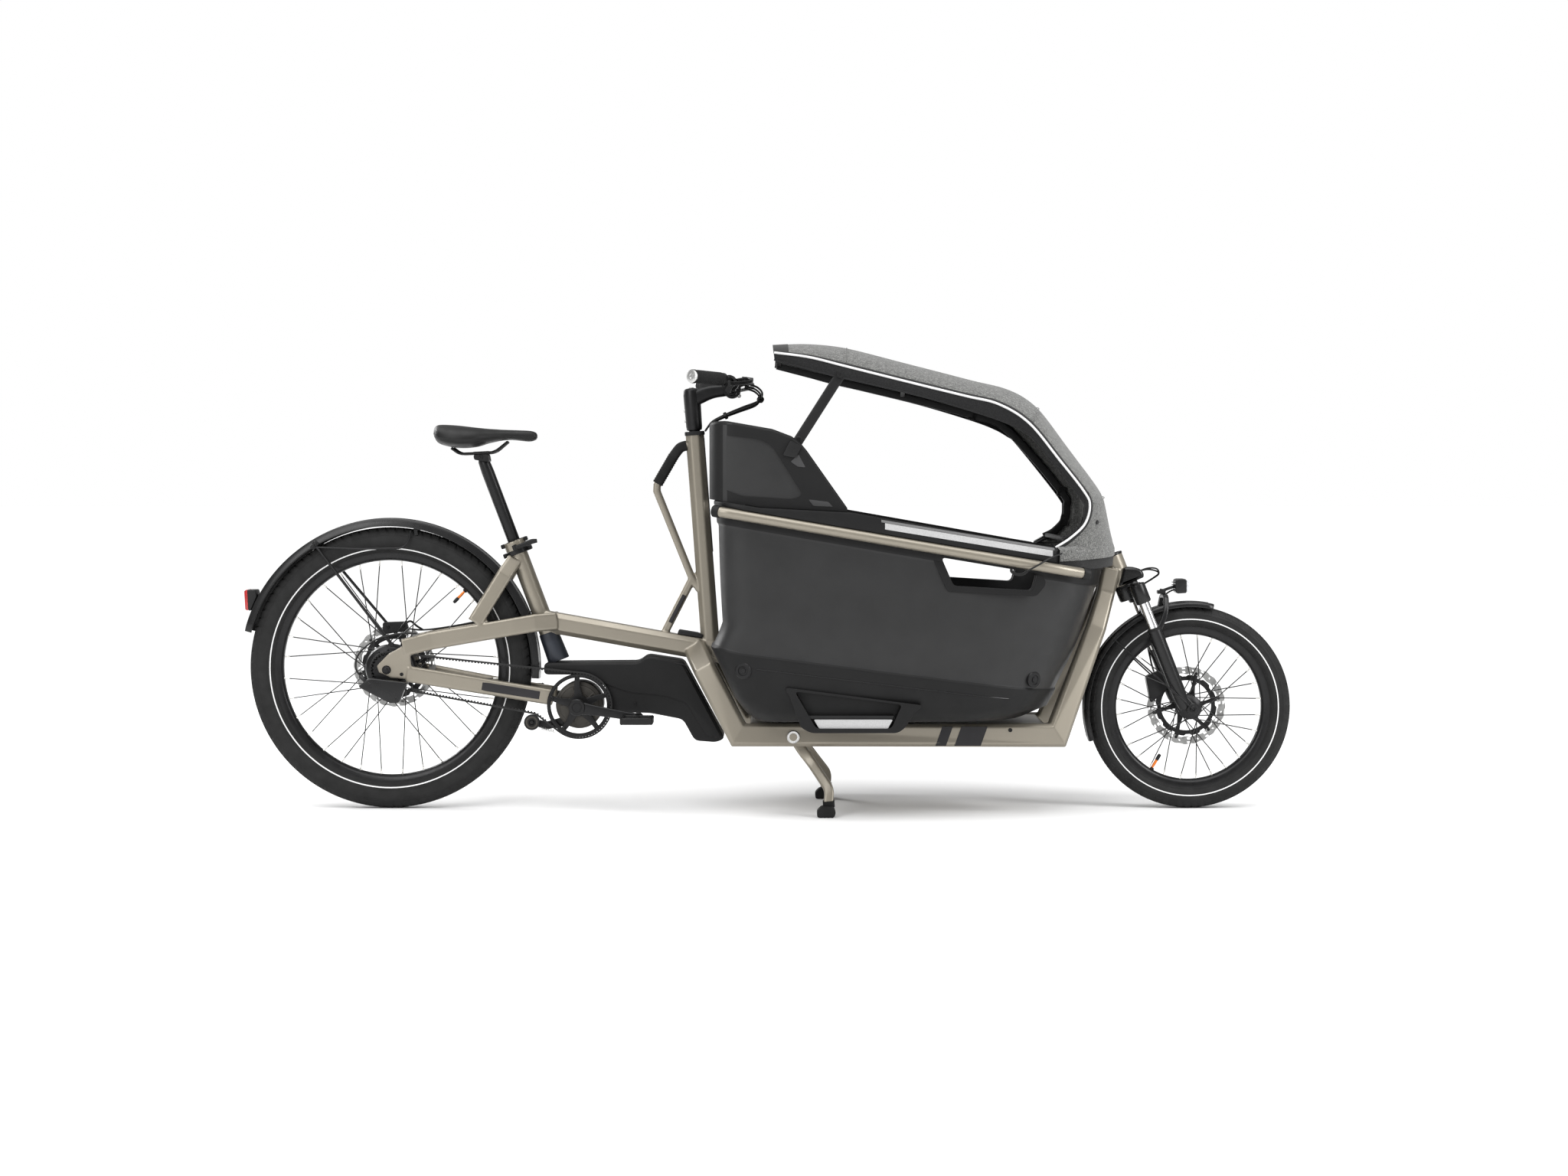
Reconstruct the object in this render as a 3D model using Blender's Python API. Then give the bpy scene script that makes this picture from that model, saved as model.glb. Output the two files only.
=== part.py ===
"""Front-loading cargo bicycle with a child box, a canopy and a belt drive.

Metres, +Z up, +X towards the front wheel, the drive side on -Y.  The origin is on the ground, at the
middle of the bicycle's length and width.
"""
from math import asin, atan2, cos, degrees, pi, radians, sin

import bmesh
import bpy
from mathutils import Vector

# Driving dimensions ---------------------------------------------------------------------------
GAP = 0.0004                      # clearance between touching pieces
HALF_LENGTH = 1.323
WHEELBASE = 2.0225
REAR_RADIUS = 0.356               # 27.5 x 2.4 tyre
FRONT_RADIUS = 0.2565             # 20 x 2.15 tyre
FRONT_AXLE_X = HALF_LENGTH - FRONT_RADIUS
REAR_AXLE_X = FRONT_AXLE_X - WHEELBASE
HEAD_LEAN = radians(21.5)         # steering axis from the vertical
FORK_RAKE = 0.0416
LEG_OFFSET = 0.0242               # stanchions ahead of the steering axis
LEG_Y = 0.065
CRANK_X, CRANK_Z = -0.476, 0.265
CRANK_LENGTH = 0.155
CRANK_DROP = radians(9.6)         # right crank points forward and slightly down
BELT_Y = -0.0610
BELT_WIDTH, BELT_THICKNESS = 0.010, 0.004
FRONT_PULLEY_R, REAR_PULLEY_R, TENSIONER_R = 0.0800, 0.0405, 0.0200
BELT_SEAT = 0.0028                # pulley surface to the belt's middle line
TENSIONER_X, TENSIONER_Z = -0.594, 0.2225
STAY_Y = 0.0765                   # rear dropouts from the middle plane
RAIL_Y = 0.145                    # platform rails from the middle plane
RAIL_Z = 0.199
BOX_HALF_WIDTH = 0.305
SIDE_RAIL_R = 0.0125
STAND_X, STAND_Z = 0.063, 0.196
STAND_SHAFT_R = 0.0110
SEAT_LEAN = radians(20.5)         # seat tube and post from the vertical, top towards the rear
SEAT_TUBE_R, SEAT_POST_R = 0.0225, 0.0158
HEAD_TUBE_R, STEERER_R = 0.0250, 0.0142
MAIN_TUBE_WIDTH, MAIN_TUBE_HEIGHT, MAIN_TUBE_CHAMFER = 0.058, 0.053, 0.012
COLUMN_WIDTH, COLUMN_DEPTH, COLUMN_CHAMFER = 0.042, 0.046, 0.013
STANCHION_R = 0.0135
BAR_DIAMETER, GRIP_DIAMETER = 0.022, 0.034
HUB_BORE_R = 0.0075
PEDAL_PIN_R = 0.0045
REAR_RIM_INNER, FRONT_RIM_INNER = 0.2720, 0.1836
REAR_DISC_R, REAR_DISC_Y = 0.1050, 0.0560
FRONT_DISC_R, FRONT_DISC_Y = 0.1000, 0.0380
DISC_GAP = 0.0012                 # brake slot beyond the disc's edge
COLUMN_LEAN = radians(4.2)        # steering column, top towards the rear
REAR_AXLE = Vector((REAR_AXLE_X, 0, REAR_RADIUS))
FRONT_AXLE = Vector((FRONT_AXLE_X, 0, FRONT_RADIUS))
STEER_DOWN = Vector((sin(HEAD_LEAN), 0, -cos(HEAD_LEAN)))
STEER_AHEAD = Vector((cos(HEAD_LEAN), 0, sin(HEAD_LEAN)))
AXLE_DOWN = 0.2996                # axle below the crown's reference plane, along the steering axis
CROWN = FRONT_AXLE - STEER_AHEAD * FORK_RAKE - STEER_DOWN * AXLE_DOWN
COLUMN_UP = Vector((-sin(COLUMN_LEAN), 0, cos(COLUMN_LEAN)))
COLUMN_FOOT = Vector((-0.1490, 0, 0.4500))
COLUMN_LENGTH = 0.5010
SEAT_UP = Vector((-sin(SEAT_LEAN), 0, cos(SEAT_LEAN)))
SEAT_TUBE_TOP = Vector((-0.6420, 0, 0.6720))
HANDLEBAR = Vector((-0.0910, 0, 1.0590))

# Colours: name -> (red, green, blue), roughness, metallic ---------------------------------------
FINISHES = {
    "frame_paint": ((0.52, 0.48, 0.40), 0.35, 0.6),
    "foot_paint": ((0.05, 0.06, 0.08), 0.4, 0.3),
    "box_shell": ((0.055, 0.055, 0.058), 0.6, 0.0),
    "black_plastic": ((0.03, 0.03, 0.032), 0.5, 0.0),
    "black_metal": ((0.035, 0.035, 0.037), 0.4, 0.6),
    "tyre_rubber": ((0.03, 0.03, 0.03), 0.8, 0.0),
    "grip_rubber": ((0.025, 0.025, 0.025), 0.75, 0.0),
    "steel": ((0.62, 0.62, 0.62), 0.3, 1.0),
    "chrome": ((0.8, 0.8, 0.8), 0.1, 1.0),
    "canopy_fabric": ((0.27, 0.27, 0.26), 0.9, 0.0),
    "cushion_fabric": ((0.08, 0.08, 0.085), 0.9, 0.0),
    "saddle_cover": ((0.03, 0.03, 0.03), 0.6, 0.0),
    "red_lens": ((0.45, 0.02, 0.02), 0.2, 0.0),
    "lamp": ((0.05, 0.05, 0.05), 0.3, 0.0),
}


# Construction helpers ---------------------------------------------------------------------------
def clear_scene():
    for item in list(bpy.data.objects):
        bpy.data.objects.remove(item, do_unlink=True)


def finish_material(name):
    material = bpy.data.materials.new(name)
    material.use_nodes = True
    colour, roughness, metallic = FINISHES[name]
    shader = material.node_tree.nodes["Principled BSDF"]
    shader.inputs["Base Color"].default_value = (*colour, 1.0)
    shader.inputs["Roughness"].default_value = roughness
    shader.inputs["Metallic"].default_value = metallic
    return material


def make_object(name, bm, finish="black_plastic", smooth=True, origin=(0, 0, 0)):
    """Object from a bmesh in world coordinates, with its origin moved to the given point."""
    bmesh.ops.recalc_face_normals(bm, faces=bm.faces)
    bmesh.ops.translate(bm, verts=bm.verts, vec=-Vector(origin))
    mesh = bpy.data.meshes.new(name)
    bm.to_mesh(mesh)
    bm.free()
    if smooth:
        mesh.shade_smooth()
        mesh.set_sharp_from_angle(angle=radians(35))
    obj = bpy.data.objects.new(name, mesh)
    obj.location = origin
    bpy.context.collection.objects.link(obj)
    mesh.materials.append(finish_material(finish))
    return obj


def oval(width, height, count=16):
    """Closed round section, flat sides towards the axes."""
    turn = 2 * pi / count
    grow = 1 / cos(turn / 2)
    return [(width / 2 * grow * cos((i + 0.5) * turn), height / 2 * grow * sin((i + 0.5) * turn))
            for i in range(count)]


def chamfered(width, height, cut):
    """Rectangle with its four corners cut off."""
    w, h = width / 2, height / 2
    return [(w, -h + cut), (w, h - cut), (w - cut, h), (-w + cut, h),
            (-w, h - cut), (-w, -h + cut), (-w + cut, -h), (w - cut, -h)]


def sweep_into(bm, path, section, side=(0, 1, 0), scales=None, closed=False):
    """Run a section along a path with mitred bends.  The section's first axis lies along side."""
    points = [Vector(p) for p in path]
    count = len(points)
    scales = scales or [(1, 1)] * count
    rings = []
    for i, point in enumerate(points):
        before = points[i - 1] if (i > 0 or closed) else None
        after = points[(i + 1) % count] if (i < count - 1 or closed) else None
        run_in = (point - before).normalized() if before is not None else (after - point).normalized()
        run_out = (after - point).normalized() if after is not None else run_in
        plane = (run_in + run_out).normalized()
        across = Vector(side) - run_in * Vector(side).dot(run_in)
        across.normalize()
        upward = run_in.cross(across)
        ring = []
        for u, v in section:
            spot = point + across * u * scales[i][0] + upward * v * scales[i][1]
            spot -= run_in * ((spot - point).dot(plane) / run_in.dot(plane))
            ring.append(bm.verts.new(spot))
        rings.append(ring)
    pairs = list(zip(rings, rings[1:])) + ([(rings[-1], rings[0])] if closed else [])
    for low, high in pairs:
        for j in range(len(section)):
            k = (j + 1) % len(section)
            bm.faces.new((low[j], low[k], high[k], high[j]))
    if not closed:
        bm.faces.new(rings[0])
        bm.faces.new(rings[-1])


def sweep(name, path, section, finish="frame_paint", origin=(0, 0, 0), **options):
    bm = bmesh.new()
    sweep_into(bm, path, section, **options)
    return make_object(name, bm, finish, origin=origin)


def turned_into(bm, profile, centre, axis, steps=24, ring=False):
    """Turn a profile of (along, radius) about an axis.  A ring's profile closes on itself."""
    axis = Vector(axis).normalized()
    first = axis.orthogonal() if abs(axis.y) < 0.9 else Vector((0, 0, -1))
    first = (first - axis * first.dot(axis)).normalized()
    second = axis.cross(first)
    turn = 2 * pi / steps
    grow = 1 / cos(turn / 2)
    loops = []
    for along, radius in profile:
        base = Vector(centre) + axis * along
        if radius == 0:
            loops.append([bm.verts.new(base)])
            continue
        loops.append([bm.verts.new(base + (first * cos((i + 0.5) * turn) + second * sin((i + 0.5) * turn))
                                   * radius * grow) for i in range(steps)])
    pairs = list(zip(loops, loops[1:])) + ([(loops[-1], loops[0])] if ring else [])
    for low, high in pairs:
        for i in range(steps):
            j = (i + 1) % steps
            if len(low) == 1:
                bm.faces.new((low[0], high[j], high[i]))
            elif len(high) == 1:
                bm.faces.new((low[i], low[j], high[0]))
            else:
                bm.faces.new((low[i], low[j], high[j], high[i]))
    if not ring:
        for loop in (loops[0], loops[-1]):
            if len(loop) > 1:
                bm.faces.new(loop)


def turned(name, profile, centre, axis=(0, 1, 0), finish="black_metal", origin=None, **options):
    bm = bmesh.new()
    turned_into(bm, profile, centre, axis, **options)
    return make_object(name, bm, finish, origin=centre if origin is None else origin)


def slab_into(bm, outline, y_low, y_high):
    """Extrude an outline of (x, z) points from one y to another."""
    face = bm.faces.new([bm.verts.new((x, y_low, z)) for x, z in outline])
    moved = bmesh.ops.extrude_face_region(bm, geom=[face])["geom"]
    new_verts = [v for v in moved if isinstance(v, bmesh.types.BMVert)]
    bmesh.ops.translate(bm, verts=new_verts, vec=(0, y_high - y_low, 0))


def slab(name, outline, y_low, y_high, finish="black_plastic", bevel=0, **options):
    bm = bmesh.new()
    slab_into(bm, outline, y_low, y_high)
    if bevel:
        bmesh.ops.recalc_face_normals(bm, faces=bm.faces)
        rims = [e for e in bm.edges if abs(e.verts[0].co.y - e.verts[1].co.y) < 1e-6]
        bmesh.ops.bevel(bm, geom=rims, offset=bevel, segments=1, affect="EDGES", clamp_overlap=True)
    return make_object(name, bm, finish, **options)


def combine(base, other, operation):
    """Boolean of two objects, applied to the first; the second is used up."""
    modifier = base.modifiers.new("combine", "BOOLEAN")
    modifier.operation = operation
    modifier.solver = "EXACT"
    modifier.object = other
    bpy.context.view_layer.update()
    shaped = base.evaluated_get(bpy.context.evaluated_depsgraph_get())
    mesh = bpy.data.meshes.new_from_object(shaped)
    base.modifiers.clear()
    bm = bmesh.new()
    bm.from_mesh(mesh)
    bmesh.ops.remove_doubles(bm, verts=bm.verts, dist=0.00002)
    bmesh.ops.dissolve_degenerate(bm, edges=bm.edges, dist=0.00001)
    bm.to_mesh(base.data)
    bm.free()
    while len(base.data.materials) > 1:
        base.data.materials.pop()
    bpy.data.objects.remove(other, do_unlink=True)
    return base


def weld(base, *others):
    for other in others:
        combine(base, other, "UNION")
    return base


def carve(base, *others):
    for other in others:
        combine(base, other, "DIFFERENCE")
    return base


def drill(base, centre, axis, radius, length, steps=24):
    half = length / 2
    return carve(base, turned("drill", [(-half, radius), (half, radius)], centre, axis, steps=steps))


def arc(centre_x, centre_z, radius, start, stop, count, y=0.0):
    """Points on an arc in the XZ plane, angles in degrees from +X towards +Z."""
    angles = [radians(start + (stop - start) * i / (count - 1)) for i in range(count)]
    return [(centre_x + radius * cos(a), y, centre_z + radius * sin(a)) for a in angles]


def smooth_path(points, per_span=4):
    """Points read from a smooth curve through the given points."""
    points = [Vector(p) for p in points]
    ends = [points[0] * 2 - points[1]] + points + [points[-1] * 2 - points[-2]]
    out = []
    for a, b, c, d in zip(ends, ends[1:], ends[2:], ends[3:]):
        for i in range(per_span):
            t = i / per_span
            out.append(0.5 * ((2 * b) + (c - a) * t + (2 * a - 5 * b + 4 * c - d) * t * t
                              + (3 * b - a - 3 * c + d) * t ** 3))
    return out + [points[-1]]


def inset(outline, distance):
    """Outline moved inwards by a distance, with mitred corners."""
    area = sum(a[0] * b[1] - b[0] * a[1] for a, b in zip(outline, outline[1:] + outline[:1]))
    turn = 1 if area > 0 else -1
    result = []
    for i, point in enumerate(outline):
        before = Vector(point) - Vector(outline[i - 1])
        after = Vector(outline[(i + 1) % len(outline)]) - Vector(point)
        n1 = Vector((-before.y, before.x)).normalized() * turn
        n2 = Vector((-after.y, after.x)).normalized() * turn
        middle = (n1 + n2).normalized()
        result.append(tuple(Vector(point) + middle * distance / max(middle.dot(n1), 0.3)))
    return result


def mirror_y(path, side):
    return [(x, y * side, z) for x, y, z in path]


def fork_point(down, ahead, y=0.0):
    """Point of the fork, measured along the steering axis from the crown and forwards from it."""
    return CROWN + STEER_DOWN * down + STEER_AHEAD * ahead + Vector((0, y, 0))


# Frame ------------------------------------------------------------------------------------------
MAIN_TUBE_PATH = [(-0.566, 0, 0.4745), (-0.280, 0, 0.4235), (-0.118, 0, 0.3948)]


def seat_tube_core():
    """Cutter that leaves clearance round the seat tube."""
    radius = SEAT_TUBE_R + GAP
    return turned("core", [(-0.32, radius), (0.01, radius)], SEAT_TUBE_TOP, SEAT_UP, steps=20)


def main_tube_core():
    """Cutter that leaves clearance round the main tube."""
    section = chamfered(MAIN_TUBE_WIDTH + 2 * GAP, MAIN_TUBE_HEIGHT + 2 * GAP, MAIN_TUBE_CHAMFER)
    return sweep("core", MAIN_TUBE_PATH, section)


def head_tube_core():
    """Cutter that leaves clearance round the head tube."""
    radius = HEAD_TUBE_R + GAP
    return turned("core", [(-0.2, radius), (0.0, radius)], CROWN, STEER_DOWN)


def seat_tube():
    low = SEAT_TUBE_TOP - SEAT_UP * 0.305
    tube = sweep("seat_tube", [SEAT_TUBE_TOP, low], oval(SEAT_TUBE_R * 2, SEAT_TUBE_R * 2, 20))
    collar = turned("collar", [(-0.026, 0.0275), (0.006, 0.0275)], SEAT_TUBE_TOP, SEAT_UP, steps=20)
    weld(tube, collar)
    return drill(tube, SEAT_TUBE_TOP - SEAT_UP * 0.140, SEAT_UP, SEAT_POST_R + 0.0007, 0.300, 20)


def main_tube():
    section = chamfered(MAIN_TUBE_WIDTH, MAIN_TUBE_HEIGHT, MAIN_TUBE_CHAMFER)
    return carve(sweep("main_tube", MAIN_TUBE_PATH, section), seat_tube_core())


def rear_stays(name, side):
    """Elevated stay, seat stay, chainstay and dropout of one side, welded together."""
    upper = sweep(name, mirror_y([(-0.915, STAY_Y, 0.411), (-0.8435, 0.066, 0.4285),
                                  (-0.640, 0.054, 0.463), (-0.588, 0.048, 0.4715),
                                  (-0.535, 0.026, 0.475)], side), chamfered(0.016, 0.044, 0.004))
    seat = sweep("seat_stay", mirror_y([(-0.640, 0.020, 0.630), (-0.664, 0.0465, 0.592),
                                        (-0.7365, 0.060, 0.4735)], side), chamfered(0.014, 0.038, 0.004))
    chain = sweep("chainstay", mirror_y([(-0.905, STAY_Y, 0.346), (-0.820, 0.064, 0.331),
                                         (-0.700, 0.050, 0.310), (-0.541, 0.048, 0.284)], side),
                  chamfered(0.015, 0.040, 0.004))
    plate = slab("dropout", [(-0.975, 0.350), (-0.980, 0.366), (-0.951, 0.396), (-0.900, 0.424),
                             (-0.892, 0.332), (-0.944, 0.336)],
                 (STAY_Y - 0.0052) * side, (STAY_Y + 0.0052) * side)
    weld(upper, seat, chain, plate)
    carve(upper, seat_tube_core(), main_tube_core())
    return drill(upper, REAR_AXLE, (0, 1, 0), 0.0068, 0.3, 16)


def platform_rail(name, side):
    """One rail: down from the main tube, along under the box and up to the head tube."""
    path = mirror_y([(-0.184, 0.010, 0.4040), (-0.155, 0.110, 0.3560), (-0.0720, RAIL_Y, RAIL_Z),
                     (0.7170, RAIL_Y, RAIL_Z), (0.8230, 0.060, 0.460), (0.8530, 0.019, 0.548),
                     (0.8660, 0.017, 0.6080)], side)
    scales = [(1, 1), (1, 1), (1, 1), (1, 1.02), (0.8, 0.86), (0.72, 0.78), (0.72, 0.78)]
    rail = sweep(name, path, chamfered(0.040, 0.057, 0.008), scales=scales)
    middle = slab("core", [(-0.3, 0.1), (1.0, 0.1), (1.0, 0.7), (-0.3, 0.7)], -0.05 * side, GAP * side)
    carve(rail, main_tube_core(), head_tube_core(), middle)
    return drill(rail, (STAND_X, 0, STAND_Z), (0, 1, 0), STAND_SHAFT_R + 0.0006, 0.5, 16)


def platform_floor():
    """Cross members and the tray that carries the box between the rails."""
    inner = RAIL_Y - 0.0235
    tray = slab("platform_floor", [(-0.045, 0.205), (-0.045, 0.226), (0.690, 0.226), (0.690, 0.205)],
                -inner, inner, "frame_paint")
    for x in (0.170, 0.540):
        weld(tray, slab("member", [(x, 0.176), (x, 0.208), (x + 0.045, 0.208), (x + 0.045, 0.176)],
                        -inner, inner))
    return drill(tray, (STAND_X, 0, STAND_Z), (0, 1, 0), 0.020, 0.5, 12)


def steering_column():
    top = COLUMN_FOOT + COLUMN_UP * COLUMN_LENGTH
    low = COLUMN_FOOT - COLUMN_UP * 0.030
    section = chamfered(COLUMN_WIDTH, COLUMN_DEPTH, COLUMN_CHAMFER)
    column = carve(sweep("steering_column", [low, top], section), main_tube_core())
    return drill(column, top - COLUMN_UP * 0.16, COLUMN_UP, 0.0150, 0.34)


def lift_handle():
    """Loop behind the column for lifting the bicycle, with the brace to the main tube."""
    loop = sweep("lift_handle", [(-0.186, 0, 0.9220), (-0.215, 0, 0.9165), (-0.233, 0, 0.9020),
                                 (-0.2805, 0, 0.8200), (-0.2815, 0, 0.8030), (-0.1960, 0, 0.5900),
                                 (-0.175, 0, 0.5550)], chamfered(0.024, 0.018, 0.004))
    brace = sweep("brace", [(-0.2700, 0, 0.4300), (-0.1930, 0, 0.5800)], chamfered(0.024, 0.020, 0.004))
    weld(loop, brace)
    section = chamfered(COLUMN_WIDTH + 2 * GAP, COLUMN_DEPTH + 2 * GAP, COLUMN_CHAMFER)
    column_core = sweep("core", [COLUMN_FOOT - COLUMN_UP * 0.1, COLUMN_FOOT + COLUMN_UP * 0.6], section)
    return carve(loop, column_core, main_tube_core())


def lift_handle_grip():
    path = [(-0.2360, 0, 0.8970), (-0.2795, 0, 0.8220)]
    grip = sweep("lift_handle_grip", path, chamfered(0.034, 0.030, 0.008), "grip_rubber")
    return carve(grip, sweep("core", [(-0.2170, 0, 0.9300), (-0.2930, 0, 0.7985)],
                             chamfered(0.024 + 2 * GAP, 0.018 + 2 * GAP, 0.004)))


def head_tube():
    tube = turned("head_tube", [(-0.130, HEAD_TUBE_R), (-0.048, HEAD_TUBE_R)], CROWN, STEER_DOWN,
                  finish="frame_paint")
    return drill(tube, CROWN - STEER_DOWN * 0.08, STEER_DOWN, 0.0170, 0.3)


def nose_cover():
    """Black cover over the front of the head tube, where the cables leave."""
    cover = slab("nose_cover", [(0.893, 0.650), (0.915, 0.638), (0.938, 0.627), (0.951, 0.612),
                                (0.953, 0.588), (0.948, 0.583), (0.924, 0.5735), (0.899, 0.568)],
                 -0.034, 0.034, bevel=0.005)
    return carve(cover, head_tube_core())


def side_rail(name, side):
    """Round rail that carries the box's rim, from the rear of the box to its front."""
    y = BOX_HALF_WIDTH + SIDE_RAIL_R + 0.0010
    path = mirror_y([(-0.126, y - 0.012, 0.757), (-0.102, y, 0.753), (0.600, y, 0.6337),
                     (0.700, y - 0.012, 0.6167), (0.775, y - 0.045, 0.604)], side)
    return sweep(name, path, oval(SIDE_RAIL_R * 2, SIDE_RAIL_R * 2, 12))


# Drive ------------------------------------------------------------------------------------------
def motor_unit():
    centre = (CRANK_X, 0, CRANK_Z)
    motor = turned("motor_unit", [(-0.050, 0.050), (-0.044, 0.060), (0.044, 0.060), (0.050, 0.050)],
                   centre, finish="black_metal")
    arm = sweep("arm", [(CRANK_X - 0.03, -0.040, CRANK_Z - 0.04), (-0.560, -0.040, 0.212),
                        (TENSIONER_X, -0.040, TENSIONER_Z)], chamfered(0.008, 0.020, 0.002))
    pin = turned("pin", [(-0.004, 0.0055), (0.028, 0.0055)], (TENSIONER_X, -0.040, TENSIONER_Z),
                 (0, -1, 0), steps=12)
    weld(motor, arm, pin)
    return drill(motor, centre, (0, 1, 0), 0.0135, 0.3)


COVER_OUTLINE = [(-0.566, 0.371), (-0.566, 0.340), (-0.476, 0.340), (-0.410, 0.312), (-0.396, 0.245),
                 (-0.298, 0.243), (-0.215, 0.227), (-0.185, 0.173), (-0.130, 0.169), (-0.108, 0.179),
                 (-0.214, 0.376), (-0.306, 0.390), (-0.327, 0.373)]


def motor_cover():
    """Casing ahead of the motor, filled by the battery."""
    return slab("motor_cover", COVER_OUTLINE, -0.0520, 0.0520, bevel=0.006)


def belt_line():
    """Middle line of the belt round both pulleys and over the tensioner."""
    wheels = [((REAR_AXLE_X, REAR_RADIUS), REAR_PULLEY_R + BELT_SEAT, 1),
              ((TENSIONER_X, TENSIONER_Z), TENSIONER_R + BELT_SEAT, -1),
              ((CRANK_X, CRANK_Z), FRONT_PULLEY_R + BELT_SEAT, 1)]
    leaving, arriving = [], []
    for i, (centre, radius, sense) in enumerate(wheels):
        target, far_radius, far_sense = wheels[(i + 1) % 3]
        way = Vector(target) - Vector(centre)
        normal = atan2(way.y, way.x) - pi / 2 + asin((radius * sense - far_radius * far_sense) / way.length)
        leaving.append(normal + (pi if sense < 0 else 0))
        arriving.append(normal + (pi if far_sense < 0 else 0))
    line = []
    for i, (centre, radius, sense) in enumerate(wheels):
        start, stop = arriving[i - 1], leaving[i]
        span = ((stop - start) * sense) % (2 * pi)
        steps = max(2, int(degrees(span) / 12))
        for j in range(steps + 1):
            angle = start + sense * span * j / steps
            line.append((centre[0] + radius * cos(angle), BELT_Y, centre[1] + radius * sin(angle)))
    return line


def belt():
    half_w, half_t = BELT_WIDTH / 2, BELT_THICKNESS / 2
    section = [(half_w, -half_t), (half_w, half_t), (-half_w, half_t), (-half_w, -half_t)]
    return sweep("belt", belt_line(), section, "black_plastic", closed=True)


def tensioner_pulley():
    half = 0.0062
    return turned("tensioner_pulley", [(-half, 0.0064), (-half, TENSIONER_R), (half, TENSIONER_R),
                                       (half, 0.0064)], (TENSIONER_X, BELT_Y, TENSIONER_Z), ring=True)


def front_pulley():
    half = 0.0035
    return turned("front_pulley", [(-half, 0.0136), (-half, FRONT_PULLEY_R), (half, FRONT_PULLEY_R),
                                   (half, 0.0136)], (CRANK_X, BELT_Y, CRANK_Z), ring=True, steps=36)


def rear_sprocket():
    half = 0.0035
    return turned("rear_sprocket", [(-half, 0.0072), (-half, REAR_PULLEY_R), (half, REAR_PULLEY_R),
                                    (half, 0.0072)], (REAR_AXLE_X, BELT_Y, REAR_RADIUS), ring=True)


def crank_tip(side):
    reach = CRANK_LENGTH * (1 if side < 0 else -1)
    return Vector((CRANK_X + reach * cos(CRANK_DROP), side * 0.118, CRANK_Z - reach * sin(CRANK_DROP)))


def crank_arms():
    """Both arms on one spindle, with the pedal pins."""
    centre = Vector((CRANK_X, 0, CRANK_Z))
    spindle = turned("crank_arms", [(-0.110, 0.0125), (0.110, 0.0125)], centre)
    for side in (-1, 1):
        hub = centre + Vector((0, side * 0.118, 0))
        arm = sweep("arm", [hub, crank_tip(side)], chamfered(0.014, 0.030, 0.004),
                    scales=[(1, 1.2), (1, 0.75)])
        boss = turned("boss", [(-0.010, 0.021), (0.010, 0.021)], hub, steps=16)
        end = turned("end", [(-0.008, 0.013), (0.008, 0.013)], crank_tip(side), steps=12)
        pin = turned("pin", [(0.004, PEDAL_PIN_R), (0.100, PEDAL_PIN_R)], crank_tip(side), (0, side, 0),
                     steps=8)
        weld(spindle, arm, boss, end, pin)
    return spindle


def pedal(name, side):
    tip = crank_tip(side)
    y_in, y_out = 0.134 * side, 0.222 * side
    outline = [(tip.x - 0.041, tip.z - 0.005), (tip.x - 0.036, tip.z - 0.009),
               (tip.x + 0.036, tip.z - 0.009), (tip.x + 0.041, tip.z - 0.005),
               (tip.x + 0.041, tip.z + 0.005), (tip.x + 0.036, tip.z + 0.009),
               (tip.x - 0.036, tip.z + 0.009), (tip.x - 0.041, tip.z + 0.005)]
    body = slab(name, outline, y_in, y_out, origin=(tip.x, 0, tip.z))
    for middle in (tip.x - 0.024, tip.x + 0.024):
        low, high = tip.z - 0.02, tip.z + 0.02
        fore, aft = middle + 0.010, middle - 0.010
        window = [(aft, low), (fore, low), (fore, high), (aft, high)]
        carve(body, slab("window", window, 0.144 * side, 0.212 * side))
    return drill(body, tip, (0, 1, 0), PEDAL_PIN_R + 0.0006, 0.4, 8)


# Wheels -----------------------------------------------------------------------------------------
def tyre(name, centre, radius, half_width, bead_radius, steps):
    height = radius - bead_radius
    half = [(0.26, 0), (0.78, 0.13), (1.00, 0.45), (0.90, 0.78), (0.56, 1.0)]
    right = [(half_width * w, radius - height * h) for w, h in half]
    left = [(-a, r) for a, r in reversed(right)]
    return turned(name, right + left, centre, finish="tyre_rubber", steps=steps, ring=True)


def rim(name, centre, outer, inner, half_width, steps):
    profile = [(half_width, outer), (half_width, inner + 0.009), (half_width * 0.55, inner),
               (-half_width * 0.55, inner), (-half_width, inner + 0.009), (-half_width, outer)]
    return turned(name, profile, centre, finish="black_metal", steps=steps, ring=True)


def hub_shell(name, centre, shell):
    """Hub turned from (y, radius) points, bored for the axle."""
    profile = shell + [(shell[-1][0], HUB_BORE_R), (shell[0][0], HUB_BORE_R)]
    return turned(name, profile, centre, ring=True)


def spokes(name, centre, count, flange_y, starts, rim_inner):
    """Straight spokes to the rim.  The starting radii are those of the right and the left flange."""
    bm = bmesh.new()
    for i in range(count):
        angle = 2 * pi * (i + 0.5) / count
        out = Vector((cos(angle), 0, sin(angle)))
        y = flange_y if i % 2 else -flange_y
        start = Vector(centre) + out * starts[i % 2] + Vector((0, y, 0))
        stop = Vector(centre) + out * (rim_inner - 0.0009) + Vector((0, y * 0.12, 0))
        sweep_into(bm, [start, stop], [(0.0011, 0), (0, 0.0011), (-0.0011, 0), (0, -0.0011)])
    return make_object(name, bm, "black_metal", smooth=False)


def spoke_bed(name, centre, rim_inner):
    """Thin hoop inside the rim that joins the spokes."""
    half, outer, inner = 0.006, rim_inner - 0.0007, rim_inner - 0.0025
    return turned(name, [(-half, inner), (-half, outer), (half, outer), (half, inner)], centre,
                  steps=40, ring=True)


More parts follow.
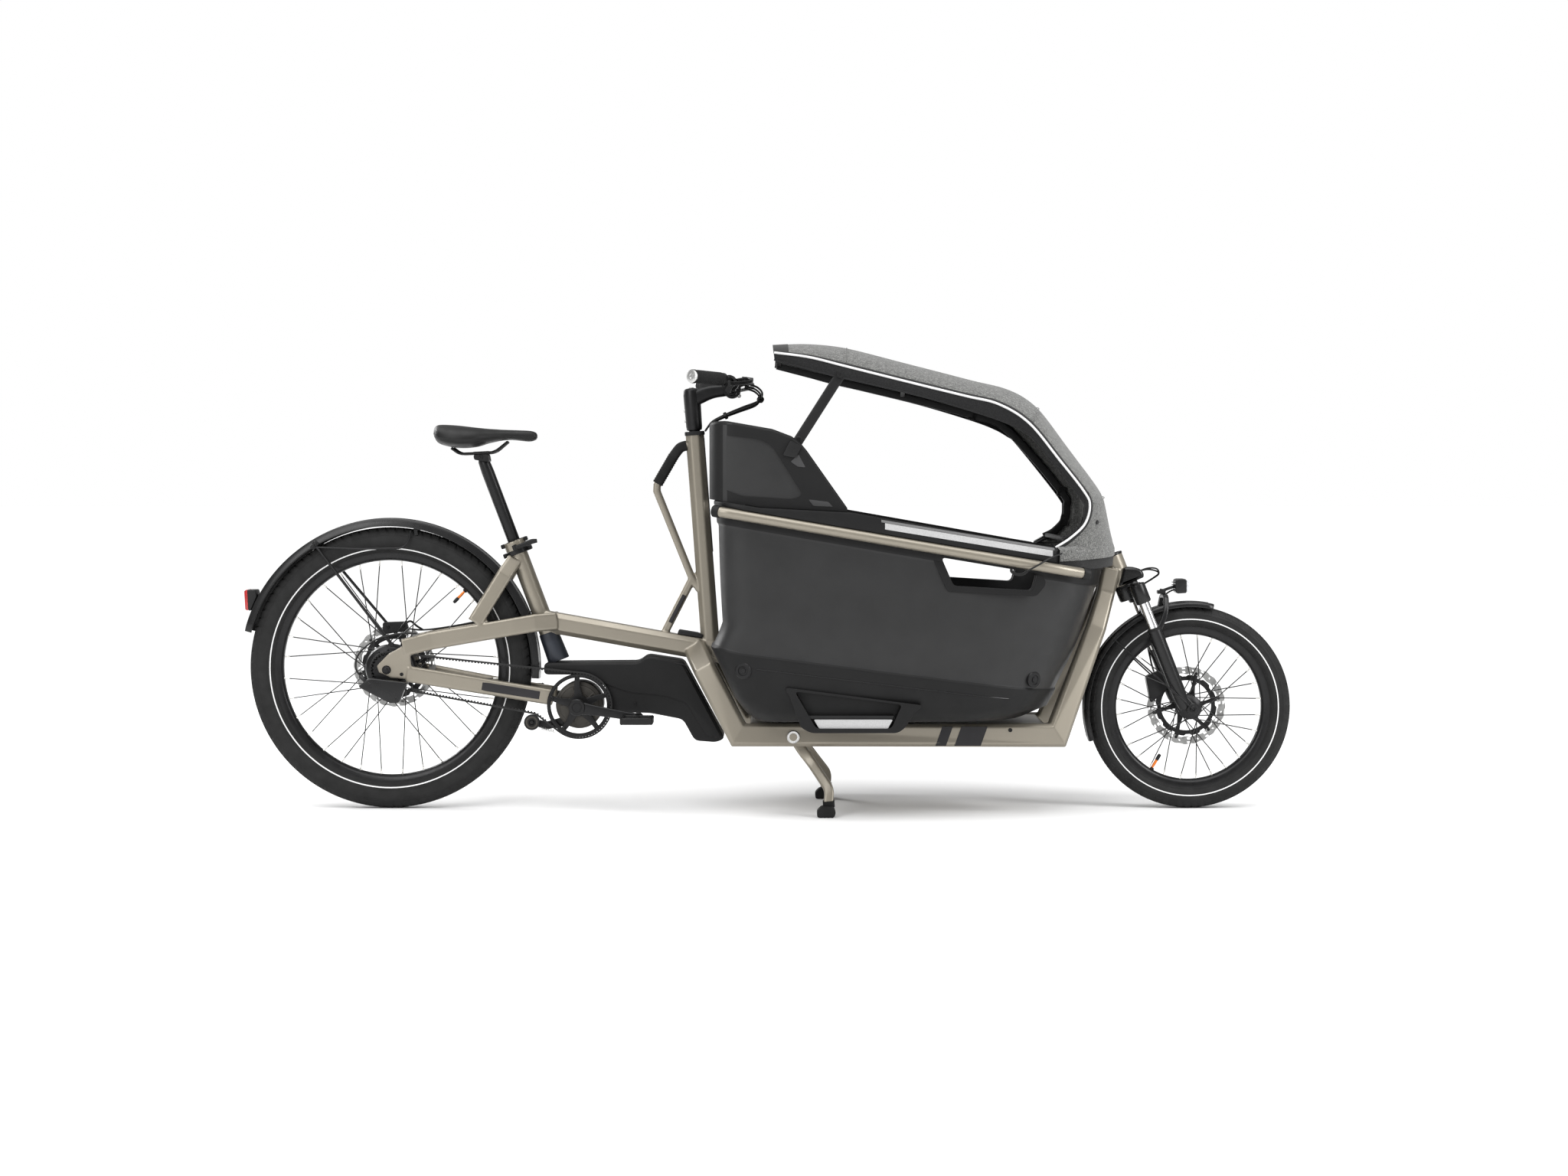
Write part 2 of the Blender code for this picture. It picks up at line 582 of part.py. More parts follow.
def rotor(name, centre, y, radius):
    half, bore = 0.0009, 0.0200
    spot = Vector(centre) + Vector((0, y, 0))
    return turned(name, [(-half, bore), (-half, radius), (half, radius), (half, bore)], spot,
                  finish="steel", steps=28, ring=True, origin=centre)


def rear_wheel():
    tyre("rear_tyre", REAR_AXLE, REAR_RADIUS, 0.0305, 0.2940, 40)
    rim("rear_rim", REAR_AXLE, 0.2934, REAR_RIM_INNER, 0.0165, 40)
    shell = [(-0.052, 0.046), (-0.048, 0.058), (-0.030, 0.060), (-0.022, 0.055), (0.022, 0.055),
             (0.034, 0.046), (0.040, 0.030), (0.052, 0.024)]
    hub_shell("rear_hub", REAR_AXLE, shell)
    bed = spoke_bed("rear_spokes", REAR_AXLE, REAR_RIM_INNER)
    weld(bed, spokes("spokes", REAR_AXLE, 32, 0.026, (0.0592, 0.0535), REAR_RIM_INNER))
    rotor("rear_rotor", REAR_AXLE, REAR_DISC_Y, REAR_DISC_R)


def front_wheel():
    tyre("front_tyre", FRONT_AXLE, FRONT_RADIUS, 0.0275, 0.2060, 36)
    rim("front_rim", FRONT_AXLE, 0.2054, FRONT_RIM_INNER, 0.0150, 36)
    shell = [(-0.034, 0.018), (-0.030, 0.029), (-0.022, 0.029), (-0.016, 0.020), (0.016, 0.020),
             (0.022, 0.029), (0.030, 0.029), (0.034, 0.018)]
    hub = hub_shell("front_hub", FRONT_AXLE, shell)
    weld(hub, spokes("spokes", FRONT_AXLE, 28, 0.025, (0.025, 0.025), FRONT_RIM_INNER))
    rotor("front_rotor", FRONT_AXLE, FRONT_DISC_Y, FRONT_DISC_R)


def rear_axle():
    """Axle with its two nuts."""
    half = STAY_Y + 0.0052 + GAP
    profile = [(-half - 0.012, 0), (-half - 0.012, 0.011), (-half, 0.011), (-half, 0.0060),
               (half, 0.0060), (half, 0.011), (half + 0.012, 0.011), (half + 0.012, 0)]
    return turned("rear_axle", profile, REAR_AXLE, finish="steel", steps=12)


def caliper(name, outline, y_low, y_high, disc_centre, disc_radius, disc_y):
    body = slab(name, outline, y_low, y_high, "black_metal")
    slot = turned("slot", [(-0.0022, disc_radius), (0.0022, disc_radius)],
                  Vector(disc_centre) + Vector((0, disc_y, 0)), steps=36)
    return carve(body, slot)


def hub_actuator():
    outline = [(-1.024, 0.316), (-0.996, 0.338), (-0.900, 0.326), (-0.921, 0.275), (-0.945, 0.275)]
    return slab("hub_actuator", outline, -0.112, -0.086, bevel=0.004)


def fender(name, centre, radius, start, stop, half_width, count):
    """Thin curved guard over a wheel, with side lips."""
    w, lip, thick = half_width, 0.012, 0.0026
    section = [(w, -lip), (w - 0.004, 0), (-w + 0.004, 0), (-w, -lip), (-w + thick, -lip),
               (-w + 0.004 + thick / 2, -thick), (w - 0.004 - thick / 2, -thick), (w - thick, -lip)]
    path = arc(centre.x, centre.z, radius, start, stop, count)
    return sweep(name, path, section, "black_plastic")


def rear_fender():
    guard = fender("rear_fender", REAR_AXLE, 0.3785, 165.5, -4, 0.036, 24)
    for side in (-1, 1):
        wire = sweep("wire", mirror_y([(-0.942, 0.0850, 0.420), (-0.960, 0.0820, 0.441),
                                       (-1.1290, 0.0400, 0.6530), (-1.1458, 0.0350, 0.6740)], side),
                     oval(0.006, 0.006, 6))
        weld(guard, wire)
    return guard


def tail_light():
    return slab("tail_light", [(-1.323, 0.551), (-1.317, 0.555), (-1.294, 0.554), (-1.2905, 0.5375),
                               (-1.3085, 0.5005), (-1.3205, 0.504)], -0.026, 0.026, "red_lens",
                bevel=0.002)


# Seat -------------------------------------------------------------------------------------------
SADDLE_STATIONS = [
    # x, half width, underside z, top z
    (-0.842, 0.030, 0.944, 0.962), (-0.825, 0.068, 0.921, 0.9705), (-0.785, 0.080, 0.912, 0.9690),
    (-0.740, 0.074, 0.914, 0.9640), (-0.700, 0.052, 0.925, 0.9600), (-0.655, 0.030, 0.932, 0.9575),
    (-0.605, 0.019, 0.928, 0.9560), (-0.584, 0.010, 0.936, 0.9480),
]


def saddle():
    bm = bmesh.new()
    rings = []
    for x, half, low, high in SADDLE_STATIONS:
        shape = [(-1.0, 0.35), (-0.80, 0.86), (-0.35, 1.0), (0.35, 1.0), (0.80, 0.86), (1.0, 0.35),
                 (0.85, 0.05), (0.30, 0.0), (-0.30, 0.0), (-0.85, 0.05)]
        rings.append([bm.verts.new((x, half * y, low + (high - low) * z)) for y, z in shape])
    for low, high in zip(rings, rings[1:]):
        for i in range(10):
            j = (i + 1) % 10
            bm.faces.new((low[i], low[j], high[j], high[i]))
    bm.faces.new(rings[0])
    bm.faces.new(rings[-1])
    return make_object("saddle", bm, "saddle_cover")


def seatpost():
    """Post with its head clamp and the two saddle rails."""
    top = Vector((-0.7190, 0, 0.8790))
    post = turned("seatpost", [(0, SEAT_POST_R), (-0.345, SEAT_POST_R)], top, SEAT_UP, steps=20,
                  finish="black_metal")
    head = slab("head", [(-0.742, 0.880), (-0.744, 0.897), (-0.704, 0.899), (-0.700, 0.872)],
                -0.0240, 0.0240)
    weld(post, head)
    for side in (-1, 1):
        rail = sweep("rail", mirror_y([(-0.795, 0.024, 0.9100), (-0.775, 0.022, 0.8960),
                                       (-0.690, 0.019, 0.9000), (-0.657, 0.010, 0.9250)], side),
                     oval(0.0075, 0.0075, 8))
        weld(post, rail)
    return post


def seat_clamp_lever():
    """Quick-release lever lying beside the seat collar."""
    pivot = SEAT_TUBE_TOP - SEAT_UP * 0.012 + Vector((0, -0.034, 0))
    path = [pivot, pivot + Vector((0.022, 0, 0.008)), pivot + Vector((0.058, 0.002, 0.018))]
    return sweep("seat_clamp_lever", path, chamfered(0.009, 0.011, 0.002), "black_metal", origin=pivot)


# Steering ---------------------------------------------------------------------------------------
def stem():
    """Steering shaft in the column with the raised arm to the handlebar clamp."""
    top = COLUMN_FOOT + COLUMN_UP * (COLUMN_LENGTH + 0.012)
    shaft = turned("stem", [(-0.28, STEERER_R), (0.004, STEERER_R)], top, COLUMN_UP, steps=20)
    bell = turned("bell", [(0, 0.0205), (0.080, 0.0215), (0.100, 0.018)], top, COLUMN_UP, steps=20)
    arm = sweep("arm", [top + COLUMN_UP * 0.070 + Vector((-0.004, 0, 0)), (-0.150, 0, 1.0520),
                        HANDLEBAR + Vector((-0.008, 0, -0.001))], chamfered(0.036, 0.036, 0.009),
                scales=[(1, 1.1), (1, 0.95), (0.95, 0.9)])
    clamp = turned("clamp", [(-0.024, 0.0225), (0.024, 0.0225)], HANDLEBAR)
    weld(shaft, bell, arm, clamp)
    return drill(shaft, HANDLEBAR, (0, 1, 0), 0.0162, 0.2)


BAR_HALF = [(-0.0910, 0, 1.0590), (-0.0905, 0.040, 1.0590), (-0.0880, 0.100, 1.0650),
            (-0.0890, 0.150, 1.0720), (-0.1030, 0.205, 1.0770), (-0.1790, 0.312, 1.0810)]
GRIP_INNER, GRIP_OUTER = (-0.1080, 0.2120, 1.0773), (-0.1812, 0.3150, 1.0811)


def handlebar():
    path = mirror_y(reversed(BAR_HALF), -1) + BAR_HALF[1:]
    return sweep("handlebar", path, oval(BAR_DIAMETER, BAR_DIAMETER, 12), "black_metal", side=(0, 0, 1))


def grip(name, side):
    body = sweep(name, mirror_y([GRIP_INNER, GRIP_OUTER], side), oval(GRIP_DIAMETER, GRIP_DIAMETER, 14),
                 "grip_rubber", side=(0, 0, 1))
    before, after = BAR_HALF[-2:]
    way = (Vector(after) - Vector(before)).normalized()
    core_path = [Vector(before) - way * 0.02, Vector(after) + way * 0.0004]
    bore = BAR_DIAMETER + 0.0006
    return carve(body, sweep("core", mirror_y(core_path, side), oval(bore, bore, 12), side=(0, 0, 1)))


def brake_lever(name, side):
    pivot = Vector((-0.0560, 0.132 * side, 1.0800))
    path = mirror_y([(-0.056, 0.128, 1.0800), (-0.040, 0.150, 1.0770), (-0.044, 0.190, 1.0710),
                     (-0.070, 0.240, 1.0660), (-0.092, 0.280, 1.0640)], side)
    return sweep(name, path, chamfered(0.011, 0.007, 0.002), "black_metal", side=(0, 0, 1), origin=pivot)


CABLE_ROUTE = [(-0.0540, -0.1100, 1.0640), (-0.0300, -0.0850, 1.0560), (-0.0180, -0.0500, 1.0420),
               (-0.0280, -0.0220, 1.0240), (-0.0700, -0.0080, 1.0080), (-0.1080, -0.0030, 0.9930),
               (-0.1420, 0.0, 0.9760), (-0.1585, 0.0, 0.9580)]


def control_cables():
    curve = bpy.data.curves.new("control_cables", "CURVE")
    curve.dimensions = "3D"
    curve.bevel_depth = 0.0045
    curve.bevel_resolution = 2
    curve.use_fill_caps = True
    points = smooth_path(CABLE_ROUTE, 3)
    spline = curve.splines.new("POLY")
    spline.points.add(len(points) - 1)
    for slot, point in zip(spline.points, points):
        slot.co = (*point, 1.0)
    cable = bpy.data.objects.new("control_cables", curve)
    bpy.context.collection.objects.link(cable)
    curve.materials.append(finish_material("black_plastic"))
    return cable


# Fork -------------------------------------------------------------------------------------------
def fork_upper():
    """Steerer, crown and the two stanchions."""
    steerer = turned("fork_upper", [(-0.134, STEERER_R), (-0.020, STEERER_R)], CROWN, STEER_DOWN,
                     finish="chrome", steps=20)
    ahead = [(fork_point(d, a).x, fork_point(d, a).z) for d, a in
             ((-0.044, 0.004), (-0.044, 0.038), (-0.012, 0.042), (-0.012, 0.006))]
    boss = turned("boss", [(-0.045, 0.0240), (-0.012, 0.0240)], CROWN, STEER_DOWN, steps=20)
    weld(steerer, boss, slab("crown", ahead, -0.070, 0.070))
    for side in (-1, 1):
        foot = fork_point(0, LEG_OFFSET, LEG_Y * side)
        clamp = turned("clamp", [(-0.0445, 0.0200), (0.006, 0.0200)], foot, STEER_DOWN, steps=16)
        leg = turned("leg", [(-0.030, STANCHION_R), (0.205, STANCHION_R)], foot, STEER_DOWN, steps=16)
        weld(steerer, clamp, leg)
    return steerer


def fork_lower():
    """Both sliding legs with the bridge, the axle and the disc brake's caliper."""
    legs = []
    for side in (-1, 1):
        foot = fork_point(0, LEG_OFFSET, LEG_Y * side)
        leg = turned("fork_lower" if side < 0 else "leg",
                     [(0.078, 0.0185), (0.250, 0.0180), (0.292, 0.0130)], foot, STEER_DOWN, steps=16)
        lug_centre = FRONT_AXLE + Vector((0, LEG_Y * side, 0))
        lug = turned("lug", [(-0.0125, 0.0150), (0.0125, 0.0150)], lug_centre, steps=16)
        rib = sweep("rib", [fork_point(0.262, LEG_OFFSET, LEG_Y * side), lug_centre],
                    chamfered(0.016, 0.022, 0.004))
        weld(leg, lug, rib)
        legs.append(leg)
    base = weld(legs[0], legs[1])
    bridge = sweep("bridge", [(0.9780, -LEG_Y, 0.4480), (1.0000, -0.058, 0.4980), (1.0030, -0.036, 0.5350),
                              (1.0030, 0.036, 0.5350), (1.0000, 0.058, 0.4980), (0.9780, LEG_Y, 0.4480)],
                   chamfered(0.011, 0.014, 0.003), side=(1, 0, 0))
    axle = turned("axle", [(-0.070, 0.0060), (0.070, 0.0060)], FRONT_AXLE, steps=16)
    weld(base, bridge, axle)
    brake = caliper("brake", [(0.962, 0.330), (1.008, 0.350), (1.020, 0.300), (0.975, 0.262)],
                    0.028, 0.060, FRONT_AXLE, FRONT_DISC_R + DISC_GAP, FRONT_DISC_Y)
    weld(base, brake)
    for side in (-1, 1):
        drill(base, fork_point(0.150, LEG_OFFSET, LEG_Y * side), STEER_DOWN, STANCHION_R + 0.0008, 0.190, 16)
    return base


def front_fender():
    return fender("front_fender", FRONT_AXLE, 0.2680, 199, 77, 0.031, 18)


def headlight():
    """Lamp on a short bracket above the bridge."""
    lamp = slab("headlight", [(1.028, 0.549), (1.028, 0.578), (1.034, 0.582), (1.058, 0.582),
                              (1.064, 0.576), (1.064, 0.552), (1.058, 0.546), (1.034, 0.544)],
                -0.024, 0.024, "lamp", bevel=0.004)
    bracket = sweep("bracket", [(0.9900, 0, 0.5475), (1.0120, 0, 0.5560), (1.0330, 0, 0.5630)],
                    chamfered(0.010, 0.008, 0.002))
    weld(lamp, bracket)
    foot = slab("foot", [(0.985, 0.5430), (0.985, 0.552), (1.006, 0.556), (1.006, 0.5430)], -0.008, 0.008)
    return weld(lamp, foot)


# Box --------------------------------------------------------------------------------------------
def rail_line(x):
    """Height of the side rail's middle line above the ground."""
    return 0.753 - 0.1699 * (x + 0.102)


def rim_line(x):
    """Height of the collar's top edge."""
    if x < 0.2:
        top = 0.772 - 0.053 * (x + 0.142)
    else:
        top = 0.754 - 0.176 * (x - 0.2)
    return max(top, rail_line(x) + SIDE_RAIL_R + 0.014)


def plan(rear, front, half, notch=0.040):
    """Plan outline of the box: blunt rear with a notch for the column, tapered round front."""
    length = front - rear
    right = [(rear + notch, -0.050), (rear, -0.078), (rear, -half * 0.80), (rear + 0.020, -half * 0.95),
             (rear + 0.060, -half), (rear + length * 0.62, -half), (rear + length * 0.78, -half * 0.965),
             (rear + length * 0.90, -half * 0.82), (rear + length * 0.965, -half * 0.58),
             (front, -half * 0.26)]
    return right + [(x, -y) for x, y in reversed(right)]


def box_ring(bm, outline, height):
    return [bm.verts.new((x, y, height(x) if callable(height) else height)) for x, y in outline]


def bridge_rings(bm, rings):
    for low, high in zip(rings, rings[1:]):
        count = len(low)
        for i in range(count):
            j = (i + 1) % count
            bm.faces.new((low[i], low[j], high[j], high[i]))


def cargo_box():
    """Open tub with a stepped collar, two hand windows and a flat floor."""
    bm = bmesh.new()
    w = BOX_HALF_WIDTH
    under_rail = plan(-0.125, 0.830, w)
    above_rail = plan(-0.127, 0.836, w)
    collar = plan(-0.131, 0.841, w + 0.020)
    rim_in = inset(plan(-0.130, 0.840, w + 0.016), 0.030)
    wall_in = inset(plan(-0.118, 0.800, w), 0.024)
    low_in = inset(plan(-0.070, 0.716, w - 0.022), 0.024)
    floor_in = inset(plan(-0.036, 0.690, w - 0.045), 0.024)
    rings = [box_ring(bm, plan(-0.030, 0.640, w - 0.060), 0.240),
             box_ring(bm, plan(-0.058, 0.700, w - 0.030), 0.268),
             box_ring(bm, plan(-0.082, 0.715, w - 0.015), 0.300),
             box_ring(bm, plan(-0.140, 0.752, w - 0.002), 0.425),
             box_ring(bm, plan(-0.113, 0.772, w), 0.480),
             box_ring(bm, under_rail, lambda x: rail_line(x) - SIDE_RAIL_R - 0.004),
             box_ring(bm, above_rail, lambda x: rail_line(x) + SIDE_RAIL_R + 0.001),
             box_ring(bm, collar, lambda x: rail_line(x) + SIDE_RAIL_R + 0.001),
             box_ring(bm, collar, rim_line),
             box_ring(bm, rim_in, rim_line),
             box_ring(bm, wall_in, 0.560),
             box_ring(bm, low_in, 0.330),
             box_ring(bm, floor_in, 0.275)]
    bridge_rings(bm, rings)
    bm.faces.new(rings[0])
    bm.faces.new(rings[-1])
    tub = make_object("cargo_box", bm, "box_shell")
    window = slab("window", [(0.426, 0.644), (0.606, 0.611), (0.598, 0.585), (0.457, 0.598)], -0.5, 0.5)
    return carve(tub, window)


def backrest_shell():
    """Raised back of the box with two side wings, open to the front."""
    outline = [(-0.139, 0.800), (-0.142, 0.966), (-0.113, 0.976), (0.012, 0.955), (0.062, 0.936),
               (0.088, 0.913), (0.196, rim_line(0.196) + 0.001), (-0.139, rim_line(-0.139) + 0.001)]
    shell = slab("backrest_shell", outline, -0.300, 0.300, "box_shell", bevel=0.014)
    hollow = slab("hollow", [(-0.118, 0.70), (-0.118, 0.956), (0.05, 0.990), (0.30, 0.990), (0.30, 0.70)],
                  -0.276, 0.276)
    notch = slab("notch", [(-0.2, 0.74), (-0.2, 1.0), (-0.131, 1.0), (-0.112, 0.74)], -0.036, 0.036)
    return carve(shell, hollow, notch)


def bench_seat():
    """Children's bench inside the box: seat board and front panel."""
    outline = [(-0.028, 0.470), (-0.028, 0.492), (0.235, 0.505), (0.248, 0.285), (0.226, 0.285),
               (0.214, 0.484)]
    return slab("bench_seat", outline, -0.235, 0.235, "black_plastic")


def seat_cushion():
    outline = [(-0.026, 0.4930), (-0.028, 0.530), (0.228, 0.545), (0.240, 0.530), (0.236, 0.5060)]
    return slab("seat_cushion", outline, -0.225, 0.225, "cushion_fabric", bevel=0.008)


# Canopy -----------------------------------------------------------------------------------------
CANOPY_RIBS = [
    # middle line x, z; edge x, z; half width at the edge
    (0.012, 1.168, 0.016, 1.143, 0.215), (0.100, 1.172, 0.100, 1.131, 0.238),
    (0.193, 1.162, 0.187, 1.109, 0.252), (0.348, 1.122, 0.350, 1.068, 0.262),
    (0.500, 1.084, 0.480, 1.036, 0.268), (0.601, 1.058, 0.560, 1.016, 0.272),
    (0.670, 1.012, 0.634, 0.970, 0.274), (0.745, 0.918, 0.708, 0.881, 0.272),
    (0.810, 0.832, 0.769, 0.804, 0.266), (0.846, 0.790, 0.784, 0.770, 0.258),
    (0.862, 0.745, 0.773, 0.726, 0.254), (0.878, 0.700, 0.738, 0.692, 0.260),
    (0.886, 0.668, 0.700, 0.668, 0.270),
]
FABRIC = 0.006


def canopy_fabric():
    """Curved cover from the rear edge over the roof and down to the box."""
    bm = bmesh.new()
    outer_rows, inner_rows = [], []
    for mid_x, mid_z, edge_x, edge_z, half in CANOPY_RIBS:
        rows = ([], [])
        for shift, row in zip((0, FABRIC), rows):
            for i in range(-4, 5):
                t = i / 4
                drop = abs(t) ** 2.6
                x = mid_x + (edge_x - mid_x) * drop
                z = mid_z + (edge_z - mid_z) * drop
                away = Vector((x - 0.36, z - 0.66)).normalized() * shift
                y = (half - shift * 0.7) * t * (1.25 - 0.25 * t * t)
                row.append(bm.verts.new((x - away.x, y, z - away.y)))
        outer_rows.append(rows[0])
        inner_rows.append(rows[1])
    count = len(outer_rows[0])
    for rows in (outer_rows, inner_rows):
        for low, high in zip(rows, rows[1:]):
            for i in range(count - 1):
                bm.faces.new((low[i], low[i + 1], high[i + 1], high[i]))
    for outer, inner in ((outer_rows[0], inner_rows[0]), (outer_rows[-1], inner_rows[-1])):
        for i in range(count - 1):
            bm.faces.new((outer[i], outer[i + 1], inner[i + 1], inner[i]))
    for side in (0, count - 1):
        for row in range(len(outer_rows) - 1):
            bm.faces.new((outer_rows[row][side], outer_rows[row + 1][side],
                          inner_rows[row + 1][side], inner_rows[row][side]))
    return make_object("canopy_fabric", bm, "canopy_fabric")


def canopy_frame():
    """Side hoops with cross bars and the two struts to the backrest."""
    hoop = [(0.022, 0.205, 1.1280), (0.175, 0.238, 1.0900), (0.350, 0.246, 1.0490),
            (0.535, 0.252, 1.0010), (0.612, 0.254, 0.9570), (0.742, 0.250, 0.8000),
            (0.756, 0.242, 0.7680), (0.744, 0.238, 0.7320), (0.712, 0.246, 0.6990),
            (0.688, 0.250, 0.6900)]
    base = sweep("canopy_frame", mirror_y(hoop, -1), chamfered(0.014, 0.018, 0.004), "black_plastic")
    weld(base, sweep("hoop", mirror_y(hoop, 1), chamfered(0.014, 0.018, 0.004)))
    for x, half, z in ((0.026, 0.2050, 1.1270), (0.350, 0.2460, 1.0490), (0.690, 0.2500, 0.6900)):
        weld(base, sweep("bar", [(x, -half, z), (x, half, z)], chamfered(0.012, 0.014, 0.003),
                         side=(1, 0, 0)))
    for side in (-1, 1):
        strut = sweep("strut", mirror_y([(0.178, 0.240, 1.0880), (0.0700, 0.2590, 0.9200)], side),
                      chamfered(0.012, 0.024, 0.003))
        weld(base, strut)
    return base


# Stand ------------------------------------------------------------------------------------------
def stand_leg_path(side):
    return mirror_y([(STAND_X, 0.108, STAND_Z), (0.083, 0.112, 0.160), (0.107, 0.122, 0.130),
                     (0.153, 0.172, 0.066), (0.149, 0.186, 0.0335)], side)


def kickstand():
    """Two splayed legs on one shaft through the rails."""
    pivot = Vector((STAND_X, 0, STAND_Z))
    shaft = turned("kickstand", [(-0.1720, STAND_SHAFT_R), (0.1720, STAND_SHAFT_R)], pivot,
                   finish="frame_paint", steps=16)
    for side in (-1, 1):
        leg = sweep("leg", stand_leg_path(side), chamfered(0.018, 0.026, 0.004))
        boss = turned("boss", [(-0.010, 0.0155), (0.010, 0.0155)], pivot + Vector((0, 0.108 * side, 0)),
                      steps=16)
        weld(shaft, leg, boss)
    return shaft


def kickstand_foot(name, side):
    outline = [(0.122, 0.0), (0.121, 0.016), (0.133, 0.0275), (0.162, 0.0275), (0.168, 0.012), (0.164, 0.0)]
    return slab(name, outline, 0.168 * side, 0.206 * side, "grip_rubber",
                origin=(STAND_X, 0, STAND_Z))


def build():
    clear_scene()
    seat_tube()
    main_tube()
    for name, side in (("right", -1), ("left", 1)):
        rear_stays("rear_stays_" + name, side)
        platform_rail("platform_rail_" + name, side)
        side_rail("side_rail_" + name, side)
        pedal("pedal_" + name, side)
        grip("grip_" + name, side)
        brake_lever("brake_lever_" + name, side)
        kickstand_foot("kickstand_foot_" + name, side)
    for maker in (platform_floor, steering_column, lift_handle, lift_handle_grip, head_tube, nose_cover,
                  motor_unit, motor_cover, belt, tensioner_pulley, front_pulley, rear_sprocket,
                  crank_arms, rear_wheel, front_wheel, rear_axle, hub_actuator, rear_fender, tail_light,
                  saddle, seatpost, seat_clamp_lever, stem, handlebar, control_cables, fork_upper,
                  fork_lower, front_fender, headlight, cargo_box, backrest_shell, bench_seat,
                  seat_cushion, canopy_fabric, canopy_frame, kickstand):
        maker()
    caliper("rear_caliper", [(-0.985, 0.468), (-0.925, 0.470), (-0.918, 0.447), (-0.985, 0.436)],
            0.045, 0.0665, REAR_AXLE, REAR_DISC_R + DISC_GAP, REAR_DISC_Y)


build()
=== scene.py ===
"""Looks of a front-loading cargo bicycle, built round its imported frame.

Metres, +Z up, +X towards the front wheel, the drive side on -Y.
"""

from math import asin, atan2, cos, pi, radians, sin

import bmesh
import bpy
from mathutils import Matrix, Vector


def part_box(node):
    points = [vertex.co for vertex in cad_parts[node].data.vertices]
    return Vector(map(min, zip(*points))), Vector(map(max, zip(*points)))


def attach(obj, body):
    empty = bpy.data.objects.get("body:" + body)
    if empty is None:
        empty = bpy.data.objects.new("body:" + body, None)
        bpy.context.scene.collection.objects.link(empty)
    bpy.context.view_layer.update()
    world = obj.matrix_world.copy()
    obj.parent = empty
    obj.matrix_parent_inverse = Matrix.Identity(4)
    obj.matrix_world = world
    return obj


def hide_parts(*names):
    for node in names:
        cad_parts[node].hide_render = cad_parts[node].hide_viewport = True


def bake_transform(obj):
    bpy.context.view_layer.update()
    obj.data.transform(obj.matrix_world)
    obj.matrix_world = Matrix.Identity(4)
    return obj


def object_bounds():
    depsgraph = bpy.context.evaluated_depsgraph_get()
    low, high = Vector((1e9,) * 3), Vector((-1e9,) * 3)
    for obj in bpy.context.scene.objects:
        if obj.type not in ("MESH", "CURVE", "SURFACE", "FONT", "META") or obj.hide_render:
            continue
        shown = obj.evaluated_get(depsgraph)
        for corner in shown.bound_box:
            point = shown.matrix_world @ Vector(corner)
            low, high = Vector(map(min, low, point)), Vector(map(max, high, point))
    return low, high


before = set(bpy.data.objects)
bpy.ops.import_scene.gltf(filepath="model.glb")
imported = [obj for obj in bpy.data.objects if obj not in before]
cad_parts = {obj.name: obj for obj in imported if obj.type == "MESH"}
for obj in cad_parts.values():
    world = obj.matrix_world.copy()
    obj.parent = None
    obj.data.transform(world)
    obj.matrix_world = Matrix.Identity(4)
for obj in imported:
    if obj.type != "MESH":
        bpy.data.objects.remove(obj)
cad_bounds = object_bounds()


# Places read from the frame ---------------------------------------------------------------------
def centre_of(node):
    low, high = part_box(node)
    return (low + high) / 2


REAR_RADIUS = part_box("rear_tyre")[1].z / 2
FRONT_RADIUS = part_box("front_tyre")[1].z / 2
REAR_AXLE = Vector((centre_of("rear_tyre").x, 0, REAR_RADIUS))
FRONT_AXLE = Vector((centre_of("front_tyre").x, 0, FRONT_RADIUS))
CRANK = centre_of("front_pulley")
CRANK.y = 0
BELT_Y = centre_of("front_pulley").y
TENSIONER = centre_of("tensioner_pulley")
HEAD_LEAN = radians(21.5)
STEER_DOWN = Vector((sin(HEAD_LEAN), 0, -cos(HEAD_LEAN)))
STEER_AHEAD = Vector((cos(HEAD_LEAN), 0, sin(HEAD_LEAN)))
CROWN = FRONT_AXLE - STEER_AHEAD * 0.0416 - STEER_DOWN * 0.2996
LEG_OFFSET, LEG_Y = 0.0242, 0.065
COLUMN_LEAN = radians(4.2)
COLUMN_UP = Vector((-sin(COLUMN_LEAN), 0, cos(COLUMN_LEAN)))
COLUMN_TOP = Vector((-0.149, 0, 0.45)) + COLUMN_UP * 0.501
SEAT_LEAN = radians(20.5)
SEAT_UP = Vector((-sin(SEAT_LEAN), 0, cos(SEAT_LEAN)))
SEAT_TUBE_TOP = Vector((-0.642, 0, 0.672))
HANDLEBAR = Vector((-0.091, 0, 1.059))
BOX_HALF_WIDTH = 0.305
SIDE_RAIL_R = 0.0125
SIDES = (("right", -1), ("left", 1))


# Mesh helpers -----------------------------------------------------------------------------------
def through(points, per_span=8, closed=False):
    """Points read from a smooth curve through the given points."""
    points = [Vector(p) for p in points]
    if closed:
        ends = [points[-1]] + points + points[:2]
    else:
        ends = [points[0] * 2 - points[1]] + points + [points[-1] * 2 - points[-2]]
    line = []
    for a, b, c, d in zip(ends, ends[1:], ends[2:], ends[3:]):
        for i in range(per_span):
            t = i / per_span
            line.append(0.5 * ((2 * b) + (c - a) * t + (2 * a - 5 * b + 4 * c - d) * t * t
                               + (3 * b - a - 3 * c + d) * t ** 3))
    return line if closed else line + [points[-1]]


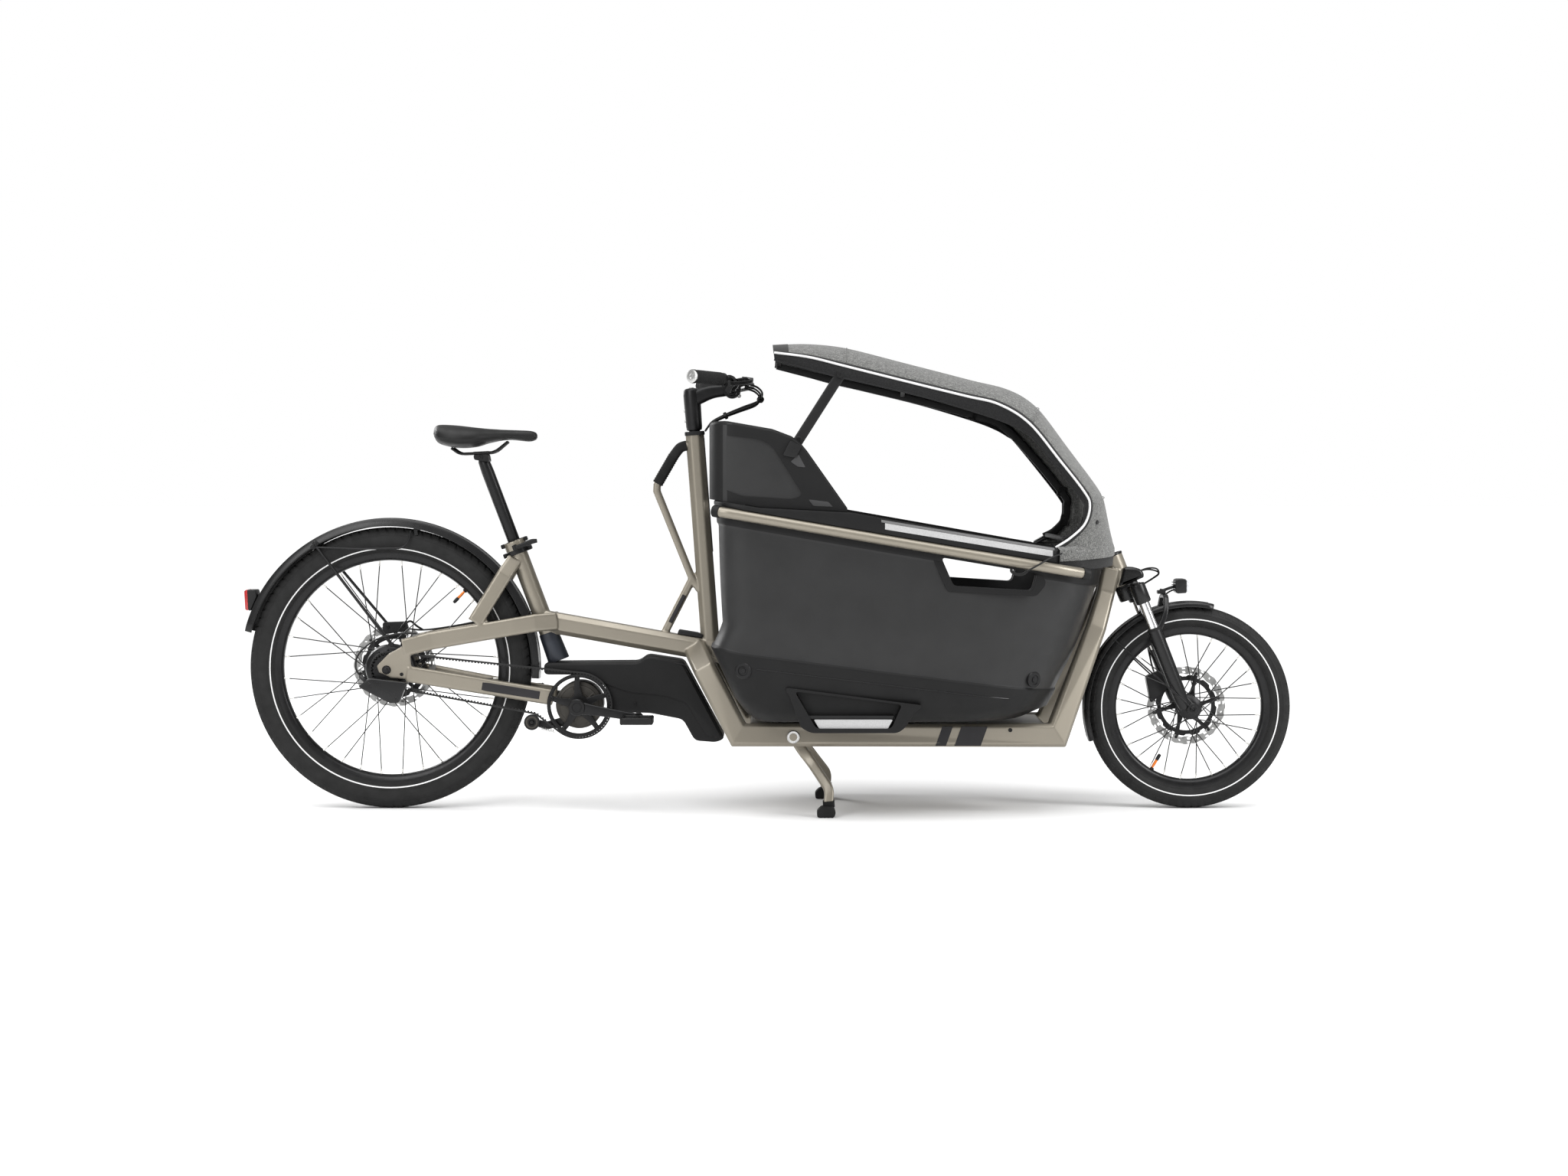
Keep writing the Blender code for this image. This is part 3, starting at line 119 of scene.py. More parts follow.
def filleted(points, radius, count=5):
    """Straight runs with their corners rounded, each by up to the given radius."""
    points = [Vector(p) for p in points]
    line = [points[0]]
    for a, b, c in zip(points, points[1:], points[2:]):
        reach = min(radius, (b - a).length * 0.45, (c - b).length * 0.45)
        start, stop = b + (a - b).normalized() * reach, b + (c - b).normalized() * reach
        for i in range(count + 1):
            t = i / count
            line.append(start * (1 - t) ** 2 + b * (2 * t * (1 - t)) + stop * t * t)
    return line + [points[-1]]


def rounded_loop(outline, radius, count=4):
    """A closed outline of (x, z) points with its corners rounded."""
    line = []
    for i, point in enumerate(outline):
        a, b, c = Vector(outline[i - 1]), Vector(point), Vector(outline[(i + 1) % len(outline)])
        reach = min(radius, (b - a).length * 0.45, (c - b).length * 0.45)
        start, stop = b + (a - b).normalized() * reach, b + (c - b).normalized() * reach
        for j in range(count + 1):
            t = j / count
            line.append(tuple(start * (1 - t) ** 2 + b * (2 * t * (1 - t)) + stop * t * t))
    return line


def shrunk(outline, distance):
    """A closed outline of (x, z) points moved inwards."""
    area = sum(a[0] * b[1] - b[0] * a[1] for a, b in zip(outline, outline[1:] + outline[:1]))
    turn = 1 if area > 0 else -1
    line = []
    for i, point in enumerate(outline):
        before = Vector(point) - Vector(outline[i - 1])
        after = Vector(outline[(i + 1) % len(outline)]) - Vector(point)
        first = Vector((-before.y, before.x)).normalized() * turn
        second = Vector((-after.y, after.x)).normalized() * turn
        middle = (first + second).normalized()
        line.append(tuple(Vector(point) + middle * distance / max(middle.dot(first), 0.3)))
    return line


def round_section(width, height=None, count=20):
    height = height or width
    return [(width / 2 * cos(2 * pi * i / count),
             height / 2 * sin(2 * pi * i / count)) for i in range(count)]


def soft_section(width, height, radius, count=4):
    """Rectangle with round corners."""
    corners = [(-width / 2, -height / 2), (width / 2, -height / 2), (width / 2, height / 2),
               (-width / 2, height / 2)]
    return rounded_loop(corners, radius, count)


def skin(bm, rings, closed=False, loop=True):
    """Faces between neighbouring rings of vertices."""
    pairs = list(zip(rings, rings[1:])) + ([(rings[-1], rings[0])] if closed else [])
    for low, high in pairs:
        for j in range(len(low) if loop else len(low) - 1):
            k = (j + 1) % len(low)
            bm.faces.new((low[j], low[k], high[k], high[j]))
    if loop and not closed:
        bm.faces.new(rings[0])
        bm.faces.new(rings[-1])


def sweep(bm, path, section, side=(0, 1, 0), scales=None, closed=False):
    """Run a section along a path.  Its first axis lies along side."""
    points = [Vector(p) for p in path]
    count = len(points)
    rings = []
    for i, point in enumerate(points):
        before = points[i - 1] if (i > 0 or closed) else None
        after = points[(i + 1) % count] if (i < count - 1 or closed) else None
        run_in = (point - before).normalized() if before is not None else (after - point).normalized()
        run_out = (after - point).normalized() if after is not None else run_in
        plane = (run_in + run_out).normalized()
        across = Vector(side) - run_in * Vector(side).dot(run_in)
        across.normalize()
        upward = run_in.cross(across)
        grow = scales[i] if scales else (1, 1)
        ring = []
        for u, v in section:
            spot = point + across * u * grow[0] + upward * v * grow[1]
            spot -= run_in * ((spot - point).dot(plane) / run_in.dot(plane))
            ring.append(bm.verts.new(spot))
        rings.append(ring)
    skin(bm, rings, closed=closed)


def lathe(bm, profile, centre, axis=(0, 1, 0), steps=48, closed=False):
    """Turn a profile of (along, radius) about an axis."""
    axis = Vector(axis).normalized()
    first = axis.orthogonal().normalized()
    second = axis.cross(first)
    spokes = [first * cos(2 * pi * i / steps) + second * sin(2 * pi * i / steps) for i in range(steps)]
    rings = [[bm.verts.new(Vector(centre) + axis * along + out * max(radius, 1e-5)) for out in spokes]
             for along, radius in profile]
    skin(bm, rings, closed=closed)


def slab(bm, outline, y_low, y_high):
    """Extrude a closed outline of (x, z) points from one y to another."""
    rings = [[bm.verts.new((x, y, z)) for x, z in outline] for y in (y_low, y_high)]
    skin(bm, rings)


def soften(bm, width, segments=2, angle=32):
    """Round every edge that is sharper than the angle."""
    bmesh.ops.recalc_face_normals(bm, faces=bm.faces)
    edges = [e for e in bm.edges if len(e.link_faces) == 2 and e.calc_face_angle(0) > radians(angle)]
    bmesh.ops.bevel(bm, geom=edges, offset=width, segments=segments, profile=0.6, affect="EDGES",
                    clamp_overlap=True)


def bolt(bm, centre, axis, radius, height, steps=20):
    """Round-headed screw with a hexagonal socket."""
    lathe(bm, [(0, radius), (height * 0.7, radius), (height, radius * 0.8), (height, radius * 0.5),
               (height * 0.45, radius * 0.42), (height * 0.45, 0)], centre, axis, steps)


def new_object(name, bm, sharp=38):
    bmesh.ops.recalc_face_normals(bm, faces=bm.faces)
    mesh = bpy.data.meshes.new(name)
    bm.to_mesh(mesh)
    bm.free()
    mesh.shade_smooth()
    mesh.set_sharp_from_angle(angle=radians(sharp))
    obj = bpy.data.objects.new(name, mesh)
    bpy.context.scene.collection.objects.link(obj)
    return obj


def dress(obj, material, body, replaces=()):
    """Give a piece its material and body, and hide the CAD nodes it stands for."""
    obj.data.materials.clear()
    obj.data.materials.append(material)
    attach(obj, body)
    if replaces:
        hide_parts(*replaces)
    return obj


def piece(name, bm, material, body="root", replaces=(), sharp=38):
    return dress(new_object(name, bm, sharp), material, body, replaces)


def applied(obj):
    """The object's mesh with its modifiers, put in place of its own."""
    bpy.context.view_layer.update()
    shaped = obj.evaluated_get(bpy.context.evaluated_depsgraph_get())
    mesh = bpy.data.meshes.new_from_object(shaped)
    obj.modifiers.clear()
    obj.data = mesh
    return obj


def shade_again(obj, sharp):
    """Smooth shading for a mesh that was cut, with the edges over the angle kept sharp."""
    obj.data.shade_smooth()
    obj.data.set_sharp_from_angle(angle=radians(sharp))


def cut(obj, bm):
    """Take away from a piece what a bmesh covers."""
    cutter = new_object("cutter", bm)
    modifier = obj.modifiers.new("cut", "BOOLEAN")
    modifier.operation = "DIFFERENCE"
    modifier.object = cutter
    applied(obj)
    bpy.data.objects.remove(cutter, do_unlink=True)
    return obj


def fused(name, nodes, voxel=0.0022, rounds=4, swell=0.0004):
    """One welded surface over several touching CAD nodes, with softly rounded joints."""
    bm = bmesh.new()
    for node in nodes:
        bm.from_mesh(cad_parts[node].data)
    bmesh.ops.remove_doubles(bm, verts=bm.verts, dist=0.00002)
    obj = new_object(name, bm)
    spread = obj.modifiers.new("swell", "DISPLACE")
    spread.strength = swell
    spread.mid_level = 0
    remesh = obj.modifiers.new("remesh", "REMESH")
    remesh.mode = "VOXEL"
    remesh.voxel_size = voxel
    smooth = obj.modifiers.new("smooth", "SMOOTH")
    smooth.iterations = rounds
    smooth.factor = 0.5
    thin = obj.modifiers.new("thin", "DECIMATE")
    thin.ratio = 0.45
    applied(obj)
    obj.data.shade_smooth()
    return obj


# Materials --------------------------------------------------------------------------------------
class Finish:
    """Principled material with procedural detail, laid out in metres of object space."""

    def __init__(self, name, colour, roughness, metallic=0.0, **sockets):
        self.material = bpy.data.materials.new(name)
        self.material.use_nodes = True
        self.tree = self.material.node_tree
        self.shader = self.tree.nodes["Principled BSDF"]
        self.shader.inputs["Base Color"].default_value = (*colour, 1)
        self.shader.inputs["Roughness"].default_value = roughness
        self.shader.inputs["Metallic"].default_value = metallic
        for socket, value in sockets.items():
            self.shader.inputs[socket.replace("_", " ")].default_value = value
        self.place = self.tree.nodes.new("ShaderNodeTexCoord").outputs["Object"]
        self.normal = None

    def add(self, kind, **settings):
        node = self.tree.nodes.new(kind)
        for key, value in settings.items():
            setattr(node, key, value)
        return node

    def stretched(self, stretch):
        mapping = self.add("ShaderNodeMapping")
        mapping.inputs["Scale"].default_value = stretch
        self.tree.links.new(self.place, mapping.inputs["Vector"])
        return mapping.outputs["Vector"]

    def noise(self, scale, detail=3.0, stretch=(1, 1, 1)):
        node = self.add("ShaderNodeTexNoise")
        node.inputs["Scale"].default_value = scale
        node.inputs["Detail"].default_value = detail
        self.tree.links.new(self.stretched(stretch), node.inputs["Vector"])
        return node.outputs["Fac"]

    def cells(self, scale):
        node = self.add("ShaderNodeTexVoronoi")
        node.inputs["Scale"].default_value = scale
        self.tree.links.new(self.place, node.inputs["Vector"])
        return node.outputs["Distance"]

    def bands(self, scale, direction, distortion=0.0):
        node = self.add("ShaderNodeTexWave", bands_direction=direction)
        node.inputs["Scale"].default_value = scale
        node.inputs["Distortion"].default_value = distortion
        self.tree.links.new(self.place, node.inputs["Vector"])
        return node.outputs["Fac"]

    def join(self, operation, first, second):
        node = self.add("ShaderNodeMath", operation=operation)
        for value, socket in zip((first, second), node.inputs):
            if isinstance(value, (int, float)):
                socket.default_value = value
            else:
                self.tree.links.new(value, socket)
        return node.outputs[0]

    def tint(self, factor, stops):
        """Colours along a ramp: (position, (r, g, b)) stops."""
        ramp = self.add("ShaderNodeValToRGB")
        elements = ramp.color_ramp.elements
        while len(elements) < len(stops):
            elements.new(0.5)
        for element, (position, colour) in zip(elements, stops):
            element.position = position
            element.color = (*colour, 1)
        self.tree.links.new(factor, ramp.inputs[0])
        self.tree.links.new(ramp.outputs[0], self.shader.inputs["Base Color"])
        return self

    def rough(self, factor, low, high):
        spread = self.add("ShaderNodeMapRange")
        spread.inputs["From Min"].default_value = 0.3
        spread.inputs["From Max"].default_value = 0.7
        spread.inputs["To Min"].default_value = low
        spread.inputs["To Max"].default_value = high
        self.tree.links.new(factor, spread.inputs["Value"])
        self.tree.links.new(spread.outputs[0], self.shader.inputs["Roughness"])
        return self

    def bump(self, factor, height, strength=1.0):
        node = self.add("ShaderNodeBump")
        node.inputs["Distance"].default_value = height
        node.inputs["Strength"].default_value = strength
        self.tree.links.new(factor, node.inputs["Height"])
        if self.normal is not None:
            self.tree.links.new(self.normal, node.inputs["Normal"])
        self.normal = node.outputs["Normal"]
        self.tree.links.new(self.normal, self.shader.inputs["Normal"])
        return self


def toned(colour, low, high):
    return [(0.3, tuple(c * low for c in colour)), (0.7, tuple(c * high for c in colour))]


def frame_paint():
    """Champagne metallic paint: fine flakes, a faint orange peel and a satin clear coat."""
    colour = (0.262, 0.236, 0.19)
    paint = Finish("frame_paint", colour, 0.36, 0.55, Coat_Weight=0.3, Coat_Roughness=0.2)
    paint.tint(paint.noise(2600, 2), toned(colour, 0.86, 1.12))
    paint.rough(paint.noise(9, 4), 0.32, 0.42)
    return paint.bump(paint.noise(320, 2), 0.00006, 0.5).material


def moulded(name, colour, roughness, grain=900, height=0.0001, shine=0.3):
    """Moulded plastic with an even fine grain and slightly uneven gloss."""
    plastic = Finish(name, colour, roughness, Specular_IOR_Level=shine)
    plastic.tint(plastic.noise(14, 5), toned(colour, 0.9, 1.12))
    plastic.rough(plastic.noise(22, 4), roughness - 0.05, roughness + 0.06)
    return plastic.bump(plastic.noise(grain, 3), height, 0.6).material


def anodised(name, colour, roughness, metallic=0.6):
    metal = Finish(name, colour, roughness, metallic)
    metal.tint(metal.noise(40, 4), toned(colour, 0.85, 1.15))
    metal.rough(metal.noise(60, 4), roughness - 0.05, roughness + 0.07)
    return metal.bump(metal.noise(1600, 2), 0.00004, 0.5).material


def brushed(name, colour, roughness):
    metal = Finish(name, colour, roughness, 1.0)
    metal.tint(metal.noise(300, 3, (1, 0.2, 1)), toned(colour, 0.82, 1.1))
    return metal.rough(metal.noise(500, 3), roughness - 0.07, roughness + 0.1).material


def rubber(name, colour, roughness, grain=700):
    soft = Finish(name, colour, roughness, Specular_IOR_Level=0.25)
    soft.tint(soft.noise(30, 5), toned(colour, 0.8, 1.25))
    soft.rough(soft.noise(50, 3), roughness - 0.07, roughness + 0.07)
    return soft.bump(soft.noise(grain, 4), 0.00012, 0.7).material


def leather(name, colour):
    """Coated saddle cover: fine irregular cells with a soft shine."""
    cover = Finish(name, colour, 0.5, Specular_IOR_Level=0.32)
    cover.tint(cover.noise(60, 4), toned(colour, 0.85, 1.2))
    cover.rough(cover.noise(35, 3), 0.42, 0.56)
    return cover.bump(cover.cells(720), 0.00016, 0.7).material


def melange():
    """Grey outdoor fabric woven from mixed dark and light yarns."""
    cloth = Finish("canopy_fabric", (0.25, 0.25, 0.24), 0.92, Sheen_Weight=0.25, Sheen_Roughness=0.5,
                   Specular_IOR_Level=0.2)
    yarns = cloth.join("ADD", cloth.noise(420, 3, (0.35, 1, 1)), cloth.noise(640, 2, (1, 0.35, 0.6)))
    patches = cloth.join("MULTIPLY", cloth.noise(150, 3, (0.6, 1, 1)), 0.3)
    mixed = cloth.join("MULTIPLY", cloth.join("ADD", yarns, patches), 0.72)
    cloth.tint(mixed, [(0.62, (0.04, 0.04, 0.039)), (0.84, (0.125, 0.126, 0.121)),
                       (1.0, (0.235, 0.236, 0.226))])
    weave = cloth.join("MULTIPLY", cloth.bands(330, "X", 0.4), cloth.bands(330, "Y", 0.4))
    return cloth.bump(weave, 0.0003, 0.7).bump(yarns, 0.0004, 0.5).material


def woven(name, colour, pitch=260):
    """Plain dark weave for bindings, mesh and cushions."""
    cloth = Finish(name, colour, 0.88, Sheen_Weight=0.15, Sheen_Roughness=0.5, Specular_IOR_Level=0.25)
    cloth.tint(cloth.noise(380, 3), toned(colour, 0.6, 1.5))
    weave = cloth.join("MULTIPLY", cloth.bands(pitch, "X", 0.2), cloth.bands(pitch, "Z", 0.2))
    return cloth.bump(weave, 0.0004, 0.8).material


def reflector(name, colour, roughness=0.35):
    """Reflective film with tiny cells."""
    film = Finish(name, colour, roughness, Coat_Weight=0.4, Coat_Roughness=0.1)
    film.tint(film.cells(420), [(0.0, colour), (0.7, tuple(c * 0.8 for c in colour))])
    return film.bump(film.cells(420), 0.0002, 0.5).material


def lens(name, colour, roughness=0.12):
    """Ribbed coloured lens over a bright reflector."""
    glass = Finish(name, colour, roughness, Coat_Weight=0.8, Coat_Roughness=0.05)
    glass.tint(glass.cells(260), [(0.0, tuple(c * 1.25 for c in colour)),
                                  (0.8, tuple(c * 0.7 for c in colour))])
    return glass.bump(glass.cells(260), 0.0004, 0.6).material


PAINT = frame_paint()
FOOT_PAINT = anodised("foot_paint", (0.026, 0.03, 0.04), 0.36, 0.3)
BOX = moulded("box_shell", (0.0165, 0.0165, 0.0168), 0.46, 1100, 0.0001, 0.34)
BOX_TRIM = moulded("box_trim", (0.0075, 0.0075, 0.0077), 0.52, 1100, 0.0001, 0.22)
PLASTIC = moulded("black_plastic", (0.0085, 0.0085, 0.0088), 0.44, 1300, 0.00006, 0.28)
GLOSS = moulded("satin_plastic", (0.0075, 0.0075, 0.0078), 0.27, 1500, 0.00003, 0.36)
INSERT = moulded("grey_insert", (0.042, 0.042, 0.043), 0.55, 700, 0.00012)
METAL = anodised("black_metal", (0.013, 0.013, 0.0135), 0.34)
RIM_METAL = anodised("rim_metal", (0.011, 0.011, 0.0115), 0.3, 0.5)
SPOKE = anodised("spoke_metal", (0.012, 0.012, 0.0125), 0.38, 0.3)
MOTOR = anodised("motor_metal", (0.052, 0.048, 0.042), 0.42, 0.6)
STEEL = brushed("steel", (0.62, 0.62, 0.61), 0.3)
DISC_STEEL = brushed("disc_steel", (0.34, 0.34, 0.335), 0.38)
NIPPLE = brushed("nipple_steel", (0.74, 0.73, 0.7), 0.25)
CHROME = brushed("chrome", (0.82, 0.82, 0.83), 0.12)
TYRE = rubber("tyre_rubber", (0.0125, 0.0125, 0.0125), 0.7)
RUBBER = rubber("grip_rubber", (0.0095, 0.0095, 0.0095), 0.72, 900)
BELT = rubber("belt_rubber", (0.018, 0.018, 0.018), 0.6, 1100)
CABLE = rubber("cable_jacket", (0.01, 0.01, 0.01), 0.38, 1400)
SADDLE = leather("saddle_cover", (0.006, 0.006, 0.006))
CANOPY = melange()
BINDING = woven("binding", (0.0115, 0.0115, 0.0115), 420)
MESH = woven("lining", (0.0125, 0.0125, 0.013), 190)
CUSHION = woven("cushion_fabric", (0.06, 0.061, 0.064), 300)
PIPING = reflector("piping", (0.8, 0.8, 0.8), 0.45)
STRIPE = reflector("reflective_stripe", (0.86, 0.86, 0.86), 0.4)
STRIP_WHITE = reflector("reflective_strip", (0.5, 0.5, 0.5))
STRIP_GREY = reflector("grey_strip", (0.16, 0.16, 0.16))
RED = lens("red_lens", (0.42, 0.01, 0.01))
CLEAR = lens("clear_lens", (0.72, 0.73, 0.75), 0.08)
ORANGE = anodised("orange_valve", (0.8, 0.2, 0.02), 0.35, 0.3)
DECAL = moulded("dark_patch", (0.018, 0.017, 0.019), 0.4, 900, 0.00004)
SCREEN = moulded("display_glass", (0.006, 0.006, 0.007), 0.08, 900, 0.000005)


# Wheels -----------------------------------------------------------------------------------------
def polar(centre, radius, angle, y=0.0):
    return Vector((centre.x + radius * cos(angle), centre.y + y, centre.z + radius * sin(angle)))


def tyre_shape(radius, half_width, bead):
    """Half of a tyre's cross-section, from the crown to the bead, as (y, radius) points."""
    shares = [(0, 0), (0.28, 0.006), (0.56, 0.045), (0.8, 0.14), (0.95, 0.3), (1.0, 0.47),
              (0.965, 0.66), (0.86, 0.84), (0.6, 1.0)]
    points = [(half_width * w, 0, radius - (radius - bead) * h) for w, h in shares]
    return [(p.x, p.z) for p in through(points, 5)]


def width_at(shape, radius):
    """Half width of the lower sidewall at a radius."""
    for (y0, r0), (y1, r1) in zip(shape, shape[1:]):
        if r1 <= radius <= r0:
            return y0 + (y1 - y0) * (r0 - radius) / (r0 - r1)
    return shape[-1][0]


def tread_point(shape, centre, across, angle, lift):
    """Point on the tread, at a share of the half width across it."""
    half = max(y for y, _ in shape)
    wanted = abs(across) * half
    for (y0, r0), (y1, r1) in zip(shape, shape[1:]):
        if y0 <= wanted <= y1:
            radius = r0 + (r1 - r0) * (wanted - y0) / (y1 - y0)
            break
    return polar(centre, radius + lift, angle, across * half)


def tread_blocks(bm, shape, centre, count, depth):
    """Staggered blocks: square ones on the crown and long skewed ones on the shoulders."""
    turn = 2 * pi / count
    rows = [(-0.93, -0.66, 0.25, 0.18), (-0.61, -0.36, 0.5, -0.1), (-0.31, -0.04, 0.0, 0.08),
            (0.04, 0.31, 0.5, -0.08), (0.36, 0.61, 0.0, 0.1), (0.66, 0.93, 0.75, -0.18)]
    for low, high, shift, skew in rows:
        for i in range(count):
            first = turn * (i + shift)
            last = first + turn * 0.76
            corners = [(low, first), (high, first + skew * turn), (high, last + skew * turn), (low, last)]
            foot = [bm.verts.new(tread_point(shape, centre, w, a, -depth * 1.3)) for w, a in corners]
            middle_w = (low + high) / 2
            top = []
            for w, a in corners:
                w = middle_w + (w - middle_w) * 0.88
                a = (first + last) / 2 + (a - (first + last) / 2) * 0.94
                top.append(bm.verts.new(tread_point(shape, centre, w, a, 0)))
            skin(bm, [foot, top])


def tyre(name, centre, radius, half_width, bead, blocks, stripe, body):
    shape = tyre_shape(radius, half_width, bead)
    depth = 0.002
    low = [(y, r - depth * max(0.0, min(1.0, (0.97 - y / half_width) / 0.06)) * (r > radius - 0.02))
           for y, r in shape]
    inner = [(half_width * 0.48, bead), (half_width * 0.75, bead + 0.016),
             (half_width * 0.4, radius - 0.01)]
    half = low + inner
    bm = bmesh.new()
    lathe(bm, half + [(-y, r) for y, r in reversed(half[1:])], centre, steps=128, closed=True)
    tread_blocks(bm, shape, centre, blocks, depth)
    for rib in (bead + 0.004, bead + 0.0175, radius - 0.0205):
        for side in (-1, 1):
            y = width_at(shape, rib)
            ring = [((y + rise) * side, rib + shift) for rise, shift in
                    ((-0.001, -0.0009), (0.0004, -0.0005), (0.0004, 0.0005), (-0.001, 0.0009))]
            lathe(bm, ring, centre, steps=96, closed=True)
    piece(name, bm, TYRE, body, [name.replace("_casing", "")], sharp=30)
    bm = bmesh.new()
    for side in (-1, 1):
        ring = [((width_at(shape, stripe + shift) + rise) * side, stripe + shift) for rise, shift in
                ((-0.0008, -0.0016), (0.0006, -0.0014), (0.0006, 0.0014), (-0.0008, 0.0016))]
        lathe(bm, ring, centre, steps=128, closed=True)
    piece(name.replace("casing", "stripe"), bm, STRIPE, body)


def rim(name, centre, outer, inner, half_width, body):
    """Box rim with hooked edges and a shallow well."""
    half = [(half_width * 1.04, outer + 0.0014), (half_width * 1.06, outer - 0.0035),
            (half_width * 0.97, inner + 0.01), (half_width * 0.8, inner + 0.0045),
            (half_width * 0.42, inner + 0.0004), (0, inner)]
    well = [(0, outer - 0.009), (half_width * 0.5, outer - 0.008), (half_width * 0.86, outer - 0.004),
            (half_width * 0.88, outer + 0.001)]
    profile = [(-y, r) for y, r in half] + [(y, r) for y, r in reversed(half[:-1])]
    profile += [(y, r) for y, r in reversed(well)] + [(-y, r) for y, r in well[1:]]
    bm = bmesh.new()
    lathe(bm, profile, centre, steps=120, closed=True)
    piece(name, bm, RIM_METAL, body, [name.replace("_hoop", "")], sharp=50)


def spokes(name, centre, count, flange_y, flange_r, rim_r, sweep_angle, body):
    """Crossed spokes from both flanges, with a nipple each."""
    wires, nipples = bmesh.new(), bmesh.new()
    for i in range(count):
        y = flange_y if i % 2 else -flange_y
        lean = sweep_angle if (i // 2) % 2 else -sweep_angle
        at_rim = 2 * pi * (i + 0.5) / count
        start = polar(centre, flange_r, at_rim - lean, y * (1.06 if (i // 2) % 2 else 0.94))
        stop = polar(centre, rim_r + 0.002, at_rim, y * 0.1)
        sweep(wires, [start, stop], round_section(0.0027, count=8), side=(0, 1, 0.01))
        way = (stop - start).normalized()
        lathe(nipples, [(0, 0.0012), (0.001, 0.0021), (0.013, 0.0022), (0.0155, 0.0034)],
              stop - way * 0.015, way, 10)
    piece(name + "_spokes", wires, SPOKE, body)
    piece(name + "_nipples", nipples, NIPPLE, body)


def valve(name, centre, rim_r, angle, body):
    """Valve stem with its cap and nut, pointing at the hub."""
    way = -polar(Vector(), 1, angle)
    base = polar(centre, rim_r, angle)
    bm = bmesh.new()
    lathe(bm, [(-0.004, 0.003), (0.01, 0.003), (0.011, 0.0036), (0.026, 0.0036), (0.027, 0.003)],
          base, way, 14)
    piece(name + "_valve_stem", bm, ORANGE, body)
    bm = bmesh.new()
    lathe(bm, [(0.026, 0.0042), (0.03, 0.0047), (0.04, 0.0044), (0.043, 0.003)], base, way, 14)
    lathe(bm, [(0.0002, 0.0065), (0.0032, 0.0065), (0.004, 0.005)], base, way, 6)
    piece(name + "_valve_cap", bm, PLASTIC, body)


def rotor(name, centre, y, outer, node, body):
    """Slotted brake disc on a black spider with a toothed ring."""
    count, thickness = 144, 0.0018
    slots = {1: (0, 1), 2: (6,), 3: (0, 11)}
    width = 0.0205
    edges = [outer - width, outer - width * 0.86, outer - width * 0.58, outer - width * 0.36,
             outer - width * 0.14, outer]
    bm = bmesh.new()
    grid = [[bm.verts.new(polar(centre, r - (0.0011 * (1 + cos(24 * 2 * pi * i / count)) if j == 5 else 0)
                                + (0.0018 * (1 + cos(18 * 2 * pi * i / count)) if j == 0 else 0),
                                2 * pi * (i + 0.5 * j) / count, y - thickness / 2))
             for i in range(count)] for j, r in enumerate(edges)]
    for j in range(len(edges) - 1):
        for i in range(count):
            if i % 12 not in slots.get(j, ()):
                k = (i + 1) % count
                bm.faces.new((grid[j][i], grid[j][k], grid[j + 1][k], grid[j + 1][i]))
    bmesh.ops.recalc_face_normals(bm, faces=bm.faces)
    bmesh.ops.solidify(bm, geom=bm.faces[:], thickness=thickness)
    piece(name + "_disc", bm, DISC_STEEL, body, [node])
    bm = bmesh.new()
    lathe(bm, [(-0.0022, 0.018), (-0.0022, 0.03), (0.0022, 0.03), (0.0022, 0.018)],
          centre + Vector((0, y, 0)), steps=48, closed=True)
    teeth = []
    for radius, across, notch in ((outer - 0.036, -0.0013, 0), (outer - 0.022, -0.0013, 0.004),
                                  (outer - 0.022, 0.0013, 0.004), (outer - 0.036, 0.0013, 0)):
        teeth.append([bm.verts.new(polar(centre, radius - (notch if i % 8 < 3 else 0),
                                         2 * pi * i / 96, y + across)) for i in range(96)])
    skin(bm, teeth, closed=True)
    for i in range(6):
        angle = 2 * pi * i / 6
        arm = [polar(centre, 0.028, angle, y), polar(centre, 0.052, angle + 0.16, y),
               polar(centre, outer - width * 0.72, angle + 0.22, y)]
        sweep(bm, arm, soft_section(0.003, 0.011, 0.001, 2), scales=[(1, 1.5), (1, 0.8), (1, 1.15)])
        bolt(bm, polar(centre, 0.0235, angle + 0.4, y + 0.0022), (0, 1, 0), 0.0036, 0.0022, 12)
        for side in (-1, 1):
            lathe(bm, [(0.0008, 0.0052), (0.0022, 0.0052), (0.003, 0.0036)],
                  polar(centre, outer - width * 0.76, angle + 0.22, y), (0, side, 0), 14)
    piece(name + "_spider", bm, METAL, body)


def rear_hub():
    """Geared hub: smooth shell, ringed cover towards the belt and flanges for the spokes."""
    shell = [(-0.0525, 0.03), (-0.0515, 0.045), (-0.049, 0.052), (-0.0465, 0.0565), (-0.04, 0.0595),
             (-0.03, 0.061), (-0.0285, 0.0585), (-0.0225, 0.0585), (-0.021, 0.055), (-0.015, 0.0535),
             (0.015, 0.0535), (0.021, 0.055), (0.0225, 0.0585), (0.0285, 0.0585), (0.03, 0.052),
             (0.034, 0.047), (0.04, 0.032), (0.05, 0.025), (0.0515, 0.02)]
    bm = bmesh.new()
    lathe(bm, shell + [(0.0515, 0.0078), (-0.0525, 0.0078)], REAR_AXLE, steps=72, closed=True)
    for radius in (0.033, 0.0385, 0.0435):
        lathe(bm, [(-0.0528, radius - 0.0009), (-0.0536, radius), (-0.0528, radius + 0.0009),
                   (-0.05, radius)], REAR_AXLE, steps=60, closed=True)
    for i in range(12):
        bolt(bm, polar(REAR_AXLE, 0.0478, 2 * pi * i / 12, -0.0505), (0, -1, 0), 0.0028, 0.0024, 10)
    piece("rear_hub_shell", bm, METAL, "rear_wheel", ["rear_hub", "rear_spokes"], sharp=28)


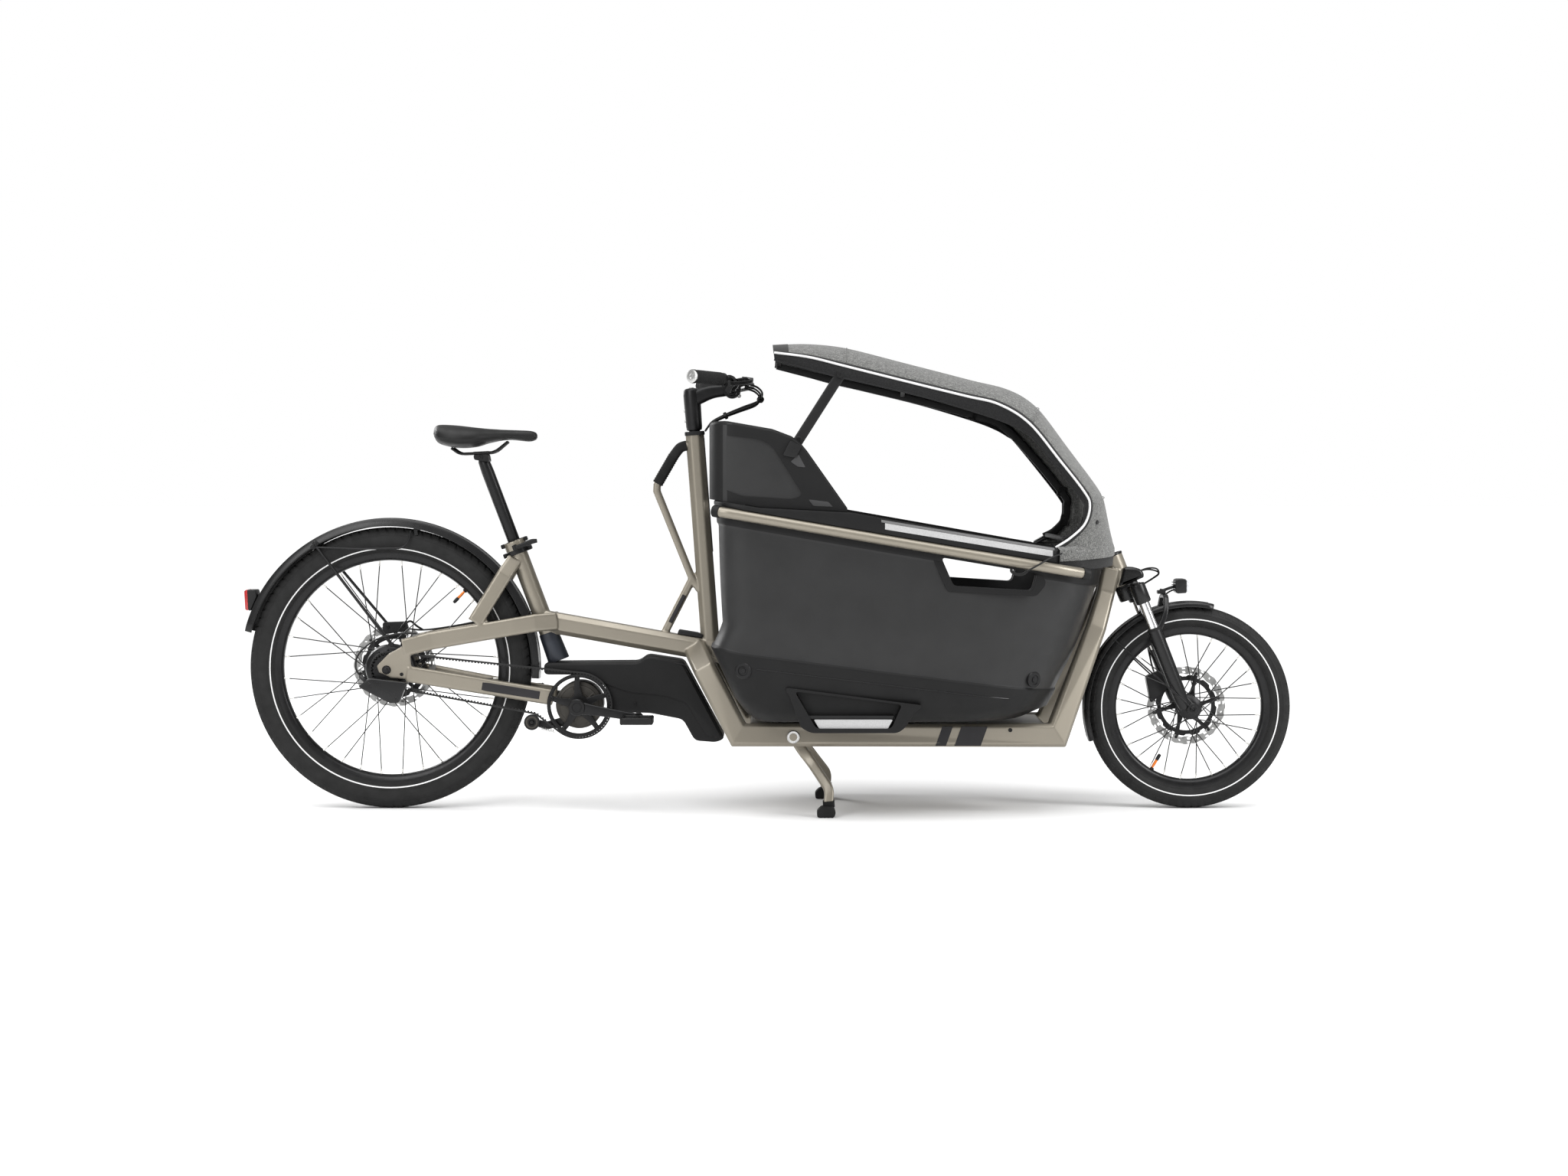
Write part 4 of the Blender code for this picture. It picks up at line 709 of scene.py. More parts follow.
def front_hub():
    half = [(0.0345, 0.0165), (0.0335, 0.019), (0.03, 0.0285), (0.0285, 0.03), (0.0225, 0.03),
            (0.0205, 0.0275), (0.0165, 0.0195), (0.008, 0.0175)]
    bm = bmesh.new()
    lathe(bm, half + [(-y, r) for y, r in reversed(half)] + [(-0.0345, 0.0078), (0.0345, 0.0078)],
          FRONT_AXLE, steps=60, closed=True)
    piece("front_hub_shell", bm, METAL, "front_wheel", ["front_hub"], sharp=28)


tyre("rear_tyre_casing", REAR_AXLE, REAR_RADIUS, 0.0305, 0.2925, 96, 0.303, "rear_wheel")
rim("rear_rim_hoop", REAR_AXLE, 0.2934, 0.272, 0.0165, "rear_wheel")
spokes("rear", REAR_AXLE, 32, 0.0256, 0.0565, 0.272, radians(41), "rear_wheel")
valve("rear", REAR_AXLE, 0.272, radians(46), "rear_wheel")
rotor("rear_rotor", REAR_AXLE, centre_of("rear_rotor").y, 0.105, "rear_rotor", "rear_wheel")
rear_hub()
tyre("front_tyre_casing", FRONT_AXLE, FRONT_RADIUS, 0.0275, 0.2045, 84, 0.2235, "front_wheel")
rim("front_rim_hoop", FRONT_AXLE, 0.2054, 0.1836, 0.015, "front_wheel")
spokes("front", FRONT_AXLE, 28, 0.0256, 0.028, 0.1836, radians(58), "front_wheel")
valve("front", FRONT_AXLE, 0.1836, radians(239.6), "front_wheel")
rotor("front_rotor", FRONT_AXLE, centre_of("front_rotor").y, 0.1, "front_rotor", "front_wheel")
front_hub()


# Frame ------------------------------------------------------------------------------------------
def painted_frame():
    nodes = ["seat_tube", "main_tube", "rear_stays_right", "rear_stays_left", "platform_rail_right",
             "platform_rail_left", "platform_floor", "steering_column", "head_tube", "lift_handle"]
    dress(fused("welded_frame", nodes), PAINT, "root", nodes)


def tube_foot():
    """Dark lower end of the seat tube, between the main tube and the motor."""
    bm = bmesh.new()
    path = [SEAT_TUBE_TOP - SEAT_UP * 0.242, SEAT_TUBE_TOP - SEAT_UP * 0.318]
    sweep(bm, path, round_section(0.0475, 0.05, 32), scales=[(1, 1), (1, 1.12)])
    soften(bm, 0.002, 2, 50)
    piece("seat_tube_foot", bm, FOOT_PAINT)


def seat_clamps():
    """Two stacked clamp rings with their bolt lugs behind and before the post."""
    bm = bmesh.new()
    for along, radius, height in ((-0.0235, 0.0292, 0.012), (0.001, 0.0265, 0.011)):
        ring = [(-height / 2, radius - 0.004), (-height / 2, radius), (-height / 2 + 0.001, radius + 0.001),
                (height / 2 - 0.001, radius + 0.001), (height / 2, radius), (height / 2, radius - 0.004)]
        centre = SEAT_TUBE_TOP + SEAT_UP * along
        lathe(bm, ring, centre, SEAT_UP, 40, closed=True)
        ahead = SEAT_UP.cross(Vector((0, 1, 0)))
        for way in (ahead, -ahead):
            lug = centre + way * (radius + 0.003)
            sweep(bm, [lug - Vector((0, 0.01, 0)), lug + Vector((0, 0.01, 0))],
                  soft_section(0.011, height, 0.003, 3), side=way)
            bolt(bm, lug - Vector((0, 0.01, 0)), (0, -1, 0), 0.0042, 0.003, 14)
    piece("seat_clamp_rings", bm, METAL)


def dark_patches():
    """Plain dark patches on the lower rail, the stay and the brace."""
    bm = bmesh.new()
    face = -0.145 - 0.0206
    for outline in ([(0.415, 0.174), (0.441, 0.174), (0.458, 0.2215), (0.432, 0.2215)],
                    [(0.462, 0.174), (0.527, 0.174), (0.544, 0.2215), (0.479, 0.2215)]):
        slab(bm, outline, face - 0.0002, face + 0.003)
        slab(bm, outline, -face + 0.0002, -face - 0.003)
    piece("rail_patches", bm, DECAL)
    bm = bmesh.new()
    for side in (-1, 1):
        sweep(bm, [(-0.72, 0.0522 * side, 0.3135), (-0.575, 0.0488 * side, 0.29)],
              soft_section(0.0166, 0.022, 0.003, 3))
    sweep(bm, [(-0.248, 0, 0.471), (-0.212, 0, 0.5405)], soft_section(0.0262, 0.0115, 0.003, 3))
    soften(bm, 0.0008, 1, 50)
    piece("stay_patches", bm, DECAL)


def frame_small_parts():
    """Frame bolts, service flap, column cap and the brake hose along the stay."""
    bm = bmesh.new()
    for side in (-1, 1):
        bolt(bm, (-0.942, 0.082 * side, 0.42), (0, side, 0), 0.0055, 0.004, 16)
        bolt(bm, (-0.918, 0.0818 * side, 0.345), (0, side, 0), 0.0045, 0.003, 16)
        for x in (0.11, 0.6):
            bolt(bm, (x, 0.1655 * side, 0.213), (0, side, 0), 0.005, 0.003, 16)
    piece("frame_bolts", bm, METAL)
    bm = bmesh.new()
    flap = [(-0.23, 0.442), (-0.168, 0.432), (-0.163, 0.44), (-0.18, 0.4455), (-0.226, 0.453)]
    slab(bm, flap, -0.019, 0.019)
    soften(bm, 0.003, 3)
    piece("service_flap", bm, PLASTIC)
    bm = bmesh.new()
    ring = soft_section(0.046, 0.05, 0.012, 4)
    sweep(bm, [COLUMN_TOP - COLUMN_UP * 0.006, COLUMN_TOP + COLUMN_UP * 0.004], ring)
    soften(bm, 0.002, 2, 60)
    seam = [COLUMN_TOP + Vector((0.0236, 0, -0.012)),
            COLUMN_TOP - COLUMN_UP * 0.3 + Vector((0.0236, 0, 0))]
    sweep(bm, seam, soft_section(0.02, 0.0016, 0.0006, 2), side=(0, 1, 0))
    piece("column_cap", bm, PLASTIC)
    hose = through([(-0.93, 0.058, 0.452), (-0.88, 0.062, 0.448), (-0.8, 0.0585, 0.459),
                    (-0.7, 0.053, 0.479), (-0.62, 0.046, 0.493), (-0.585, 0.035, 0.4985)], 8)
    bm = bmesh.new()
    sweep(bm, hose, round_section(0.0046, count=10))
    piece("rear_brake_hose", bm, CABLE)


def lift_grip():
    """Ribbed rubber sleeve on the lifting handle, wrapped round its upper bend."""
    path = filleted([(-0.206, 0, 0.9182), (-0.222, 0, 0.914), (-0.239, 0, 0.892), (-0.2795, 0, 0.822)],
                    0.012, 4)
    bm = bmesh.new()
    sweep(bm, path, soft_section(0.03, 0.0255, 0.008, 4))
    start, stop = Vector((-0.24, 0, 0.89)), Vector((-0.278, 0, 0.8245))
    way = (stop - start).normalized()
    for i in range(13):
        spot = start + (stop - start) * i / 12
        sweep(bm, [spot - way * 0.0012, spot + way * 0.0012], soft_section(0.0315, 0.027, 0.008, 4))
    piece("lift_handle_sleeve", bm, RUBBER, "root", ["lift_handle_grip"])


# Drive ------------------------------------------------------------------------------------------
def belt_line():
    """Middle line of the belt round both pulleys and over the tensioner."""
    seat = 0.0028
    wheels = []
    for node, sense in (("rear_sprocket", 1), ("tensioner_pulley", -1), ("front_pulley", 1)):
        low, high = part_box(node)
        wheels.append(((low + high) / 2, (high.z - low.z) / 2 + seat, sense))
    leaving, arriving = [], []
    for i, (centre, radius, sense) in enumerate(wheels):
        target, far_radius, far_sense = wheels[(i + 1) % 3]
        way = target - centre
        lean = (radius * sense - far_radius * far_sense) / (way.x ** 2 + way.z ** 2) ** 0.5
        normal = atan2(way.z, way.x) - pi / 2 + asin(lean)
        leaving.append(normal + (pi if sense < 0 else 0))
        arriving.append(normal + (pi if far_sense < 0 else 0))
    line = []
    for i, (centre, radius, sense) in enumerate(wheels):
        start, stop = arriving[i - 1], leaving[i]
        span = ((stop - start) * sense) % (2 * pi)
        steps = max(3, int(span / radians(5)))
        line += [polar(Vector((centre.x, BELT_Y, centre.z)), radius, start + sense * span * j / steps)
                 for j in range(steps + 1)]
    return line


def along_loop(line, pitch):
    """Points and directions at an even pitch along a closed line."""
    lengths = [(b - a).length for a, b in zip(line, line[1:] + line[:1])]
    count = int(sum(lengths) / pitch)
    step, spots, travelled, i = sum(lengths) / count, [], 0.0, 0
    for n in range(count):
        while travelled + lengths[i] < n * step:
            travelled += lengths[i]
            i += 1
        start, stop = line[i], line[(i + 1) % len(line)]
        spots.append((start.lerp(stop, (n * step - travelled) / lengths[i]), (stop - start).normalized()))
    return spots


def toothed_belt():
    line = belt_line()
    bm = bmesh.new()
    sweep(bm, line, soft_section(0.01, 0.0038, 0.0008, 2), closed=True)
    tooth = [(-0.0046, -0.0023), (0.0046, -0.0023), (0.0046, 0.0023), (-0.0046, 0.0023)]
    for spot, way in along_loop(line, 0.008):
        inward = Vector((-way.z, 0, way.x))
        foot = spot + inward * 0.0012
        sweep(bm, [foot, foot + inward * 0.003], tooth, scales=[(1, 1), (1, 0.7)])
    piece("toothed_belt", bm, BELT, "root", ["belt"])


def toothed_ring(bm, centre, outer, inner, teeth, half, depth=0.0026):
    """Flat ring whose edge is cut into teeth."""
    count = teeth * 4
    rings = []
    for y, shrink in ((-half, 0.0006), (-half + 0.0006, 0), (half - 0.0006, 0), (half, 0.0006)):
        rings.append([bm.verts.new(polar(centre, outer - shrink - (depth if i % 4 in (0, 1) else 0),
                                         2 * pi * i / count, y)) for i in range(count)])
    for y in (half, -half):
        rings.append([bm.verts.new(polar(centre, inner, 2 * pi * i / count, y)) for i in range(count)])
    skin(bm, rings, closed=True)


def chain_ring():
    """Front belt pulley with a five-armed spider."""
    centre = Vector((CRANK.x, BELT_Y, CRANK.z))
    bm = bmesh.new()
    toothed_ring(bm, centre, 0.0786, 0.0705, 46, 0.0034)
    lathe(bm, [(-0.003, 0.08), (-0.0044, 0.079), (-0.0044, 0.0735), (-0.003, 0.0725)], centre,
          steps=72, closed=True)
    piece("chain_ring", bm, METAL, "crank", ["front_pulley"], sharp=30)
    bm = bmesh.new()
    lathe(bm, [(-0.003, 0.015), (-0.003, 0.0265), (0.003, 0.0265), (0.003, 0.015)], centre, steps=40,
          closed=True)
    for i in range(5):
        angle = 2 * pi * i / 5 + 0.35
        sweep(bm, [polar(centre, 0.022, angle), polar(centre, 0.048, angle + 0.05),
                   polar(centre, 0.0725, angle + 0.02)], soft_section(0.0046, 0.017, 0.0016, 3),
              scales=[(1, 1.35), (1, 0.85), (1, 0.75)])
        bolt(bm, polar(centre, 0.0705, angle + 0.02, -0.003), (0, -1, 0), 0.0052, 0.003, 16)
    piece("ring_spider", bm, METAL, "crank")


def rear_cog():
    centre = Vector((REAR_AXLE.x, BELT_Y, REAR_AXLE.z))
    bm = bmesh.new()
    toothed_ring(bm, centre, 0.039, 0.024, 24, 0.0034, 0.003)
    lathe(bm, [(-0.0035, 0.008), (-0.0035, 0.0255), (0.0025, 0.0255), (0.0025, 0.008)], centre, steps=36,
          closed=True)
    for i in range(6):
        bolt(bm, polar(centre, 0.03, 2 * pi * i / 6, -0.0034), (0, -1, 0), 0.0026, 0.0012, 10)
    piece("rear_cog", bm, METAL, "sprocket", ["rear_sprocket"], sharp=30)


def tensioner():
    """Belt roller with a pale face ring, on a sprung arm."""
    bm = bmesh.new()
    lathe(bm, [(-0.006, 0.015), (-0.0062, 0.0192), (-0.0048, 0.0198), (0.0048, 0.0198), (0.0062, 0.0192),
               (0.006, 0.015), (0.005, 0.0068), (-0.005, 0.0068)], TENSIONER, steps=48, closed=True)
    piece("tensioner_roller", bm, METAL, "tensioner", ["tensioner_pulley"])
    bm = bmesh.new()
    lathe(bm, [(-0.0058, 0.0105), (-0.0068, 0.0112), (-0.0068, 0.015), (-0.0058, 0.0158)], TENSIONER,
          steps=40, closed=True)
    piece("tensioner_face", bm, MOTOR, "tensioner")
    bm = bmesh.new()
    foot, tip = Vector((CRANK.x - 0.03, -0.04, CRANK.z - 0.04)), TENSIONER + Vector((0, 0.021, 0))
    sweep(bm, [foot, Vector((-0.56, -0.04, 0.212)), tip], soft_section(0.008, 0.02, 0.003, 3),
          scales=[(1, 1.2), (1, 1), (1, 0.9)])
    lathe(bm, [(0, 0.012), (0.004, 0.012), (0.005, 0.0062), (0.028, 0.006), (0.03, 0.0045)], tip,
          (0, -1, 0), 24)
    piece("tensioner_arm", bm, METAL)
    coil = []
    for i in range(91):
        t = i / 90
        turn = 2 * pi * 9 * t
        coil.append((-0.573 + 0.034 * t, -0.048 + 0.0042 * cos(turn),
                     0.2065 - 0.008 * t + 0.0042 * sin(turn)))
    bm = bmesh.new()
    sweep(bm, coil, round_section(0.0013, count=6), side=(1, 0.1, 0))
    piece("tensioner_spring", bm, STEEL)


def motor():
    """Motor casting: ribbed round face, bearing ring and mounting bolts."""
    bm = bmesh.new()
    face = [(0.05, 0.046), (0.044, 0.058), (-0.04, 0.06), (-0.0455, 0.0585), (-0.0475, 0.05),
            (-0.049, 0.049), (-0.049, 0.03), (-0.0515, 0.029), (-0.0515, 0.02), (-0.05, 0.0138),
            (0.05, 0.0138)]
    lathe(bm, face, CRANK, steps=64, closed=True)
    for i in range(5):
        angle = 2 * pi * (i + 0.3) / 5
        bolt(bm, polar(CRANK, 0.0535, angle, -0.0465), (0, -1, 0), 0.0042, 0.003, 14)
        sweep(bm, [polar(CRANK, 0.031, angle + 0.3, -0.0485), polar(CRANK, 0.047, angle + 0.3, -0.0485)],
              soft_section(0.003, 0.004, 0.001, 2))
    piece("motor_casting", bm, MOTOR, "root", ["motor_unit"], sharp=28)


def motor_cover():
    """Casing ahead of the motor: a body with a raised panel whose edge makes the crease."""
    body = [(-0.565, 0.371), (-0.565, 0.341), (-0.476, 0.341), (-0.41, 0.313), (-0.396, 0.246),
            (-0.298, 0.244), (-0.215, 0.228), (-0.185, 0.174), (-0.13, 0.17), (-0.109, 0.18),
            (-0.214, 0.376), (-0.306, 0.39), (-0.327, 0.373)]
    panel = [(-0.56, 0.368), (-0.56, 0.345), (-0.47, 0.344), (-0.402, 0.314), (-0.35, 0.296),
             (-0.262, 0.288), (-0.205, 0.27), (-0.156, 0.186), (-0.128, 0.179), (-0.118, 0.186),
             (-0.217, 0.371), (-0.304, 0.386), (-0.327, 0.369)]
    bm = bmesh.new()
    slab(bm, rounded_loop(body, 0.012, 4), -0.0485, 0.0485)
    soften(bm, 0.0075, 4, 60)
    for side in (-1, 1):
        part = bmesh.new()
        slab(part, rounded_loop(panel, 0.014, 4), 0.04 * side, 0.0518 * side)
        soften(part, 0.0028, 3, 60)
        held = new_object("panel", part)
        bm.from_mesh(held.data)
        bpy.data.objects.remove(held, do_unlink=True)
    for x, z in ((-0.545, 0.356), (-0.335, 0.268), (-0.14, 0.186)):
        bolt(bm, (x, -0.05, z), (0, -1, 0), 0.004, 0.0022, 14)
    piece("drive_cover", bm, BOX_TRIM, "root", ["motor_cover"])
    bm = bmesh.new()
    sweep(bm, filleted([(-0.236, -0.0524, 0.372), (-0.206, -0.0524, 0.366), (-0.172, -0.0524, 0.304)],
                       0.008), soft_section(0.001, 0.0022, 0.0004, 1))
    piece("cover_seam", bm, GLOSS)


def crank_tip(side):
    centre = centre_of("pedal_right" if side < 0 else "pedal_left")
    return Vector((centre.x, 0.118 * side, centre.z))


def cranks():
    """Forged arms on their spindle, with dust caps and pedal eyes."""
    bm = bmesh.new()
    lathe(bm, [(-0.112, 0.0124), (0.112, 0.0124)], CRANK, steps=32)
    for side in (-1, 1):
        hub, tip = CRANK + Vector((0, 0.118 * side, 0)), crank_tip(side)
        stations = [hub.lerp(tip, t) for t in (0, 0.08, 0.2, 0.4, 0.6, 0.8, 0.92, 1)]
        sweep(bm, stations, soft_section(0.014, 0.026, 0.0055, 5),
              scales=[(1, 1.25), (1, 1.22), (1, 1.06), (0.96, 0.93), (0.92, 0.84), (0.9, 0.78),
                      (0.92, 0.8), (0.92, 0.78)])
        lathe(bm, [(-0.0085, 0.0195), (-0.007, 0.021), (0.007, 0.021), (0.0095, 0.019), (0.0098, 0.012),
                   (0.0082, 0.0112), (0.0082, 0.0)], hub, (0, side, 0), 40)
        lathe(bm, [(-0.0078, 0.012), (-0.0066, 0.0132), (0.0066, 0.0132), (0.0078, 0.012)], tip,
              (0, side, 0), 28)
        lathe(bm, [(0.006, 0.007), (0.014, 0.007), (0.0145, 0.0045), (0.1, 0.0045)], tip, (0, side, 0),
              20)
    piece("crank_set", bm, METAL, "crank", ["crank_arms"])


def pedals():
    """Platform pedals: a frame with two windows, a barrel and rows of small studs."""
    for name, side in SIDES:
        tip = crank_tip(side)
        bm = bmesh.new()
        middle_y = 0.178 * side
        frame_line = rounded_loop([(-0.0365, -0.04), (0.0365, -0.04), (0.0365, 0.04), (-0.0365, 0.04)],
                                  0.01, 4)
        sweep(bm, [Vector((tip.x + x, middle_y + y, tip.z)) for x, y in frame_line],
              soft_section(0.0165, 0.0085, 0.0025, 3), side=(0, 0, 1), closed=True)
        lathe(bm, [(-0.042, 0.0078), (-0.036, 0.0088), (0.036, 0.0088), (0.042, 0.0078), (0.042, 0.005),
                   (-0.042, 0.005)], Vector((tip.x, middle_y, tip.z)), steps=28, closed=True)
        for y in (-0.02, 0.0, 0.02):
            sweep(bm, [(tip.x - 0.035, middle_y + y, tip.z), (tip.x - 0.0075, middle_y + y, tip.z)],
                  soft_section(0.004, 0.011, 0.0012, 2))
            sweep(bm, [(tip.x + 0.0075, middle_y + y, tip.z), (tip.x + 0.035, middle_y + y, tip.z)],
                  soft_section(0.004, 0.011, 0.0012, 2))
        for x in (-0.0365, 0.0365):
            for y in (-0.033, -0.011, 0.011, 0.033):
                for up in (-1, 1):
                    lathe(bm, [(0.007, 0.0019), (0.0092, 0.0017), (0.0095, 0.0008)],
                          (tip.x + x, middle_y + y, tip.z), (0, 0, up), 10)
        piece("platform_pedal_" + name, bm, PLASTIC, name + "_pedal", ["pedal_" + name])


def rear_fittings():
    """Axle nuts, hub control box, the caliper round its disc and their cables."""
    bm = bmesh.new()
    half = 0.0821
    lathe(bm, [(-half - 0.011, 0.004), (-half - 0.0105, 0.0056), (-half, 0.006), (half, 0.006),
               (half + 0.0105, 0.0056), (half + 0.011, 0.004)], REAR_AXLE, steps=24)
    for side in (-1, 1):
        lathe(bm, [(half, 0.0112), (half + 0.0015, 0.0112)], REAR_AXLE, (0, side, 0), 32)
        lathe(bm, [(half + 0.0015, 0.0098), (half + 0.0078, 0.0098), (half + 0.0086, 0.0086)], REAR_AXLE,
              (0, side, 0), 6)
    piece("rear_axle_nuts", bm, METAL, "root", ["rear_axle"], sharp=25)
    bm = bmesh.new()
    outline = rounded_loop([(-1.024, 0.316), (-0.996, 0.338), (-0.9, 0.326), (-0.921, 0.275),
                            (-0.945, 0.275)], 0.008, 4)
    slab(bm, outline, -0.1115, -0.0865)
    soften(bm, 0.0035, 3, 60)
    lathe(bm, [(0, 0.0058), (0.016, 0.0054), (0.019, 0.0036)], (-1.006, -0.099, 0.33), (-0.62, 0, 0.55),
          18)
    for x, z in ((-0.996, 0.323), (-0.928, 0.287)):
        bolt(bm, (x, -0.1115, z), (0, -1, 0), 0.0038, 0.002, 14)
    piece("hub_control_box", bm, GLOSS, "root", ["hub_actuator"])
    bm = bmesh.new()
    slab(bm, rounded_loop([(-0.985, 0.468), (-0.925, 0.47), (-0.918, 0.447), (-0.985, 0.436)], 0.006, 4),
         0.0455, 0.0662)
    soften(bm, 0.0028, 3, 60)
    body = new_object("brake_body_rear", bm)
    slot_cut = bmesh.new()
    lathe(slot_cut, [(-0.0036, 0.1062), (0.0036, 0.1062)], REAR_AXLE + Vector((0, 0.056, 0)), steps=64)
    cut(body, slot_cut)
    shade_again(body, 35)
    dress(body, METAL, "root", ["rear_caliper"])
    bm = bmesh.new()
    for x, z in ((-0.972, 0.456), (-0.932, 0.46)):
        bolt(bm, (x, 0.0455, z), (0, -1, 0), 0.0045, 0.003, 14)
        bolt(bm, (x, 0.0662, z), (0, 1, 0), 0.0045, 0.003, 14)
    sweep(bm, through([(-0.932, 0.06, 0.462), (-0.916, 0.062, 0.47), (-0.9, 0.062, 0.458),
                       (-0.885, 0.062, 0.4485)], 6), round_section(0.0055, count=12))
    piece("rear_brake_fittings", bm, METAL)
    bm = bmesh.new()
    sweep(bm, through([(-1.018, -0.099, 0.341), (-1.03, -0.097, 0.362), (-1.024, -0.09, 0.396),
                       (-0.985, -0.084, 0.43), (-0.93, -0.0845, 0.446), (-0.88, -0.08, 0.4475)], 8),
          round_section(0.0048, count=10))
    piece("hub_cable", bm, CABLE)


painted_frame()
tube_foot()
seat_clamps()
dark_patches()
frame_small_parts()
lift_grip()
toothed_belt()
chain_ring()
rear_cog()
tensioner()
motor()
motor_cover()
cranks()
pedals()
rear_fittings()


# Seat -------------------------------------------------------------------------------------------
def saddle():
    """Long padded saddle: smooth top, tucked underside, a seam round the flank and a shallow channel."""
    stations = [(-0.8425, 0.02, 0.944, 0.958), (-0.838, 0.044, 0.934, 0.966),
                (-0.825, 0.067, 0.921, 0.9705), (-0.785, 0.08, 0.912, 0.969),
                (-0.74, 0.074, 0.914, 0.964), (-0.7, 0.053, 0.925, 0.96), (-0.655, 0.031, 0.932, 0.958),
                (-0.605, 0.0195, 0.928, 0.9565), (-0.588, 0.014, 0.932, 0.952),
                (-0.5835, 0.006, 0.937, 0.946)]
    line = through([(x, half, low) for x, half, low, high in stations], 6)
    tops = through([(x, 0, high) for x, half, low, high in stations], 6)
    bm = bmesh.new()
    rings, seams = [], {-1: [], 1: []}
    count = 40
    for spot, top in zip(line, tops):
        x, half, low, high = spot.x, spot.y, spot.z, top.z
        ring = []
        for i in range(count):
            angle = 2 * pi * i / count
            y = cos(angle)
            up = sin(angle)
            wide = half * (abs(y) ** 0.72) * (1 if y > 0 else -1)
            if up > 0:
                z = low + (high - low) * (0.34 + 0.66 * up ** 0.85)
                z -= 0.0035 * max(0, 1 - abs(wide) / 0.012) * min(1, half / 0.05)
            else:
                z = low + (high - low) * (0.34 - 0.34 * (-up) ** 0.8)
                wide *= 1 + 0.12 * up
            ring.append(bm.verts.new((x, wide, z)))
        rings.append(ring)
        for side in (-1, 1):
            seams[side].append(Vector((x, side * (half + 0.0002), low + (high - low) * 0.36)))
    skin(bm, rings)
    piece("saddle_body", bm, SADDLE, "seat", ["saddle"], sharp=60)
    bm = bmesh.new()
    for side in (-1, 1):
        sweep(bm, seams[side][3:-3], round_section(0.0022, count=8), side=(0, 0, 1))
    piece("saddle_welt", bm, PLASTIC, "seat")


def seat_post():
    """Post with its yoke head, clamp bolts and the two saddle rails."""
    top = Vector((-0.719, 0, 0.879))
    bm = bmesh.new()
    lathe(bm, [(-0.345, 0.0145), (-0.343, 0.0157), (-0.03, 0.0158), (-0.012, 0.015), (0.0, 0.0142),
               (0.006, 0.012)], top, SEAT_UP, 40)
    for y in (-0.019, 0.0, 0.019):
        outline = rounded_loop([(-0.7405, 0.882), (-0.7425, 0.8945), (-0.7055, 0.8965), (-0.702, 0.8765)],
                               0.005)
        slab(bm, outline, y - 0.0055, y + 0.0055)
    lathe(bm, [(-0.0235, 0.0068), (0.0235, 0.0068)], (-0.722, 0, 0.888), steps=24)
    piece("seat_post_head", bm, METAL, "seat", ["seatpost"])
    bm = bmesh.new()
    for side in (-1, 1):
        rail = filleted([(-0.798, 0.024 * side, 0.912), (-0.777, 0.022 * side, 0.8965),
                         (-0.69, 0.019 * side, 0.9), (-0.657, 0.01 * side, 0.9275)], 0.016, 6)
        sweep(bm, rail, round_section(0.0072, count=16))
    piece("saddle_rails", bm, METAL, "seat")
    bm = bmesh.new()
    for side in (-1, 1):
        sweep(bm, [(-0.742, 0.0215 * side, 0.899), (-0.704, 0.02 * side, 0.901)],
              soft_section(0.013, 0.0065, 0.0022, 3))
        bolt(bm, (-0.723, 0.0245 * side, 0.889), (0, side, 0), 0.0048, 0.003, 16)
    piece("rail_clamps", bm, PLASTIC, "seat")


def seat_lever():
    pivot = SEAT_TUBE_TOP - SEAT_UP * 0.012 + Vector((0, -0.034, 0))
    path = through([pivot + Vector((0.003, -0.001, 0.001)), pivot + Vector((0.022, -0.002, 0.0075)),
                    pivot + Vector((0.042, -0.003, 0.0155)), pivot + Vector((0.056, -0.004, 0.018))], 6)
    bm = bmesh.new()
    grow = [(1, 0.8 + 0.45 * sin(pi * min(1, i / (len(path) - 1) * 0.9))) for i in range(len(path))]
    sweep(bm, path, soft_section(0.007, 0.0105, 0.0028, 4), scales=grow)
    lathe(bm, [(-0.0075, 0.0052), (-0.0068, 0.0062), (0.0068, 0.0062), (0.0075, 0.0052)], pivot, SEAT_UP,
          28)
    piece("quick_lever", bm, METAL, "seat_lever", ["seat_clamp_lever"])


